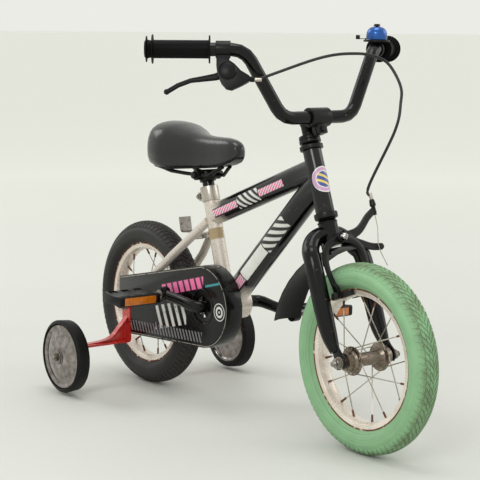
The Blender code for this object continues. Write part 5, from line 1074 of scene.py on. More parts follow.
def build_brake_arm():
    """The hub's reaction arm, held to the left stay by a band."""
    band, centre = stay_clip(STAY_CLIP_X, 0.006)
    rise = centre.z - AXLE_Z
    foot = (centre.x - REAR_X, rise - STAY_RADIUS - 0.0115)
    outline = arc((0, 0), 0.015, 60, 265) + [(0.04, -0.0165)] + arc(foot, 0.007, -85, 85)
    arm = side_slab(outline + [(0.042, -0.0035), (0.03, 0.001)], ARM_INNER, ARM_OUTER, REAR_HUB)
    ear_top = rise - STAY_RADIUS - 0.0009
    ear = [(foot[0] - 0.0055, foot[1]), (foot[0] + 0.0055, foot[1]),
           (foot[0] + 0.0055, ear_top), (foot[0] - 0.0055, ear_top)]
    screw = across_y([(0.0042, 0.043), (0.0042, 0.05)], REAR_HUB + Vector((foot[0], 0, foot[1])))
    bore = REAR_AXLE_RADIUS + SEAT_GAP
    cut = drum(REAR_HUB, bore, 0.03, 0.06)
    shape = fused([arm, side_slab(ear, ARM_INNER, ARM_OUTER, REAR_HUB), band, screw], [cut])
    keep("brake_arm", shape, "zinc")


def guard_outline(inset):
    """Round the chainring in front, tangent to a smaller round behind, cut off before the axle."""
    front, rear = GUARD_FRONT_RADIUS - inset, GUARD_REAR_RADIUS - inset
    rise = BB.z - AXLE_Z
    way = atan2(rise, BB.x - REAR_X) * 180 / pi
    lean = 180 - acos((front - rear) / CHAIN_STAY) * 180 / pi
    centre = (BB.x - REAR_X, rise)
    round_front = arc(centre, front, way - lean, way + lean)
    cut = GUARD_REAR_END

    def at_cut(angle):
        """Where the straight edge at this angle reaches the cut."""
        x, z = rear * cos(radians(angle)), rear * sin(radians(angle))
        slope = -x / z
        return (cut, z + (cut - x) * slope)

    return [at_cut(way - lean)] + round_front + [at_cut(way + lean)]


def open_behind(outline):
    """Carry the two ends of the outline out past the rear cut."""
    first, last = outline[0], outline[-1]
    return [(first[0] - 0.02, first[1])] + outline + [(last[0] - 0.02, last[1])]


def build_chain_guard():
    """A tray open towards the wheel: one face, a rim that is deep round the ring and shallow behind."""
    face = -GUARD_FACE
    hole = BB_SHELL_RADIUS + 0.001
    body = side_slab(guard_outline(0), face, -GUARD_DEEP_EDGE, REAR_HUB)
    lip = drum(BB, hole + 0.0035, face - 0.0012, face + 0.001)
    shallow = [(-0.01, -0.09), (0.175, -0.09), (0.165, 0.14), (-0.01, 0.14)]
    cuts = [side_slab(open_behind(guard_outline(GUARD_WALL)), face + GUARD_WALL, 0, REAR_HUB)]
    cuts.append(side_slab(shallow, -GUARD_SHALLOW_EDGE, 0.01, REAR_HUB))
    cuts.append(drum(BB, hole, -0.07, -0.04))
    notch = [(-0.06, -0.09), (GUARD_NOTCH_END, -0.09), (GUARD_NOTCH_END, GUARD_NOTCH_TOP),
             (-0.06, GUARD_NOTCH_TOP)]
    cuts.append(side_slab(notch, face - 0.01, 0.01, REAR_HUB))
    cuts.append(mirrored(sweep(seat_stay(), [(w + 0.0014, h + 0.0014) for w, h in SEAT_STAY_SIZES], AXIS_Y)))
    keep("chain_guard", fused([body, lip], cuts), "guard_plastic", sharp=30)
    well = [(0.019, -0.0545), (0.0292, -0.052), (0.0292, face + 0.0004), (0.0276, face - 0.0004),
            (0.0262, face + 0.0012), (0.019, face + 0.0022)]
    piece("guard_well", across_y(well, BB, 64, True), "black_plastic", body=BODY_OF["chain_guard"])


def build_guard_clip():
    """A band round the right chain stay with a boss that the guard is screwed to."""
    band, centre = stay_clip(STAY_CLIP_X, 0.005)
    inner_face = GUARD_FACE - GUARD_WALL - SEAT_GAP
    boss = drum(centre, 0.0055, centre.y + STAY_RADIUS + 0.001, inner_face)
    keep("chain_guard_clip", on_side(fused([band, boss]), -1), "zinc")


def build_guard_tab():
    """A bent tab bolted to the seat stays' bridge, as left when no rear mudguard is fitted."""
    back = BRIDGE.x - 0.006 - SEAT_GAP
    z = BRIDGE.z
    route = [Vector((back, 0, z - 0.008)), Vector((back, 0, z + 0.006)),
             Vector((back - 0.043, 0, z + 0.002)),
             Vector((back - 0.049, 0, z + 0.029))]
    path = filleted(route, 0.0035, 2)
    widths = [0.0085 + 0.0045 * min(1, max(0, (back - point.x) / 0.043)) for point in path]
    tab = sweep(path, [(wide, 0.0016) for wide in widths], AXIS_Y,
                section=[(-1, 0), (1, 0), (1, 1), (-1, 1)])
    bolt = turned([(0.0045, -0.0098), (0.0045, -0.0066), (0.0025, -0.0066), (0.0025, 0.0063),
                   (0.0045, 0.0063),
                   (0.0045, 0.0095)], frame_at(BRIDGE, AXIS_Y, (1, 0, 0)))
    keep("guard_tab", fused([tab, bolt]), "zinc")


# Drive
def chain_layout():
    """Turns, in radians and in links, that fix where each pin of the chain lies."""
    rise, run = BB.z - AXLE_Z, BB.x - REAR_X
    way = atan2(rise, run)
    wrap = pi - acos((pitch_radius(RING_TEETH) - pitch_radius(COG_TEETH)) / CHAIN_STAY)
    on_ring = RING_TEETH * wrap / pi
    on_cog = COG_TEETH * (pi - wrap) / pi
    return way, wrap, on_ring, (CHAIN_LINKS - on_ring - on_cog) / 2


def on_wheel(centre, radius, turn):
    return Vector((centre.x + radius * cos(turn), -CHAIN_LINE, centre.z + radius * sin(turn)))


def chain_pins():
    """The pins, from the upper run's rear end forward, round the ring and back round the cog."""
    way, wrap, on_ring, on_run = chain_layout()
    ring, cog = pitch_radius(RING_TEETH), pitch_radius(COG_TEETH)
    upper = (on_wheel(REAR_HUB, cog, way + wrap), on_wheel(BB, ring, way + wrap))
    lower = (on_wheel(BB, ring, way - wrap), on_wheel(REAR_HUB, cog, way - wrap))
    pins = []
    for u in range(CHAIN_LINKS):
        if u < on_run:
            pins.append(upper[0].lerp(upper[1], u / on_run))
        elif u < on_run + on_ring:
            pins.append(on_wheel(BB, ring, way + wrap - (u - on_run) * 2 * pi / RING_TEETH))
        elif u < 2 * on_run + on_ring:
            pins.append(lower[0].lerp(lower[1], (u - on_run - on_ring) / on_run))
        else:
            turn = (u - 2 * on_run - on_ring) * 2 * pi / COG_TEETH
            pins.append(on_wheel(REAR_HUB, cog, way - wrap - turn))
    return pins


def toothed(teeth, first):
    """A sprocket's outline, its teeth between the chain's rollers; first is one tooth's turn."""
    root = pitch_radius(teeth) - LINK_HEIGHT / 2 - 0.0009
    tip = pitch_radius(teeth) + 0.0034
    points = []
    for i in range(teeth):
        turn = first + i * 2 * pi / teeth
        for radius, half in ((root, -0.0022), (tip, 0), (root, 0.0022)):
            angle = turn + half / radius
            points.append((radius * cos(angle), radius * sin(angle)))
    return points


def build_crank():
    """One forged bar: spindle, two bends and two arms that end in pedal eyes."""
    way = Vector((-cos(CRANK_ANGLE), 0, sin(CRANK_ANGLE)))
    shapes = []
    for side in (-1, 1):
        out = AXIS_Y * side
        arm = way * -side
        points = [BB, BB + out * 0.0705, BB + arm * (CRANK_LENGTH * 0.42) + out * 0.072,
                  BB + arm * CRANK_LENGTH + out * PEDAL_EYE]
        path = filleted(points[:3], 0.015, 2) + points[3:]
        sizes = []
        for point in path:
            t = min(1, max(0, ((point - BB).dot(arm) - 0.004) / 0.04))
            wide = SPINDLE_RADIUS + (0.01 - SPINDLE_RADIUS) * t
            sizes.append((wide, SPINDLE_RADIUS + (0.0072 - SPINDLE_RADIUS) * t))
        shapes.append(sweep(path, sizes, arm.cross(out)))
        eye = BB + arm * CRANK_LENGTH
        low, high = PEDAL_EYE - 0.007, PEDAL_EYE + 0.007
        shapes.append(on_side(drum(eye, 0.0138, low, high), side))
    collar = drum(BB, 0.0165, -0.0498, -RING_BACK - SEAT_GAP)
    cuts = []
    for side in (-1, 1):
        eye = BB + way * (-side * CRANK_LENGTH)
        radius = PEDAL_AXLE_RADIUS + SEAT_GAP
        cuts.append(on_side(drum(eye, radius, 0.05, 0.11), side))
    keep("crank", fused(shapes + [collar], cuts), "gloss_black")


def build_chainring():
    """A stamped steel ring with five round windows, clamped against the crank's collar."""
    way, wrap, _, on_run = chain_layout()
    first = way + wrap + (on_run - 0.5) * 2 * pi / RING_TEETH
    outline = toothed(RING_TEETH, first)
    centre = Vector((BB.x, 0, BB.z))
    ring = side_slab(outline, -CHAIN_LINE - COG_THICK / 2, -CHAIN_LINE + COG_THICK / 2, centre)
    bore = SPINDLE_RADIUS + SEAT_GAP
    cuts = [drum(BB, bore, -0.06, -0.03)]
    for i in range(RING_WINDOWS):
        turn = 2 * pi * (i + 0.25) / RING_WINDOWS
        spot = BB + Vector((0.0335 * cos(turn), 0, 0.0335 * sin(turn)))
        cuts.append(drum(spot, 0.012, -0.06, -0.03))
    keep("chainring", fused([ring], cuts), "steel")


def build_pedal(side, name):
    """A block with a treaded grip face above and below, on its own threaded axle."""
    way = Vector((-cos(CRANK_ANGLE), 0, sin(CRANK_ANGLE))) * -side
    centre = BB + way * CRANK_LENGTH
    inner, outer = PEDAL_EYE - 0.0062, PEDAL_EYE + 0.007 + SEAT_GAP
    near = PEDAL_Y - PEDAL_LENGTH / 2
    r = PEDAL_AXLE_RADIUS
    axle = [(r, inner), (r, outer), (0.0088, outer), (0.0088, outer + 0.004), (0.006, outer + 0.0048),
            (0.0045, near + PEDAL_LENGTH - 0.012)]
    keep("pedal_axle_" + name, on_side(across_y(axle, centre), side), "zinc")
    place = frame_at(centre, (cos(PEDAL_TILT), 0, sin(PEDAL_TILT)), (0, -1, 0))
    half, thick = PEDAL_WIDTH / 2, PEDAL_THICK / 2
    core = [(-half + 0.003, -thick), (-0.012, -thick + 0.002), (0.012, -thick + 0.002),
            (half - 0.003, -thick),
            (half, -thick + 0.003), (half, thick - 0.003), (half - 0.003, thick), (0.012, thick - 0.002),
            (-0.012, thick - 0.002), (-half + 0.003, thick), (-half, thick - 0.003), (-half, -thick + 0.003)]
    body = slab(core, -near - PEDAL_LENGTH, -near, place)
    cuts = []
    for i in range(3):
        y = near + 0.016 + i * 0.027
        for x in (-0.0205, 0.0205):
            for up in (-1, 1):
                spot = [(x - 0.0062, up * (thick + 0.002)), (x + 0.0062, up * (thick + 0.002)),
                        (x + 0.0062, up * (thick - 0.0022)), (x - 0.0062, up * (thick - 0.0022))]
                cuts.append(slab(spot, -y - 0.008, -y + 0.008, place))
    wide, narrow = (0.006 + RUN_GAP), (0.0045 + RUN_GAP)
    bore = [(wide, near - 0.01), (wide, near + 0.0005), (narrow, near + PEDAL_LENGTH - 0.0115)]
    seat = [(half - 0.0022, -0.0072), (half + 0.01, -0.0072), (half + 0.01, 0.0072), (half - 0.0022, 0.0072)]
    mid = PEDAL_Y
    cuts.append(slab(seat, -mid - 0.0335, -mid + 0.0335, place))
    cuts.append(across_y(bore, centre))
    shape = fused([body], cuts)
    keep("pedal_" + name, on_side(shape, side), "black_plastic")
    lens = [(half - 0.0019, -0.0069), (half + 0.0006, -0.0069), (half + 0.0012, 0), (half + 0.0006, 0.0069),
            (half - 0.0019, 0.0069)]
    shape = slab(lens, -mid - 0.0332, -mid + 0.0332, place)
    keep("pedal_reflector_" + name, on_side(shape, side), "amber")


def build_rear_sprocket():
    """The cog on the hub's driver."""
    way, wrap, on_ring, on_run = chain_layout()
    first = way - wrap + (2 * on_run + on_ring - 0.5) * 2 * pi / COG_TEETH
    low, high = -CHAIN_LINE - COG_THICK / 2, -CHAIN_LINE + COG_THICK / 2
    cog = side_slab(toothed(COG_TEETH, first), low, high, REAR_HUB)
    driver = across_y([(0.015, -0.0466), (0.015, -0.04), (0.0185, -0.0395), (0.0185, -0.0346)],
                      REAR_HUB)
    radius = REAR_AXLE_RADIUS + RUN_GAP
    bore = drum(REAR_HUB, radius, -0.06, -0.02)
    keep("rear_sprocket", fused([cog, driver], [bore]), "dark_steel")


# Training wheels
TRAINING_X = REAR_X + 0.001
TRAINING_HUB_Z = TRAINING_RADIUS + TRAINING_LIFT
TRAINING_HUB = Vector((TRAINING_X, 0, TRAINING_HUB_Z))
TRAINING_TAB = TRAINING_Y - TRAINING_WIDTH / 2 - 0.009
TRAINING_FACE = TRAINING_Y + TRAINING_WIDTH / 2


def build_training_bracket(side, name):
    """A steel strip from the rear axle down and out to the wheel, with a curved web over its bend."""
    inner = REAR_HALF_GAP + DROPOUT_THICK + SEAT_GAP
    x, tab = TRAINING_X, TRAINING_TAB
    shelf = TRAINING_HUB_Z + 0.0128
    route = [Vector((x, inner, AXLE_Z + 0.018)), Vector((x, inner, shelf)),
             Vector((x, tab - 0.004, shelf))]
    plate = sweep(filleted(route, 0.006, 3), (BRACKET_HALF, BRACKET_THICK), Vector((1, 0, 0)),
                  section=[(-1, -1), (1, -1), (1, 0), (-1, 0)])
    low = TRAINING_HUB_Z - 0.0125
    upright = frame_at((x, 0, 0), AXIS_Y, (1, 0, 0))
    end_top = shelf + BRACKET_THICK
    end = slab([(tab - BRACKET_THICK, low), (tab, low), (tab, end_top), (tab - BRACKET_THICK, end_top)],
               -BRACKET_HALF, BRACKET_HALF, upright)
    web_low = (tab - 0.014, shelf + 0.002)
    web_high = (inner + 0.002, AXLE_Z - 0.024)
    bend = [Vector((x, *web_low)), Vector((x, inner + 0.045, shelf + 0.0085)),
            Vector((x, inner + 0.019, shelf + 0.03)), Vector((x, *web_high))]
    curve = smooth(bend, 8)
    web = slab([(web_high[0], web_low[1])] + [(spot.y, spot.z) for spot in curve], -0.0016, 0.0016, upright)
    lip = sweep(curve, (0.006, 0.0024), Vector((1, 0, 0)), section=[(-1, 0), (1, 0), (1, 1), (-1, 1)])
    radius = REAR_AXLE_RADIUS + SEAT_GAP
    hole = drum(REAR_HUB, radius, 0.03, 0.08)
    small = TRAINING_AXLE_RADIUS + SEAT_GAP
    hole_low = drum(TRAINING_HUB, small, tab - 0.02, tab + 0.02)
    shape = fused([plate, end, web, lip], [hole, hole_low])
    keep("training_bracket_" + name, on_side(shape, side), "red_paint", sharp=40)


def build_training_axle(side, name):
    """A bolt through the bracket's tab, with a collar behind the wheel and a nut outside it."""
    r, tab, face = TRAINING_AXLE_RADIUS, TRAINING_TAB, TRAINING_FACE
    axle = [(r, tab - 0.0112), (r, tab + SEAT_GAP), (0.0065, tab + SEAT_GAP), (0.0065, tab + 0.0088),
            (r, tab + 0.0088), (r, face + 0.006)]
    out = frame_at(TRAINING_HUB, (1, 0, 0), AXIS_Y)
    back = frame_at(TRAINING_HUB, (1, 0, 0), -AXIS_Y)
    shapes = [across_y(axle, TRAINING_HUB), washer(out, 0.0135, r, face + 0.0044, face + 0.0056),
              hex_nut(out, 0.0125, face + 0.0057, face + 0.0112),
              thread(out, r, face + 0.0106, face + 0.0145),
              hex_nut(back, 0.013, -tab + 0.0048, -tab + 0.0112)]
    keep("training_axle_" + name, on_side(gathered(shapes), side), "zinc")


def build_training_wheel(side, name):
    """A rubber tyre round a pressed steel disc, with the dish that backs it."""
    low, high = TRAINING_Y - TRAINING_WIDTH / 2, TRAINING_FACE
    rr = TRAINING_RADIUS
    bore = TRAINING_AXLE_RADIUS + RUN_GAP
    seat = high - 0.006
    tyre = [(bore, low + 0.0002), (0.0145, low + 0.0002), (rr - 0.018, low + 0.006), (rr - 0.013, low),
            (rr - 0.002, low + 0.0016), (rr, high - 0.005), (rr - 0.0065, high - 0.0006),
            (rr - 0.0082, seat),
            (bore, seat)]
    keep("training_tyre_" + name, on_side(across_y(tyre, TRAINING_HUB, closed=True), side),
         "training_rubber")
    dish = [(0.015, low - 0.0006), (rr - 0.019, low + 0.0052), (rr - 0.015, low + 0.0026),
            (rr - 0.0135, low - 0.0004),
            (rr - 0.0128, low + 0.0004), (rr - 0.015, low + 0.0048), (rr - 0.019, low + 0.0064),
            (0.015, low + 0.0006)]
    piece("training_dish_" + name, on_side(across_y(dish, TRAINING_HUB, 64, True, 0.0006), side),
          "disc_chrome",
          body=BODY_OF["training_disc_" + name])
    edge = rr - 0.0086
    disc = [(bore, seat + SEAT_GAP), (edge, seat + SEAT_GAP), (edge, seat + 0.0024),
            (edge - 0.0016, seat + 0.0032),
            (edge - 0.005, seat + 0.003), (edge - 0.0075, seat + 0.0012), (edge - 0.0105, seat + 0.0018),
            (0.04, seat + 0.0062), (0.03, seat + 0.0088), (0.022, seat + 0.0098),
            (0.0185, seat + 0.0094),
            (0.016, seat + 0.0084),
            (0.014, seat + 0.0098), (bore, seat + 0.0098)]
    keep("training_disc_" + name, on_side(across_y(disc, TRAINING_HUB, 96, True, 0.0012), side),
         "disc_chrome")


# Steering unit
def head_place(along, fore=0.0):
    """A frame whose X runs left, Y up the head axis and Z forward."""
    return frame_at(steer(along, fore), AXIS_Y, HEAD_FORE)


def build_fork():
    """Crown lug with steerer, two bent legs and their dropouts."""
    lug = frame_at(steer(0), AXIS_Y, HEAD_WAY)
    stem = [(0.0162, 0.195), (0.0162, CROWN_SEAT - 0.0015), (0.0175, CROWN_SEAT),
            (0.015, CROWN_SEAT + 0.0026),
            (STEERER_RADIUS, CROWN_SEAT + 0.0026), (STEERER_RADIUS, HEAD_HIGH + 0.023)]
    parts = [turned(stem, lug)]
    route = [(0.217, -0.002, 0.006), (0.2155, -0.0045, 0.02), (0.207, -0.0055, 0.035),
             (0.1915, -0.001, 0.0475), (0.168, 0.0075, LEG_Y), (0.085, 0.0077, LEG_Y),
             (0.048, 0.0097, LEG_Y),
             (0.019, 0.0152, LEG_Y)]
    sizes = [0.0125, 0.0137, 0.0142, 0.0146, LEG_RADIUS, LEG_RADIUS, 0.0132, 0.0085]
    plate = [(-0.011, -0.01), (0.003, -0.0125), (0.012, -0.006), (0.0125, 0.006), (0.006, 0.016),
             (-0.001, 0.033), (-0.011, 0.034), (-0.012, 0.015)]
    cuts = [turned([(0.0108, HEAD_HIGH - 0.065), (0.011, HEAD_HIGH + 0.05)], lug)]
    cuts.append(rod(steer(PIVOT_AT, -0.03), steer(PIVOT_AT, 0.03), PIVOT_RADIUS + SEAT_GAP))
    radius = FRONT_AXLE_RADIUS + SEAT_GAP
    slot = [(-radius, -0.03), (radius, -0.03)] + arc((0, 0), radius, 0, 180)
    place = frame_at((FRONT_X, 0, AXLE_Z), HEAD_FORE, (0, -1, 0))
    for side in (1, -1):
        marks = smooth([Vector(row) for row in route], 8)
        path = [steer(*mark) for mark in marks]
        widths = [spot.x for spot in smooth([Vector((r, 0, 0)) for r in sizes], 8)]
        parts.append(on_side(sweep(path, [(r, r) for r in widths], HEAD_FORE, 32), side))
        low, high = -FORK_HALF_GAP - FORK_TIP_THICK, -FORK_HALF_GAP
        parts.append(on_side(slab(plate, low, high, place), side))
        cuts.append(on_side(slab(slot, -0.08, -0.03, place), side))
    keep("fork", fused(parts, cuts), "gloss_black", sharp=40)


def build_headset_nut():
    bore = STEERER_RADIUS + SEAT_GAP
    base = HEAD_HIGH + SEAT_GAP + CUP_HEIGHT - 0.002 + RUN_GAP
    profile = [(bore, 0), (0.0185, 0), (0.0185, 0.0056), (0.0168, 0.0064), (0.0182, 0.0072),
               (0.0175, 0.0132),
               (bore, 0.0132)]
    keep("headset_nut", turned(profile, frame_at(steer(base), AXIS_Y, HEAD_WAY), closed=True), "black_steel")


def build_stem():
    """Quill and forward barrel with a split clamp; its two bolts are part of it."""
    quill = frame_at(steer(0), AXIS_Y, HEAD_WAY)
    foot = HEAD_HIGH - 0.06
    parts = [turned([(QUILL_RADIUS, foot), (QUILL_RADIUS, STEM_HEIGHT - 0.006),
                     (0.0118, STEM_HEIGHT - 0.002),
                     (0.0118, STEM_HEIGHT + 0.0055), (0.005, STEM_HEIGHT + 0.0078),
                     (0.005, STEM_HEIGHT + 0.012)],
                    quill)]
    outer = BAR_RADIUS + 0.0052
    centre = frame_at(steer(STEM_HEIGHT, STEM_REACH), HEAD_FORE, AXIS_Y)
    parts.append(pillar(centre, outer, -0.02, 0.02))
    web = [steer(STEM_HEIGHT - 0.002, 0), steer(STEM_HEIGHT - 0.001, STEM_REACH * 0.55),
           steer(STEM_HEIGHT, STEM_REACH)]
    parts.append(sweep(web, [(0.0112, 0.01), (0.0128, 0.0112), (0.015, 0.013)], AXIS_Y))
    ears = [(-0.0085, -0.0295), (0.0085, -0.0295), (0.0095, -0.01), (-0.0095, -0.01)]
    ear_place = frame_at(steer(STEM_HEIGHT, STEM_REACH), AXIS_Y, HEAD_FORE)
    parts.append(slab(ears, -0.0085, 0.0085, ear_place))
    bore = BAR_RADIUS + SEAT_GAP
    cuts = [pillar(centre, bore, -0.03, 0.03)]
    cuts.append(slab([(-0.03, -0.04), (0.03, -0.04), (0.03, -0.005), (-0.03, -0.005)], -0.0011, 0.0011,
                     ear_place))
    body = mesh_to_bmesh(fused(parts, cuts))
    bolt = turned([(0.0052, -0.0128), (0.0052, -0.008), (0.0028, -0.008), (0.0028, 0.008),
                   (0.0055, 0.008),
                   (0.0055, 0.0118)], frame_at(steer(STEM_HEIGHT - 0.0225, STEM_REACH), AXIS_Y, HEAD_FORE))
    keep("stem", fused([body, bolt]), "black_steel", sharp=40)


def bar_points():
    """The bar's corners on the left: middle of the clamp, lower corner, upper corner and end."""
    middle = steer(STEM_HEIGHT, STEM_REACH)
    lower = middle + AXIS_Y * BAR_FLAT_HALF
    upper = middle + AXIS_Y * BAR_SHOULDER_HALF + BAR_UP * BAR_RISE
    end = middle + AXIS_Y * BAR_END_HALF + BAR_UP * (BAR_RISE + BAR_END_RISE) - BAR_FORE * BAR_SWEEP
    return lower, upper, end


def other_side(point):
    return Vector((point.x, -point.y, point.z))


def build_handlebar():
    lower, upper, end = bar_points()
    path = filleted([end, upper, lower, other_side(lower), other_side(upper), other_side(end)], 0.036, 3)
    keep("handlebar", sweep(path, (BAR_RADIUS, BAR_RADIUS), BAR_FORE), "gloss_black")


def build_grips():
    """Rubber sleeves with a flange inside and two thin discs outside, closed over the bar's ends."""
    _, upper, end = bar_points()
    way = (end - upper).normalized()
    bore = BAR_RADIUS + SEAT_GAP
    top = (end - upper).length + SEAT_GAP
    first = top - GRIP_LENGTH
    r = GRIP_RADIUS
    out = top - 0.0105
    profile = [(bore, top), (bore, first), (0.023, first), (0.0225, first + 0.0022), (r, first + 0.0028),
               (r, out),
               (0.024, out + 0.0008), (0.0235, out + 0.0028), (r - 0.001, out + 0.0036), (r, out + 0.008),
               (r + 0.0004, top - 0.0004), (0.0212, top + 0.0002), (0.021, top + 0.0018), (r, top + 0.0022),
               (r - 0.002, top + 0.0044)]
    for side, name in SIDES:
        place = frame_at(upper, BAR_UP, way)
        shape = turned([(0, top)] + profile, place)
        keep("grip_" + name, on_side(shape, side), "grip_rubber")


def control_place():
    """On the right of the bar: X outward along it, Y down to the lever, Z forward."""
    _, upper, end = (other_side(point) for point in bar_points())
    way = (end - upper).normalized()
    ahead = AXIS_Z.cross(way).normalized()
    down = ahead * cos(LEVER_DROP) - AXIS_Z * sin(LEVER_DROP)
    return frame_at(end - way * CONTROL_FROM_END, way, way.cross(down))


LEVER_PIVOT = (-0.008, 0.039)
CABLE_STOP = (-0.051, 0.052)


def build_lever():
    """A clamp with a flat housing in front, and the lever blade behind it on a pin."""
    place = control_place()
    px, py = LEVER_PIVOT
    ring = turned(sleeve(0.0142, BAR_RADIUS + SEAT_GAP, -0.012, 0.012),
                  frame_at(place.translation, place.col[1].to_3d(), place.col[0].to_3d()), closed=True)
    outline = [(-0.0105, 0.0126), (0.0105, 0.0126), (0.0105, 0.03), (0.0085, 0.045), (0.002, 0.059),
               (-0.006, 0.068), (-0.015, 0.07), (-0.03, 0.063), (-0.042, 0.056), (-0.0455, 0.0505),
               (-0.042, 0.046), (-0.029, 0.038), (-0.019, 0.027), (-0.0105, 0.021)]
    body = slab(outline, 0.0, 0.01, place)
    dome = turned([(0.015, 0.005), (0.015, 0.0112), (0.012, 0.0142), (0.005, 0.016)],
                  place @ Matrix.Translation((px, py, 0)) @ Matrix.Rotation(0.11, 4, "Z"))
    start = place @ Vector((-0.034, 0.0509, 0.005))
    stop = place @ Vector((CABLE_STOP[0], CABLE_STOP[1], 0.005))
    long = (stop - start).length
    barrel = turned([(0.0042, 0), (0.0034, long * 0.58), (0.0047, long * 0.62), (0.0042, long)],
                    frame_at(start, place.col[1].to_3d(), stop - start))
    pin = turned([(0.0026, 0.004), (0.0026, -0.0068), (0.0045, -0.0068), (0.0045, -0.0086)],
                 place @ Matrix.Translation((px, py, 0)))
    keep("brake_lever_bracket", fused([ring, body, dome, barrel, pin]), "black_plastic", sharp=40)
    route = [(px + 0.005, py + 0.0012), (0.012, 0.0455), (0.03, 0.0485), (0.052, 0.052),
             (0.072, 0.06),
             (0.0885, 0.0706)]
    path = [place @ Vector((x, y, -0.0035)) for x, y in route]
    sizes = [(0.0072 - 0.0032 * min(1, i / 3), 0.0027) for i in range(len(path))]
    blade = sweep(path, sizes, place.col[1].to_3d())
    ball_at = place @ Vector((0.09, 0.071, -0.0035))
    ball = turned([(0, -0.005), (0.0037, -0.0034), (0.005, 0), (0.0037, 0.0034), (0, 0.005)],
                  frame_at(ball_at, (1, 0, 0), AXIS_Z))
    heel = slab(link_outline((px, py), 0.009, (px - 0.019, py + 0.011), 0.0045), -0.0062, -0.0006,
                place)
    bore = (0.0026 + RUN_GAP)
    hole = turned([(bore, -0.02), (bore, 0.02)], place @ Matrix.Translation((px, py, 0)))
    keep("brake_lever", fused([blade, ball, heel], [hole]), "black_plastic", sharp=40)


ADJUSTER = (0.2468, 0.0826)
PINCH = (0.1827, 0.0837)
# Share of the way from the adjuster up to the stem, then ahead of the head axis and to the left
HOUSING_ROUTE = [(1.4667, 0.0665, -0.085), (1.532, 0.0838, -0.01), (1.5488, 0.0952, 0.06),
                 (1.4899, 0.1012, 0.1), (1.3809, 0.1085, 0.115), (1.1531, 0.1166, 0.12),
                 (0.9806, 0.1161, 0.113), (0.7065, 0.1013, 0.1), (0.3695, 0.0622, 0.09)]


def build_bell():
    """A dome on a post above a round base, with a thumb striker on the rider's side."""
    _, upper, end = bar_points()
    way = (end - upper).normalized()
    up = (AXIS_Z - way * AXIS_Z.dot(way)).normalized()
    place = frame_at(end - way * BELL_FROM_END, way, up)
    seat = BAR_RADIUS + 0.0018
    base = turned([(0.023, seat), (0.023, seat + 0.0032), (0.006, seat + 0.0042), (0.0045, seat + 0.025),
                   (0.0028, seat + 0.025), (0.0028, seat + 0.0275), (0.0062, seat + 0.0272),
                   (0.0045, seat + 0.031)],
                  place)
    pivot = Vector((0, 0.0195, 0))
    pin = turned([(0.0013, seat + 0.002), (0.0013, seat + 0.0062)], place @ Matrix.Translation(pivot))
    ring_place = frame_at(place.translation, up, way)
    bore = BAR_RADIUS + SEAT_GAP
    ring = turned(sleeve(bore + 0.0022, bore, -0.006, 0.006), ring_place, closed=True)
    keep("bell_base", fused([base, pin, ring]), "black_plastic")
    dome = [(0.0181, seat + 0.004), (0.0184, seat + 0.01), (0.0178, seat + 0.016),
            (0.0155, seat + 0.0212),
            (0.0115, seat + 0.0248), (0.006, seat + 0.0266), (0.0034, seat + 0.0268),
            (0.0034, seat + 0.0256),
            (0.006, seat + 0.0253), (0.0106, seat + 0.0236), (0.0142, seat + 0.0204),
            (0.0165, seat + 0.0156),
            (0.017, seat + 0.01), (0.0168, seat + 0.004)]
    keep("bell_dome", turned(dome, place, 64, True, 0.0012), "bell_blue", 60)
    arm = slab(link_outline((0, 0.0195), 0.0034, (0.006, 0.0335), 0.0026), seat + 0.0046,
               seat + 0.0058, place)
    thumb = slab([(0.003, 0.031), (0.0095, 0.031), (0.0095, 0.0375), (0.003, 0.0375)], seat + 0.0042,
                 seat + 0.0115, place)
    hole = turned([(0.0018, seat), (0.0018, seat + 0.02)], place @ Matrix.Translation(pivot))
    keep("bell_striker", fused([arm, thumb], [hole]), "black_plastic")


def build_front_mudguard():
    """An arched blade behind the crown, hung from the caliper bolt by a flat tab."""
    rings = []
    for i in range(9):
        t = i / 8
        turn = radians(108 + 63 * t)
        reach, half = 0.188 + 0.026 * t, 0.0245 + 0.006 * t
        half = half if i < 8 else half * 0.9
        spoke = Vector((cos(turn), 0, sin(turn)))
        section = [(y, -0.006 * (y * y)) for y in (-1, -0.5, 0.5, 1)]
        over = [FRONT_HUB + spoke * (reach + 0.002 + h) + AXIS_Y * y * half for y, h in section]
        under = [FRONT_HUB + spoke * (reach + h) + AXIS_Y * y * half for y, h in reversed(section)]
        rings.append(over + under)
    blade = skin(rings)
    back = -0.0162 - SEAT_GAP
    tab = slab([(-0.009, 0.1835), (0.009, 0.1835), (0.009, 0.206), (0.005, 0.211), (-0.005, 0.211),
                (-0.009, 0.206)], back - 0.0018, back, head_place(0))
    hole = rod(steer(PIVOT_AT, -0.03), steer(PIVOT_AT, -0.01), PIVOT_RADIUS + SEAT_GAP)
    keep("front_mudguard", fused([blade, tab], [hole]), "black_plastic", sharp=40)


def build_caliper_bolt():
    back = -0.0162 - SEAT_GAP - 0.0018 - SEAT_GAP
    front = CALIPER_FORE + 2 * CALIPER_THICK + 0.0006 + 2 * RUN_GAP
    profile = [(0.0052, back - 0.0055), (0.0055, back), (0.003, back), (0.003, 0.0166), (0.008, 0.0166),
               (0.008, CALIPER_FORE - RUN_GAP),
               (0.003, CALIPER_FORE - RUN_GAP), (0.003, front), (0.0066, front), (0.006, front + 0.007),
               (0.003, front + 0.01)]
    place = frame_at(steer(PIVOT_AT), AXIS_Y, HEAD_FORE)
    keep("caliper_bolt", turned(profile, place), "chrome")


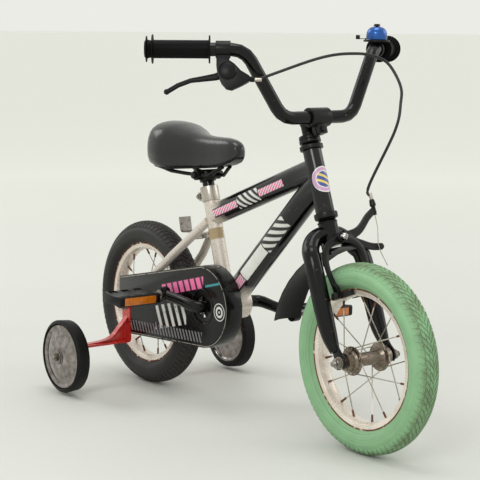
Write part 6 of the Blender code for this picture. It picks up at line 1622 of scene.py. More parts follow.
def arm_lower(side, fore):
    """The part of a caliper arm that goes round the tyre to the shoe, on the left or the right."""
    route = [(PIVOT_AT, 0.0, fore), (0.196, 0.023, fore), (0.184, 0.0355, fore), (0.168, 0.04, fore),
             (0.15, 0.0392, fore), (0.13, 0.0345, fore), (0.119, 0.0325, 0.025),
             (0.103, 0.0325, 0.025)]
    thick = CALIPER_THICK / 2
    sizes = [(thick, 0.008), (thick, 0.0068), (thick, 0.0062), (thick, 0.0058), (thick, 0.0052),
             (0.0032, 0.0046), (0.0062, 0.0036), (0.0062, 0.0036)]
    marks = smooth([Vector(row) for row in route], 6)
    sizes = [(spot.x, spot.y) for spot in smooth([Vector((*row, 0)) for row in sizes], 6)]
    path = [steer(spot.x, spot.z, spot.y * side) for spot in marks]
    corners = [(-1, -0.72), (-0.6, -0.94), (0, -1), (0.6, -0.94), (1, -0.72), (1, 0.72), (0.6, 0.94), (0, 1),
               (-0.6, 0.94), (-1, 0.72)]
    return sweep(path, sizes, HEAD_FORE, section=corners)


def arm_upper(points, fore):
    path = smooth([steer(s, fore, y) for s, y in points], 6)
    sizes = [(CALIPER_THICK / 2 - 0.0002, 0.008 - 0.0022 * i / (len(path) - 1)) for i in range(len(path))]
    corners = [(-1, -0.7), (0, -1), (1, -0.7), (1, 0.7), (0, 1), (-1, 0.7)]
    return sweep(path, sizes, HEAD_FORE, section=corners)


def build_shoe(side, name):
    """A rubber block on a domed bolt through the arm's foot."""
    face = RIM_GRIP_HALF + PAD_CLEARANCE
    pad = [(-0.0235, -0.0046), (0.0235, -0.0046), (0.025, 0), (0.0235, 0.0046), (-0.0235, 0.0046),
           (-0.025, 0)]
    place = frame_at(steer(PAD_AT, 0.025), HEAD_FORE, (0, -1, 0))
    block = slab(pad, -face - 0.0095, -face, place)
    at = frame_at(steer(PAD_AT, 0.025), HEAD_FORE, AXIS_Y)
    inner_arm = 0.0325 - 0.0036
    outer_arm = 0.0325 + 0.0036 + SEAT_GAP
    bolt = turned([(0.0045, face + 0.007), (0.0045, inner_arm - SEAT_GAP),
                   (0.003, inner_arm - SEAT_GAP),
                   (0.003, outer_arm), (0.0058, outer_arm), (0.0052, outer_arm + 0.006)], at)
    shape = fused([block, bolt])
    keep("brake_shoe_" + name, on_side(shape, side), "brake_rubber", sharp=40)


def build_brake_wire(fore):
    """The inner wire from the adjuster down past the pinch bolt, with its cut end."""
    start = steer(ADJUSTER[0] - BARREL_BELOW - SEAT_GAP, fore, ADJUSTER[1])
    route = [start, steer(0.215, fore - 0.0005, 0.083), steer(PINCH[0] + 0.007, fore, PINCH[1] - 0.007),
             steer(PINCH[0], fore, PINCH[1] - 0.0072), steer(0.169, fore, 0.079),
             steer(0.148, fore + 0.002, 0.085)]
    wire = sweep(smooth(route, 2), (0.0008, 0.0008), HEAD_FORE, 5)
    keep("brake_wire", wire, "steel")


def build_caliper():
    """Side-pull arms in two layers; the left one carries the adjuster, the right one the pinch bolt."""
    layer = CALIPER_THICK + 0.0006
    low = CALIPER_FORE + CALIPER_THICK / 2
    high = low + layer
    pivot = frame_at(steer(PIVOT_AT), AXIS_Y, HEAD_FORE)
    hole = [(PIVOT_RADIUS + RUN_GAP, 0), (PIVOT_RADIUS + RUN_GAP, 0.05)]
    stud = PIVOT_RADIUS + SEAT_GAP
    for side, fore, name in ((-1, low, "right"), (1, high, "left")):
        thick = CALIPER_THICK / 2 + 0.0001
        boss = pillar(pivot, 0.0085, fore - thick, fore + thick)
        parts = [arm_lower(side, fore), boss]
        if side < 0:
            parts.append(arm_upper([(PIVOT_AT, 0), (0.196, 0.03), (PINCH[0] + 0.002, PINCH[1] - 0.02),
                                    (PINCH[0], PINCH[1] + 0.004)], fore))
            at = frame_at(steer(PINCH[0], 0, PINCH[1]), AXIS_Y, HEAD_FORE)
            bolt = [(0.0052, fore - 0.007), (0.0048, fore), (0.003, fore + 0.0034),
                    (0.0056, fore + 0.0044)]
            parts.append(turned(bolt, at))
        else:
            parts.append(arm_upper([(PIVOT_AT, 0), (0.2117, 0.0434 - 0.006), (0.234, 0.065),
                                    (ADJUSTER[0] - 0.001, ADJUSTER[1] + 0.002)], fore))
            at = frame_at(steer(0, fore, ADJUSTER[1]), AXIS_Y, HEAD_WAY)
            s = ADJUSTER[0]
            barrel = [(0.0036, s - BARREL_BELOW), (0.0036, s + 0.0045), (0.0056, s + 0.0055),
                      (0.0044, s + 0.016)]
            parts.append(turned(barrel, at))
        end = steer(PAD_AT, 0.025)
        cuts = [turned(hole, pivot), rod(end, end + AXIS_Y * side * 0.06, stud)]
        keep("caliper_arm_" + name, fused(parts, cuts), "black_steel", sharp=40)
        build_shoe(side, name)
    build_brake_wire(high)


THREAD_PITCH = 0.001


def hex_nut(place, flats, low, high):
    """A nut with six flats, domed a little outside, over a thread that stands proud of it."""
    corner = flats / sqrt(3)
    bm = slab(circle(corner, 6, pi / 6), low, high, place, 0.0)
    trimmed = turned([(corner * 1.05, low - 0.001), (corner * 1.05, high - corner * 0.22),
                      (corner * 0.86, high), (0, high)], place, 48, False, 0.0)
    return mesh_to_bmesh(boolean(mesh_from(bm), mesh_from(trimmed), "INTERSECT"))


def thread(place, radius, low, high):
    """A threaded end: fine rings a millimetre apart, with a small cone at its tip."""
    rings = int((high - low) / THREAD_PITCH)
    profile = [(radius * 0.9, low)]
    for i in range(rings):
        profile += [(radius, low + THREAD_PITCH * (i + 0.4)), (radius * 0.86, low + THREAD_PITCH * (i + 1))]
    return turned(profile + [(radius * 0.7, high)], place, 24, False, 0.0)


def washer(place, outer, inner, low, high):
    return turned(sleeve(outer, inner, low, high), place, closed=True, ease=0.0003)


def build_front_axle():
    r = FRONT_AXLE_RADIUS
    nut = FORK_HALF_GAP + FORK_TIP_THICK + SEAT_GAP
    half = [(r, 0.0469), (0.009, FORK_HALF_GAP - SEAT_GAP), (r, FORK_HALF_GAP - SEAT_GAP), (r, nut + 0.004)]
    shapes = [across_y([(radius, -y) for radius, y in reversed(half)] + half, FRONT_HUB)]
    for side in (1, -1):
        place = frame_at(FRONT_HUB, (1, 0, 0), AXIS_Y * side)
        shapes.append(washer(place, 0.0102, r, nut, nut + 0.0016))
        shapes.append(hex_nut(place, 0.015, nut + 0.0018, nut + 0.0098))
        shapes.append(thread(place, r, nut + 0.009, nut + 0.0165))
    keep("front_axle", gathered(shapes), "zinc")


# Seat
SADDLE_STATIONS = [(0.0, 0.36, 0.6, 0.33), (0.024, 0.66, 0.83, 0.2), (0.076, 0.89, 0.975, 0.095),
                   (0.15, 0.99, 1.0, 0.03), (0.25, 1.0, 0.975, 0.0), (0.345, 0.86, 0.905, 0.01),
                   (0.44, 0.66, 0.83, 0.035), (0.535, 0.5, 0.775, 0.06), (0.65, 0.4, 0.745, 0.085),
                   (0.765, 0.35, 0.745, 0.135), (0.86, 0.325, 0.74, 0.195), (0.935, 0.28, 0.7, 0.27),
                   (0.98, 0.195, 0.62, 0.35), (1.0, 0.09, 0.52, 0.42)]


def saddle_x(along):
    return SEAT_TOP.x - SADDLE_BACK + SADDLE_LENGTH * along


def saddle_station(row):
    along, wide, top, low = row
    x = saddle_x(along)
    base = SADDLE_TOP - SADDLE_DEPTH
    return x, SADDLE_HALF_WIDTH * wide, base + SADDLE_DEPTH * top, base + SADDLE_DEPTH * low


def pan_height(along):
    """Height of the cover's lower edge at a share of the saddle's length."""
    for (a, _, _, low_a), (b, _, _, low_b) in zip(SADDLE_STATIONS, SADDLE_STATIONS[1:]):
        if a <= along <= b:
            return SADDLE_TOP - SADDLE_DEPTH * (1 - low_a - (low_b - low_a) * (along - a) / (b - a))


def rail_route():
    """The left rail from the nose back, level where the clamp holds it, its ends let into the pan."""
    dip = PAN_DEPTH + RAIL_RADIUS * 0.4
    return [Vector((saddle_x(0.815), 0.008, pan_height(0.815) - dip)),
            CLAMP_AT + Vector((0.0272, 0.018, 0)),
            CLAMP_AT + Vector((-0.0407, 0.0215, 0)),
            CLAMP_AT + Vector((-0.0757, 0.028, 0.002)),
            Vector((saddle_x(0.164), 0.033, pan_height(0.164) - dip))]


def build_saddle():
    """Padded cover with a domed top and drawn-in sides, over a pan with two rails."""
    build_saddle_cover()
    pan = []
    for row in SADDLE_STATIONS:
        x, half, _, low = saddle_station(row)
        if 0.02 < row[0] < 0.99:
            shelf = ((-0.84, -SEAT_GAP), (0.84, -SEAT_GAP), (0.8, -PAN_DEPTH), (-0.8, -PAN_DEPTH))
            pan.append([Vector((x, y * half, low + z)) for y, z in shelf])
    rails = [skin(pan)]
    for side in (1, -1):
        rails.append(on_side(sweep(rail_route(), (RAIL_RADIUS, RAIL_RADIUS), AXIS_Z), side))
    keep("saddle_base", fused(rails), "black_plastic", sharp=40)
    barrel = rod(SEAT_TOP + SEAT_WAY * 0.011, POST_TOP + SEAT_WAY * 0.0016, 0.0152)
    jaws = drum(CLAMP_AT, 0.0095, -0.027, 0.027)
    bolt = drum(CLAMP_AT, 0.0062, -0.033, 0.033)
    cuts = [rod(SEAT_TOP, POST_TOP + SEAT_WAY * SEAT_GAP, POST_RADIUS + SEAT_GAP)]
    for side in (1, -1):
        groove = RAIL_RADIUS + RUN_GAP
        cuts.append(on_side(sweep(rail_route()[1:3], (groove, groove), AXIS_Z), side))
    keep("saddle_clamp", fused([barrel, jaws, bolt], cuts), "black_steel")
    foot = SEAT_TOP - SEAT_WAY * POST_INSERT
    keep("seat_post", rod(foot, POST_TOP, POST_RADIUS), "gloss_black")


# Geometry Nodes for what repeats
def node_group(name, inputs):
    """A new geometry group with named inputs, and its input and output nodes."""
    tree = bpy.data.node_groups.new(name, "GeometryNodeTree")
    for label, kind in inputs:
        tree.interface.new_socket(label, in_out="INPUT", socket_type="NodeSocket" + kind)
    tree.interface.new_socket("Geometry", in_out="OUTPUT", socket_type="NodeSocketGeometry")
    return tree, add(tree, "NodeGroupInput"), add(tree, "NodeGroupOutput")


def finish_group(tree, into, out, instances):
    """End a group with realised copies in one material."""
    real = add(tree, "GeometryNodeRealizeInstances", {}, {0: instances})
    done = add(tree, "GeometryNodeSetMaterial", {}, {0: real.outputs[0], "Material": into.outputs["Finish"]})
    tree.links.new(done.outputs[0], out.inputs[0])


def ring_group():
    """Copies of a unit, drawn about the origin, spread round an axis along Y."""
    tree, into, out = node_group("ring_of_copies", [("Unit", "Geometry"), ("Count", "Int"),
                                                    ("Centre", "Vector"), ("Finish", "Material")])
    spots = add(tree, "GeometryNodePoints", {}, {"Count": into.outputs["Count"],
                                                 "Position": into.outputs["Centre"]})
    step = add(tree, "ShaderNodeMath", {"operation": "DIVIDE", 0: 2 * pi}, {1: into.outputs["Count"]})
    index = add(tree, "GeometryNodeInputIndex")
    turn = add(tree, "ShaderNodeMath", {"operation": "MULTIPLY"}, {0: index.outputs[0], 1: step.outputs[0]})
    way = add(tree, "ShaderNodeCombineXYZ", {}, {"Y": turn.outputs[0]})
    copies = add(tree, "GeometryNodeInstanceOnPoints", {}, {"Points": spots.outputs[0],
                                                            "Instance": into.outputs["Unit"],
                                                            "Rotation": way.outputs[0]})
    finish_group(tree, into, out, copies.outputs[0])
    return tree


def marks_group():
    """Copies of a unit at marked points, each turned as its mark says."""
    tree, into, out = node_group("copies_at_marks", [("Marks", "Geometry"), ("Unit", "Object"),
                                                     ("Finish", "Material")])
    unit = add(tree, "GeometryNodeObjectInfo", {}, {"Object": into.outputs["Unit"]})
    turn = add(tree, "GeometryNodeInputNamedAttribute", {"data_type": "FLOAT_VECTOR", "Name": "turn"})
    copies = add(tree, "GeometryNodeInstanceOnPoints", {}, {"Points": into.outputs["Marks"],
                                                            "Instance": unit.outputs["Geometry"],
                                                            "Rotation": turn.outputs[0]})
    finish_group(tree, into, out, copies.outputs[0])
    return tree


def grown(mesh, tree, inputs):
    """The plain mesh that a geometry group makes from a mesh and its named inputs."""
    obj = bpy.data.objects.new("grown", mesh)
    bpy.context.scene.collection.objects.link(obj)
    modifier = obj.modifiers.new("grow", "NODES")
    modifier.node_group = tree
    for item in tree.interface.items_tree:
        if item.name in inputs:
            modifier[item.identifier] = inputs[item.name]
    bpy.context.view_layer.update()
    shown = obj.evaluated_get(bpy.context.evaluated_depsgraph_get())
    result = bpy.data.meshes.new_from_object(shown)
    bpy.data.objects.remove(obj)
    return result


def ring_of(unit, count, centre, finish):
    """Copies of a shape drawn about the origin, all round a wheel's axis."""
    return grown(mesh_from(unit), ring_group(), {"Count": count, "Centre": tuple(centre),
                                                 "Finish": FINISHES[finish]})


def copies_at(places, unit, finish):
    """Copies of a shape drawn about the origin, one in each place."""
    mesh = bpy.data.meshes.new("marks")
    mesh.from_pydata([place.translation for place in places], [], [])
    turns = mesh.attributes.new("turn", "FLOAT_VECTOR", "POINT")
    for mark, place in zip(turns.data, places):
        mark.vector = place.to_euler()
    model = bpy.data.objects.new("unit", mesh_from(unit))
    bpy.context.scene.collection.objects.link(model)
    result = grown(mesh, marks_group(), {"Unit": model, "Finish": FINISHES[finish]})
    bpy.data.objects.remove(model)
    return result


def gathered(meshes):
    """Several meshes as one shape."""
    bm = bmesh.new()
    for mesh in meshes:
        if isinstance(mesh, bmesh.types.BMesh):
            mesh = mesh_from(mesh)
        bm.from_mesh(mesh)
    return bm


# Wheels
def tyre_section(depth):
    """Half of a tyre's section, from the bead out to the middle of the tread, less the tread."""
    half = TYRE_WIDTH / 2
    seat = RIM_RADIUS
    marks = [(seat - 0.0087, 0.006), (seat - 0.003, 0.0115), (seat + 0.0008, 0.0138),
             (seat + 0.009, half - 0.0022),
             (seat + 0.018, half - 0.0004), (seat + 0.0262, half - 0.0018),
             (TYRE_RADIUS - 0.009, half - 0.0062),
             (TYRE_RADIUS - 0.0036, 0.014), (TYRE_RADIUS - 0.0008, 0.007), (TYRE_RADIUS, 0.0)]
    curve = smooth([Vector((r, y, 0)) for r, y in marks], 8)
    points = []
    for spot in curve:
        r, y = spot.x, spot.y
        crown = min(1, max(0, (r - (seat + 0.024)) / 0.004))
        ribbed = 1 if seat + 0.003 < r < seat + 0.0205 else 0
        wave = ribbed * 0.00022 * cos(2 * pi * (r - seat) / 0.0028)
        points.append((r - depth * crown, y + wave))
    return points


def section_radius(section, y):
    """The tyre's radius at a distance from its middle, on the tread side."""
    tread = [(b, a) for a, b in section if a > RIM_RADIUS + 0.018]
    for (y0, r0), (y1, r1) in zip(tread, tread[1:]):
        if min(y0, y1) <= y <= max(y0, y1) and y0 != y1:
            return r0 + (r1 - r0) * (y - y0) / (y1 - y0)
    return tread[0][1] if y > tread[0][0] else tread[-1][1]


def tread_block(section, first, last, start, finish, half, depth):
    """A block on the tyre from y first to y last; its middle turns from start to finish."""
    rings = []
    steps = 4
    for i in range(steps + 1):
        t = i / steps
        y = first + (last - first) * t
        turn = start + (finish - start) * t
        low = section_radius(section, abs(y)) - 0.0006
        drop = 0.0003 if i in (0, steps) else 0.0
        high = low + 0.0006 + depth - drop
        ring = []
        for radius, lean in ((low, -1), (high, -0.86), (high, 0.86), (low, 1)):
            angle = turn + lean * half
            ring.append(Vector((radius * cos(angle), y, radius * sin(angle))))
        rings.append(ring)
    return skin(rings)


def build_tyre(name, centre):
    depth = trim().tread_depth
    section = tyre_section(depth)
    profile = [(r, -y) for r, y in section] + section[-2::-1]
    carcass = across_y(profile, centre, 120, True, 0)
    count = trim().tread_blocks
    pitch = 2 * pi / count
    blocks = []
    if name == "front":
        rows = [(0.0004, 0.006, 0.0, 0.75, 0.42), (0.0068, 0.0126, 0.8, 1.55, 0.42),
                (0.0134, 0.0206, 1.6, 1.95, 0.42)]
    else:
        rows = [(0.0006, 0.0056, 0.0, 0.6, 0.36), (0.0066, 0.0122, 0.65, 1.1, 0.38),
                (0.0132, 0.0204, 1.1, 1.3, 0.36)]
    for first, last, start, finish, half in rows:
        for face, shift in ((1, 0.0), (-1, 0.5)):
            blocks.append(tread_block(section, face * first, face * last, (start + shift) * pitch,
                                      (finish + shift) * pitch, half * pitch, depth))
    tread = ring_of(gathered(blocks), count, centre, "tyre_" + name)
    piece("%s_tyre_shown" % name, gathered([carcass, tread]), "tyre_" + name, [name + "_tyre"], sharp=40)


def build_rim(name, centre):
    wall = RIM_WIDTH / 2
    seat = RIM_RADIUS
    inner = seat - RIM_DEPTH
    side = [(inner, 0.006), (inner + 0.0012, 0.0078), (inner + 0.0034, wall - 0.0014),
            (seat - 0.0024, wall - 0.0008),
            (seat + 0.0002, wall), (seat + 0.001, wall - 0.001), (seat - 0.0004, wall - 0.0022),
            (seat - 0.009, wall - 0.0036)]
    profile = [(r, -y) for r, y in reversed(side)] + side
    keep(name + "_rim", across_y(profile, centre, 120, True, 0.0008), "rim_steel", 25)


def spoke_unit(flange, turn):
    """Four spokes with their nipples, drawn about the hub: a pair on each flange, crossed."""
    inner = RIM_RADIUS - RIM_DEPTH
    spokes, nipples = [], []
    for i in range(4):
        face = 1 if i % 2 else -1
        lead = 1 if (i // 2) % 2 else -1
        nip = turn + i * 2 * pi / SPOKES
        root = nip + lead * SPOKE_LEAN
        start = Vector((cos(root), 0, sin(root))) * (flange - 0.0035)
        start = start + AXIS_Y * (face * FLANGE_HALF_GAP + lead * 0.0016)
        stop = Vector((cos(nip), 0, sin(nip))) * (inner + 0.0008) + AXIS_Y * (face * 0.002)
        way = (stop - start).normalized()
        long = (stop - start).length
        head = start - AXIS_Y * lead * 0.003
        spokes.append(sweep([head, start - AXIS_Y * lead * 0.0006, start + way * 0.001, stop - way * 0.004],
                            (SPOKE_RADIUS, SPOKE_RADIUS), AXIS_Z, 10))
        spokes.append(turned([(0.0017, 0), (0.0019, 0.0005), (0.0012, 0.0009)],
                             frame_at(head - AXIS_Y * lead * 0.0002, (1, 0, 0), AXIS_Y * lead), 12, ease=0))
        r = trim().nipple_radius
        nipples.append(turned([(0.0013, long - 0.0125), (r * 0.86, long - 0.0118), (r * 0.86, long - 0.003),
                               (r, long - 0.0022), (r, long)], frame_at(start, AXIS_Y, way), 12,
                               ease=0.0002))
    return gathered(spokes), gathered(nipples)


def build_hub(name, centre, flange, barrel, ends, bore, turn):
    fl = FLANGE_HALF_GAP
    low, high = ends
    b = barrel
    shell = [(0.0145, low), (0.015, -fl - 0.0055), (flange - 0.006, -fl - 0.0016), (flange, -fl - 0.0012),
             (flange, -fl + 0.0012), (flange - 0.007, -fl + 0.0022), (b + 0.0006, -fl + 0.0075),
             (b, -fl + 0.012),
             (b, fl - 0.012), (b + 0.0006, fl - 0.0075), (flange - 0.007, fl - 0.0022),
             (flange, fl - 0.0012),
             (flange, fl + 0.0012), (flange - 0.006, fl + 0.0016), (0.015, fl + 0.0055), (0.0145, high)]
    shape = across_y([(bore, low)] + shell + [(bore, high)], centre, 64, True)
    keep(name + "_hub", shape, "hub_chrome", 30)
    spokes, nipples = spoke_unit(flange, -turn)
    body = BODY_OF[name + "_hub"]
    piece(name + "_spokes", ring_of(spokes, 4, centre, "steel"), "steel", body=body)
    piece(name + "_nipples", ring_of(nipples, 4, centre, "rusty_steel"), "rusty_steel", body=body)


# Chain
def link_plate(low, high, waist):
    """A plate round two pins, its middle drawn in."""
    half = CHAIN_PITCH / 2
    tall = LINK_HEIGHT / 2
    outline = []
    for x, first, last in ((half, -115, 115), (-half, 65, 295)):
        outline += arc((x, 0), tall, first, last, 7)
    spots = outline[:8] + [(0, waist)] + outline[8:] + [(0, -waist)]
    return slab(spots, low, high, frame_at((0, 0, 0), (1, 0, 0), (0, -1, 0)), 0.0002)


def build_chain():
    """Inner and outer links by turns along the pins, each with its rollers or rivets."""
    pins = chain_pins()
    inner = ROLLER_HALF + PLATE_THICK
    places = [[], []]
    for i, pin in enumerate(pins):
        after = pins[(i + 1) % len(pins)]
        way = (after - pin).normalized()
        places[i % 2].append(frame_at((pin + after) / 2, way, (-way).cross(AXIS_Y)))
    outer, inside = [], []
    for sign in (1, -1):
        flat = (inner + 0.0001, inner + PLATE_THICK) if sign > 0 else (-inner - PLATE_THICK, -inner - 0.0001)
        outer.append(link_plate(*flat, 0.0028))
        flat = (ROLLER_HALF, inner) if sign > 0 else (-inner, -ROLLER_HALF)
        inside.append(link_plate(*flat, 0.003))
        spot = Vector((CHAIN_PITCH / 2 * sign, 0, 0))
        reach = inner + PLATE_THICK + 0.0003
        outer.append(across_y([(0.0018, -reach), (0.0018, reach)], spot, 10, ease=0.0003))
        inside.append(across_y([(0.0037, -ROLLER_HALF), (0.0037, ROLLER_HALF)], spot, 14, ease=0.0003))
    shapes = [copies_at(places[0], gathered(outer), "dark_steel"),
              copies_at(places[1], gathered(inside), "dark_steel")]
    keep("chain", gathered(shapes), "dark_steel", 30)


# Cable
def cable_path():
    place = control_place()
    stop = place @ Vector((CABLE_STOP[0] - SEAT_GAP, CABLE_STOP[1], 0.005))
    lead = place @ Vector((CABLE_STOP[0] - 0.024, CABLE_STOP[1] + 0.0016, 0.005))
    fore = CALIPER_FORE + CALIPER_THICK * 1.5 + 0.0006
    foot = steer(ADJUSTER[0] + 0.016 + SEAT_GAP, fore, ADJUSTER[1])
    rise = steer(ADJUSTER[0] + 0.04, fore + 0.0003, ADJUSTER[1] + 0.0003)
    climb = STEM_HEIGHT - ADJUSTER[0]
    route = [steer(ADJUSTER[0] + climb * share, ahead, left) for share, ahead, left in HOUSING_ROUTE]
    first = stop + (lead - stop).normalized() * 0.004
    last = foot + HEAD_WAY * 0.004
    return [stop] + smooth([first] + route[1:-1] + [rise, last], 12) + [foot]


def build_cable():
    """Ribless vinyl casing with a metal ferrule at each end."""
    path = cable_path()
    casing = sweep(path[1:-1], (0.0025, 0.0025), AXIS_Z, 16)
    ends = []
    for tip, inward in ((path[0], path[1]), (path[-1], path[-2])):
        way = (inward - tip).normalized()
        ends.append(turned([(0.003, 0), (0.003, 0.0105), (0.0026, 0.0115)], frame_at(tip, AXIS_Y, way),
                           24))
    keep("brake_cable", gathered([casing]), "casing_black")
    piece("cable_ferrules", gathered(ends), "steel", body=BODY_OF["brake_cable"])


# Films stuck on the tubes
def tube_film(name, start, end, radius, span, reach, finish, body=None):
    """A thin film on the right of a tube: span is (from, to) along it, reach is (low, high) degrees."""
    way = (end - start).normalized()
    place = frame_at(start, -AXIS_Y, way)
    thick = trim().print_thickness
    long, round_steps = 24, 20
    bm = bmesh.new()
    layer = bm.loops.layers.uv.new("film")
    sheets = []
    for height in (0.00005, thick):
        rows = []
        for i in range(long + 1):
            u = i / long
            row = []
            for j in range(round_steps + 1):
                v = j / round_steps
                turn = radians(reach[0] + (reach[1] - reach[0]) * v)
                r = radius + height
                spot = Vector((r * cos(turn), r * sin(turn), span[0] + (span[1] - span[0]) * u))
                row.append((bm.verts.new(place @ spot), (u, v)))
            rows.append(row)
        sheets.append(rows)

    def face(corners):
        made = bm.faces.new([corner[0] for corner in corners])
        for loop, corner in zip(made.loops, corners):
            loop[layer].uv = corner[1]

    low, high = sheets
    for i in range(long):
        for j in range(round_steps):
            face((high[i][j], high[i][j + 1], high[i + 1][j + 1], high[i + 1][j]))
            face((low[i][j], low[i + 1][j], low[i + 1][j + 1], low[i][j + 1]))
    for i in range(long):
        face((low[i][0], high[i][0], high[i + 1][0], low[i + 1][0]))
        face((low[i][-1], low[i + 1][-1], high[i + 1][-1], high[i][-1]))
    for j in range(round_steps):
        face((low[0][j], low[0][j + 1], high[0][j + 1], high[0][j]))
        face((low[-1][j], high[-1][j], high[-1][j + 1], low[-1][j + 1]))
    return piece(name, bm, finish, body=body or BODY_OF["frame"], sharp=60)


def build_films():
    top = (SEAT_TOP - SEAT_WAY * TOP_TUBE_BELOW, steer(HEAD_HIGH - 0.0328))
    down = (BB, steer(HEAD_HIGH - 0.056))
    tube_film("pink_film_rear", *top, TOP_TUBE_RADIUS, (0.026, 0.1), (-14, 34), "pink_film")
    tube_film("barred_film_top", *top, TOP_TUBE_RADIUS, (0.102, 0.165), (-26, 46), "barred_film")
    tube_film("pink_film_front", *top, TOP_TUBE_RADIUS, (0.167, 0.238), (-14, 34), "pink_film")
    tube_film("pink_film_low", *down, DOWN_TUBE_RADIUS, (0.05, 0.092), (-12, 44), "pink_film")
    tube_film("paper_label_down", *down, DOWN_TUBE_RADIUS, (0.094, 0.176), (-14, 42), "paper_label")
    tube_film("barred_film_high", *down, DOWN_TUBE_RADIUS, (0.178, 0.254), (-20, 50), "barred_film")


BADGE_RADIUS = 0.0225
BADGE_RINGS = 6
BADGE_SIDES = 40


def build_badge():
    """A thin round badge bent round the head tube, and the tape and films that aren't in a row."""
    centre = head_badge_centre()
    place = frame_at(steer(0), HEAD_FORE, HEAD_WAY)
    along = (centre - steer(0)).dot(HEAD_WAY)
    bm = bmesh.new()
    sheets = []
    for height in (0.00005, 0.0004):
        radius = HEAD_TUBE_RADIUS + height
        rows = [[bm.verts.new(place @ Vector((radius, 0, along)))]]
        for ring in range(1, BADGE_RINGS + 1):
            reach = BADGE_RADIUS * ring / BADGE_RINGS
            row = []
            for i in range(BADGE_SIDES):
                turn = 2 * pi * i / BADGE_SIDES
                side = reach * cos(turn) / radius
                row.append(bm.verts.new(place @ Vector((radius * cos(side), radius * sin(side),
                                                        along + reach * sin(turn)))))
            rows.append(row)
        sheets.append(rows)
    for rows, flip in zip(sheets, (True, False)):
        for a, b in zip(rows, rows[1:]):
            for i in range(BADGE_SIDES):
                j = (i + 1) % BADGE_SIDES
                loop = (a[0], b[i], b[j]) if len(a) == 1 else (a[i], b[i], b[j], a[j])
                bm.faces.new(reversed(loop) if flip else loop)
    low, high = sheets[0][-1], sheets[1][-1]
    for i in range(BADGE_SIDES):
        j = (i + 1) % BADGE_SIDES
        bm.faces.new((low[i], low[j], high[j], high[i]))
    piece("head_badge", bm, "round_badge", body=BODY_OF["frame"], sharp=60)
    tube_film("seat_tube_tape", BB, SEAT_TOP, SEAT_TUBE_RADIUS, (0.12, 0.14), (-80, 110), "tan_tape")
    leg_low, leg_high = steer(0.085, 0.0077, -LEG_Y), steer(0.168, 0.0075, -LEG_Y)
    tube_film("fork_film", leg_low, leg_high, LEG_RADIUS, (0.024, 0.068), (-20, 74), "barred_film",
              BODY_OF["fork"])


# Saddle
def build_saddle_cover():
    """Vinyl drawn over foam: a lofted crown with rounded flanks."""
    section = [(0.84, 0.0), (0.93, 0.035), (0.985, 0.15), (1.0, 0.32), (0.99, 0.47), (0.955, 0.61),
               (0.885, 0.74),
               (0.78, 0.84),
               (0.62, 0.915), (0.42, 0.965), (0.21, 0.992), (0.0, 1.0)]
    section = section + [(-y, z) for y, z in reversed(section[:-1])]
    stations = [Vector((a, w, t)) for a, w, t, _ in SADDLE_STATIONS]
    lows = [Vector((a, l, 0)) for a, _, _, l in SADDLE_STATIONS]
    fine = smooth(stations, 5)
    fine_low = smooth(lows, 5)
    rings = []
    for spot, low_spot in zip(fine, fine_low):
        x, half, top, low = saddle_station((spot.x, spot.y, spot.z, low_spot.y))
        rings.append([Vector((x, y * half, low + (top - low) * z)) for y, z in section])
    return keep("saddle", skin(rings), "saddle_vinyl", 60)


# Stage
FLOOR_HALF = 80.0
# Each softbox's name, place, width and power
SOFTBOXES = (("softbox_key", (1.9, -2.6, 2.4), 1.2, 30), ("softbox_fill", (1.4, 3.0, 1.8), 1.6, 14),
             ("softbox_back", (-2.6, -1.2, 2.4), 1.4, 16), ("softbox_top", (0.1, 0.0, 3.2), 1.4, 20))
CAMERA_LENS = 115.61
CAMERA_AT = (2.15131, -1.6619, 0.7012)
# The camera's right, its top and the way back from what it sees
CAMERA_AXES = ((0.60454, 0.79648, 0.01264), (-0.1191, 0.07468, 0.99007), (0.78762, -0.60004, 0.14001))


def build_stage():
    """A pale floor that runs out to the same pale surroundings, soft lights and the camera."""
    bm = bmesh.new()
    bmesh.ops.create_grid(bm, x_segments=8, y_segments=8, size=FLOOR_HALF)
    floor = bpy.data.objects.new("studio_floor", mesh_from(bm))
    bpy.context.scene.collection.objects.link(floor)
    floor.data.transform(Matrix.Translation((0, 0, -0.0004)))
    floor.data.materials.append(FINISHES["studio_floor"])
    world = bpy.data.worlds.new("studio_air")
    world.use_nodes = True
    bpy.context.scene.world = world
    air = world.node_tree.nodes["Background"]
    air.inputs["Color"].default_value = (*linear("#EBECE6"), 1)
    air.inputs["Strength"].default_value = 1.0
    bpy.context.scene.view_settings.view_transform = "Standard"
    for name, place, size, power in SOFTBOXES:
        lamp = bpy.data.lights.new(name, "AREA")
        lamp.size = size
        lamp.energy = power
        obj = bpy.data.objects.new(name, lamp)
        obj.matrix_world = frame_at(place, AXIS_Y, Vector(place) - Vector((0, 0, 0.3)))
        bpy.context.scene.collection.objects.link(obj)
    lens = bpy.data.cameras.new("camera")
    lens.lens = CAMERA_LENS
    lens.sensor_width = 36
    camera = bpy.data.objects.new("camera", lens)
    camera.matrix_world = Matrix.Translation(CAMERA_AT) @ Matrix(CAMERA_AXES).transposed().to_4x4()
    bpy.context.scene.collection.objects.link(camera)
    bpy.context.scene.camera = camera


# Operators, one for each group of pieces
class BICYCLE_OT_finishes(Operator):
    """Make the finishes that the pieces wear"""

    bl_idname = "bicycle.finishes"
    bl_label = "Finishes"

    def execute(self, context):
        make_metal_finishes()
        make_paint_finishes()
        make_rubber_finishes()
        make_plastic_finishes()
        make_print_finishes()
        return {"FINISHED"}


class BICYCLE_OT_frame(Operator):
    """Build the welded frame, the headset cups, the bottom bracket cups and the rear axle"""

    bl_idname = "bicycle.frame"
    bl_label = "Frame"

    def execute(self, context):
        build_frame()
        build_headset()
        build_bottom_bracket()
        build_seat_clamp()
        build_rear_axle()
        build_brake_arm()
        build_guard_clip()
        build_guard_tab()
        return {"FINISHED"}


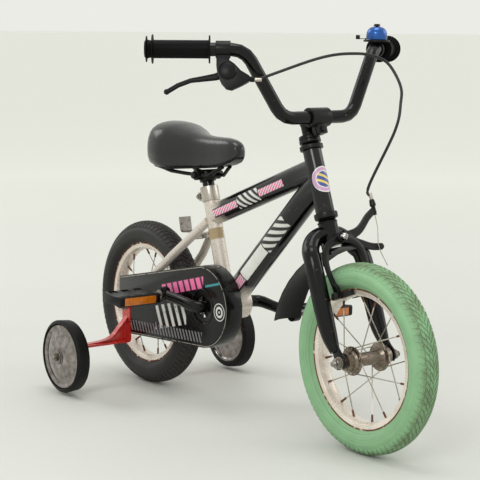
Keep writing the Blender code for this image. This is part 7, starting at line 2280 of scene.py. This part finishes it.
class BICYCLE_OT_films(Operator):
    """Lay the printed films on the tubes"""

    bl_idname = "bicycle.films"
    bl_label = "Printed films"

    def execute(self, context):
        build_films()
        build_badge()
        return {"FINISHED"}


class BICYCLE_OT_guard(Operator):
    """Build the chain guard"""

    bl_idname = "bicycle.guard"
    bl_label = "Chain guard"

    def execute(self, context):
        build_chain_guard()
        return {"FINISHED"}


class BICYCLE_OT_drive(Operator):
    """Build the chain, the crank, its toothed ring, the cog and the pedals"""

    bl_idname = "bicycle.drive"
    bl_label = "Drive"

    def execute(self, context):
        build_chain()
        build_crank()
        build_chainring()
        build_rear_sprocket()
        for side, name in SIDES:
            build_pedal(side, name)
        return {"FINISHED"}


class BICYCLE_OT_wheels(Operator):
    """Build the tyres, rims, hubs and spokes"""

    bl_idname = "bicycle.wheels"
    bl_label = "Wheels"

    def execute(self, context):
        for name, centre in (("front", FRONT_HUB), ("rear", REAR_HUB)):
            build_tyre(name, centre)
            build_rim(name, centre)
        build_hub("rear", REAR_HUB, 0.027, 0.019, (-0.034, 0.0433), REAR_AXLE_RADIUS + RUN_GAP,
                  radians(11.0))
        build_hub("front", FRONT_HUB, 0.024, 0.0115, (-0.0465, 0.0465), FRONT_AXLE_RADIUS + RUN_GAP,
                  radians(13.0))
        build_front_axle()
        return {"FINISHED"}


class BICYCLE_OT_training_wheels(Operator):
    """Build the training wheels on their brackets"""

    bl_idname = "bicycle.training_wheels"
    bl_label = "Training wheels"

    def execute(self, context):
        for side, name in SIDES:
            build_training_bracket(side, name)
            build_training_axle(side, name)
            build_training_wheel(side, name)
        return {"FINISHED"}


class BICYCLE_OT_steering(Operator):
    """Build the fork, the stem, the handlebar with its grips, and the mudguard"""

    bl_idname = "bicycle.steering"
    bl_label = "Steering"

    def execute(self, context):
        build_fork()
        build_headset_nut()
        build_stem()
        build_handlebar()
        build_grips()
        build_bell()
        build_front_mudguard()
        return {"FINISHED"}


class BICYCLE_OT_brake(Operator):
    """Build the brake lever, the cable and the side pull brake"""

    bl_idname = "bicycle.brake"
    bl_label = "Front brake"

    def execute(self, context):
        build_lever()
        build_cable()
        build_caliper_bolt()
        build_caliper()
        return {"FINISHED"}


class BICYCLE_OT_saddle(Operator):
    """Build the padded saddle, its base, its clamp and the seat post"""

    bl_idname = "bicycle.saddle"
    bl_label = "Saddle"

    def execute(self, context):
        build_saddle()
        return {"FINISHED"}


class BICYCLE_OT_studio(Operator):
    """Build the floor, the lights and the camera"""

    bl_idname = "bicycle.studio"
    bl_label = "Studio"

    def execute(self, context):
        build_stage()
        return {"FINISHED"}


OPERATORS = (BICYCLE_OT_finishes, BICYCLE_OT_studio, BICYCLE_OT_frame, BICYCLE_OT_films, BICYCLE_OT_guard,
             BICYCLE_OT_drive, BICYCLE_OT_wheels, BICYCLE_OT_training_wheels, BICYCLE_OT_steering,
             BICYCLE_OT_brake, BICYCLE_OT_saddle)


class BICYCLE_PT_pieces(Panel):
    """Lists the bicycle's colours, sizes and groups of pieces"""

    bl_idname = "BICYCLE_PT_pieces"
    bl_label = "Bicycle"
    bl_space_type = "VIEW_3D"
    bl_region_type = "UI"
    bl_category = "Bicycle"

    def draw(self, context):
        layout = self.layout
        for group in (context.scene.bicycle_colours, context.scene.bicycle_trim):
            box = layout.box()
            for key in group.__annotations__:
                box.prop(group, key)
        for operator in OPERATORS:
            layout.operator(operator.bl_idname)


CLASSES = (BicycleColours, BicycleTrim) + OPERATORS + (BICYCLE_PT_pieces,)


def register():
    for each in CLASSES:
        bpy.utils.register_class(each)
    bpy.types.Scene.bicycle_colours = PointerProperty(type=BicycleColours)
    bpy.types.Scene.bicycle_trim = PointerProperty(type=BicycleTrim)


def unregister():
    del bpy.types.Scene.bicycle_trim
    del bpy.types.Scene.bicycle_colours
    for each in reversed(CLASSES):
        bpy.utils.unregister_class(each)


def corners(box):
    return [[float(part) for part in corner] for corner in box]


def main():
    register()
    for step in OPERATORS:
        getattr(bpy.ops.bicycle, step.bl_idname.split(".")[1])()


if __name__ == "__main__":
    main()
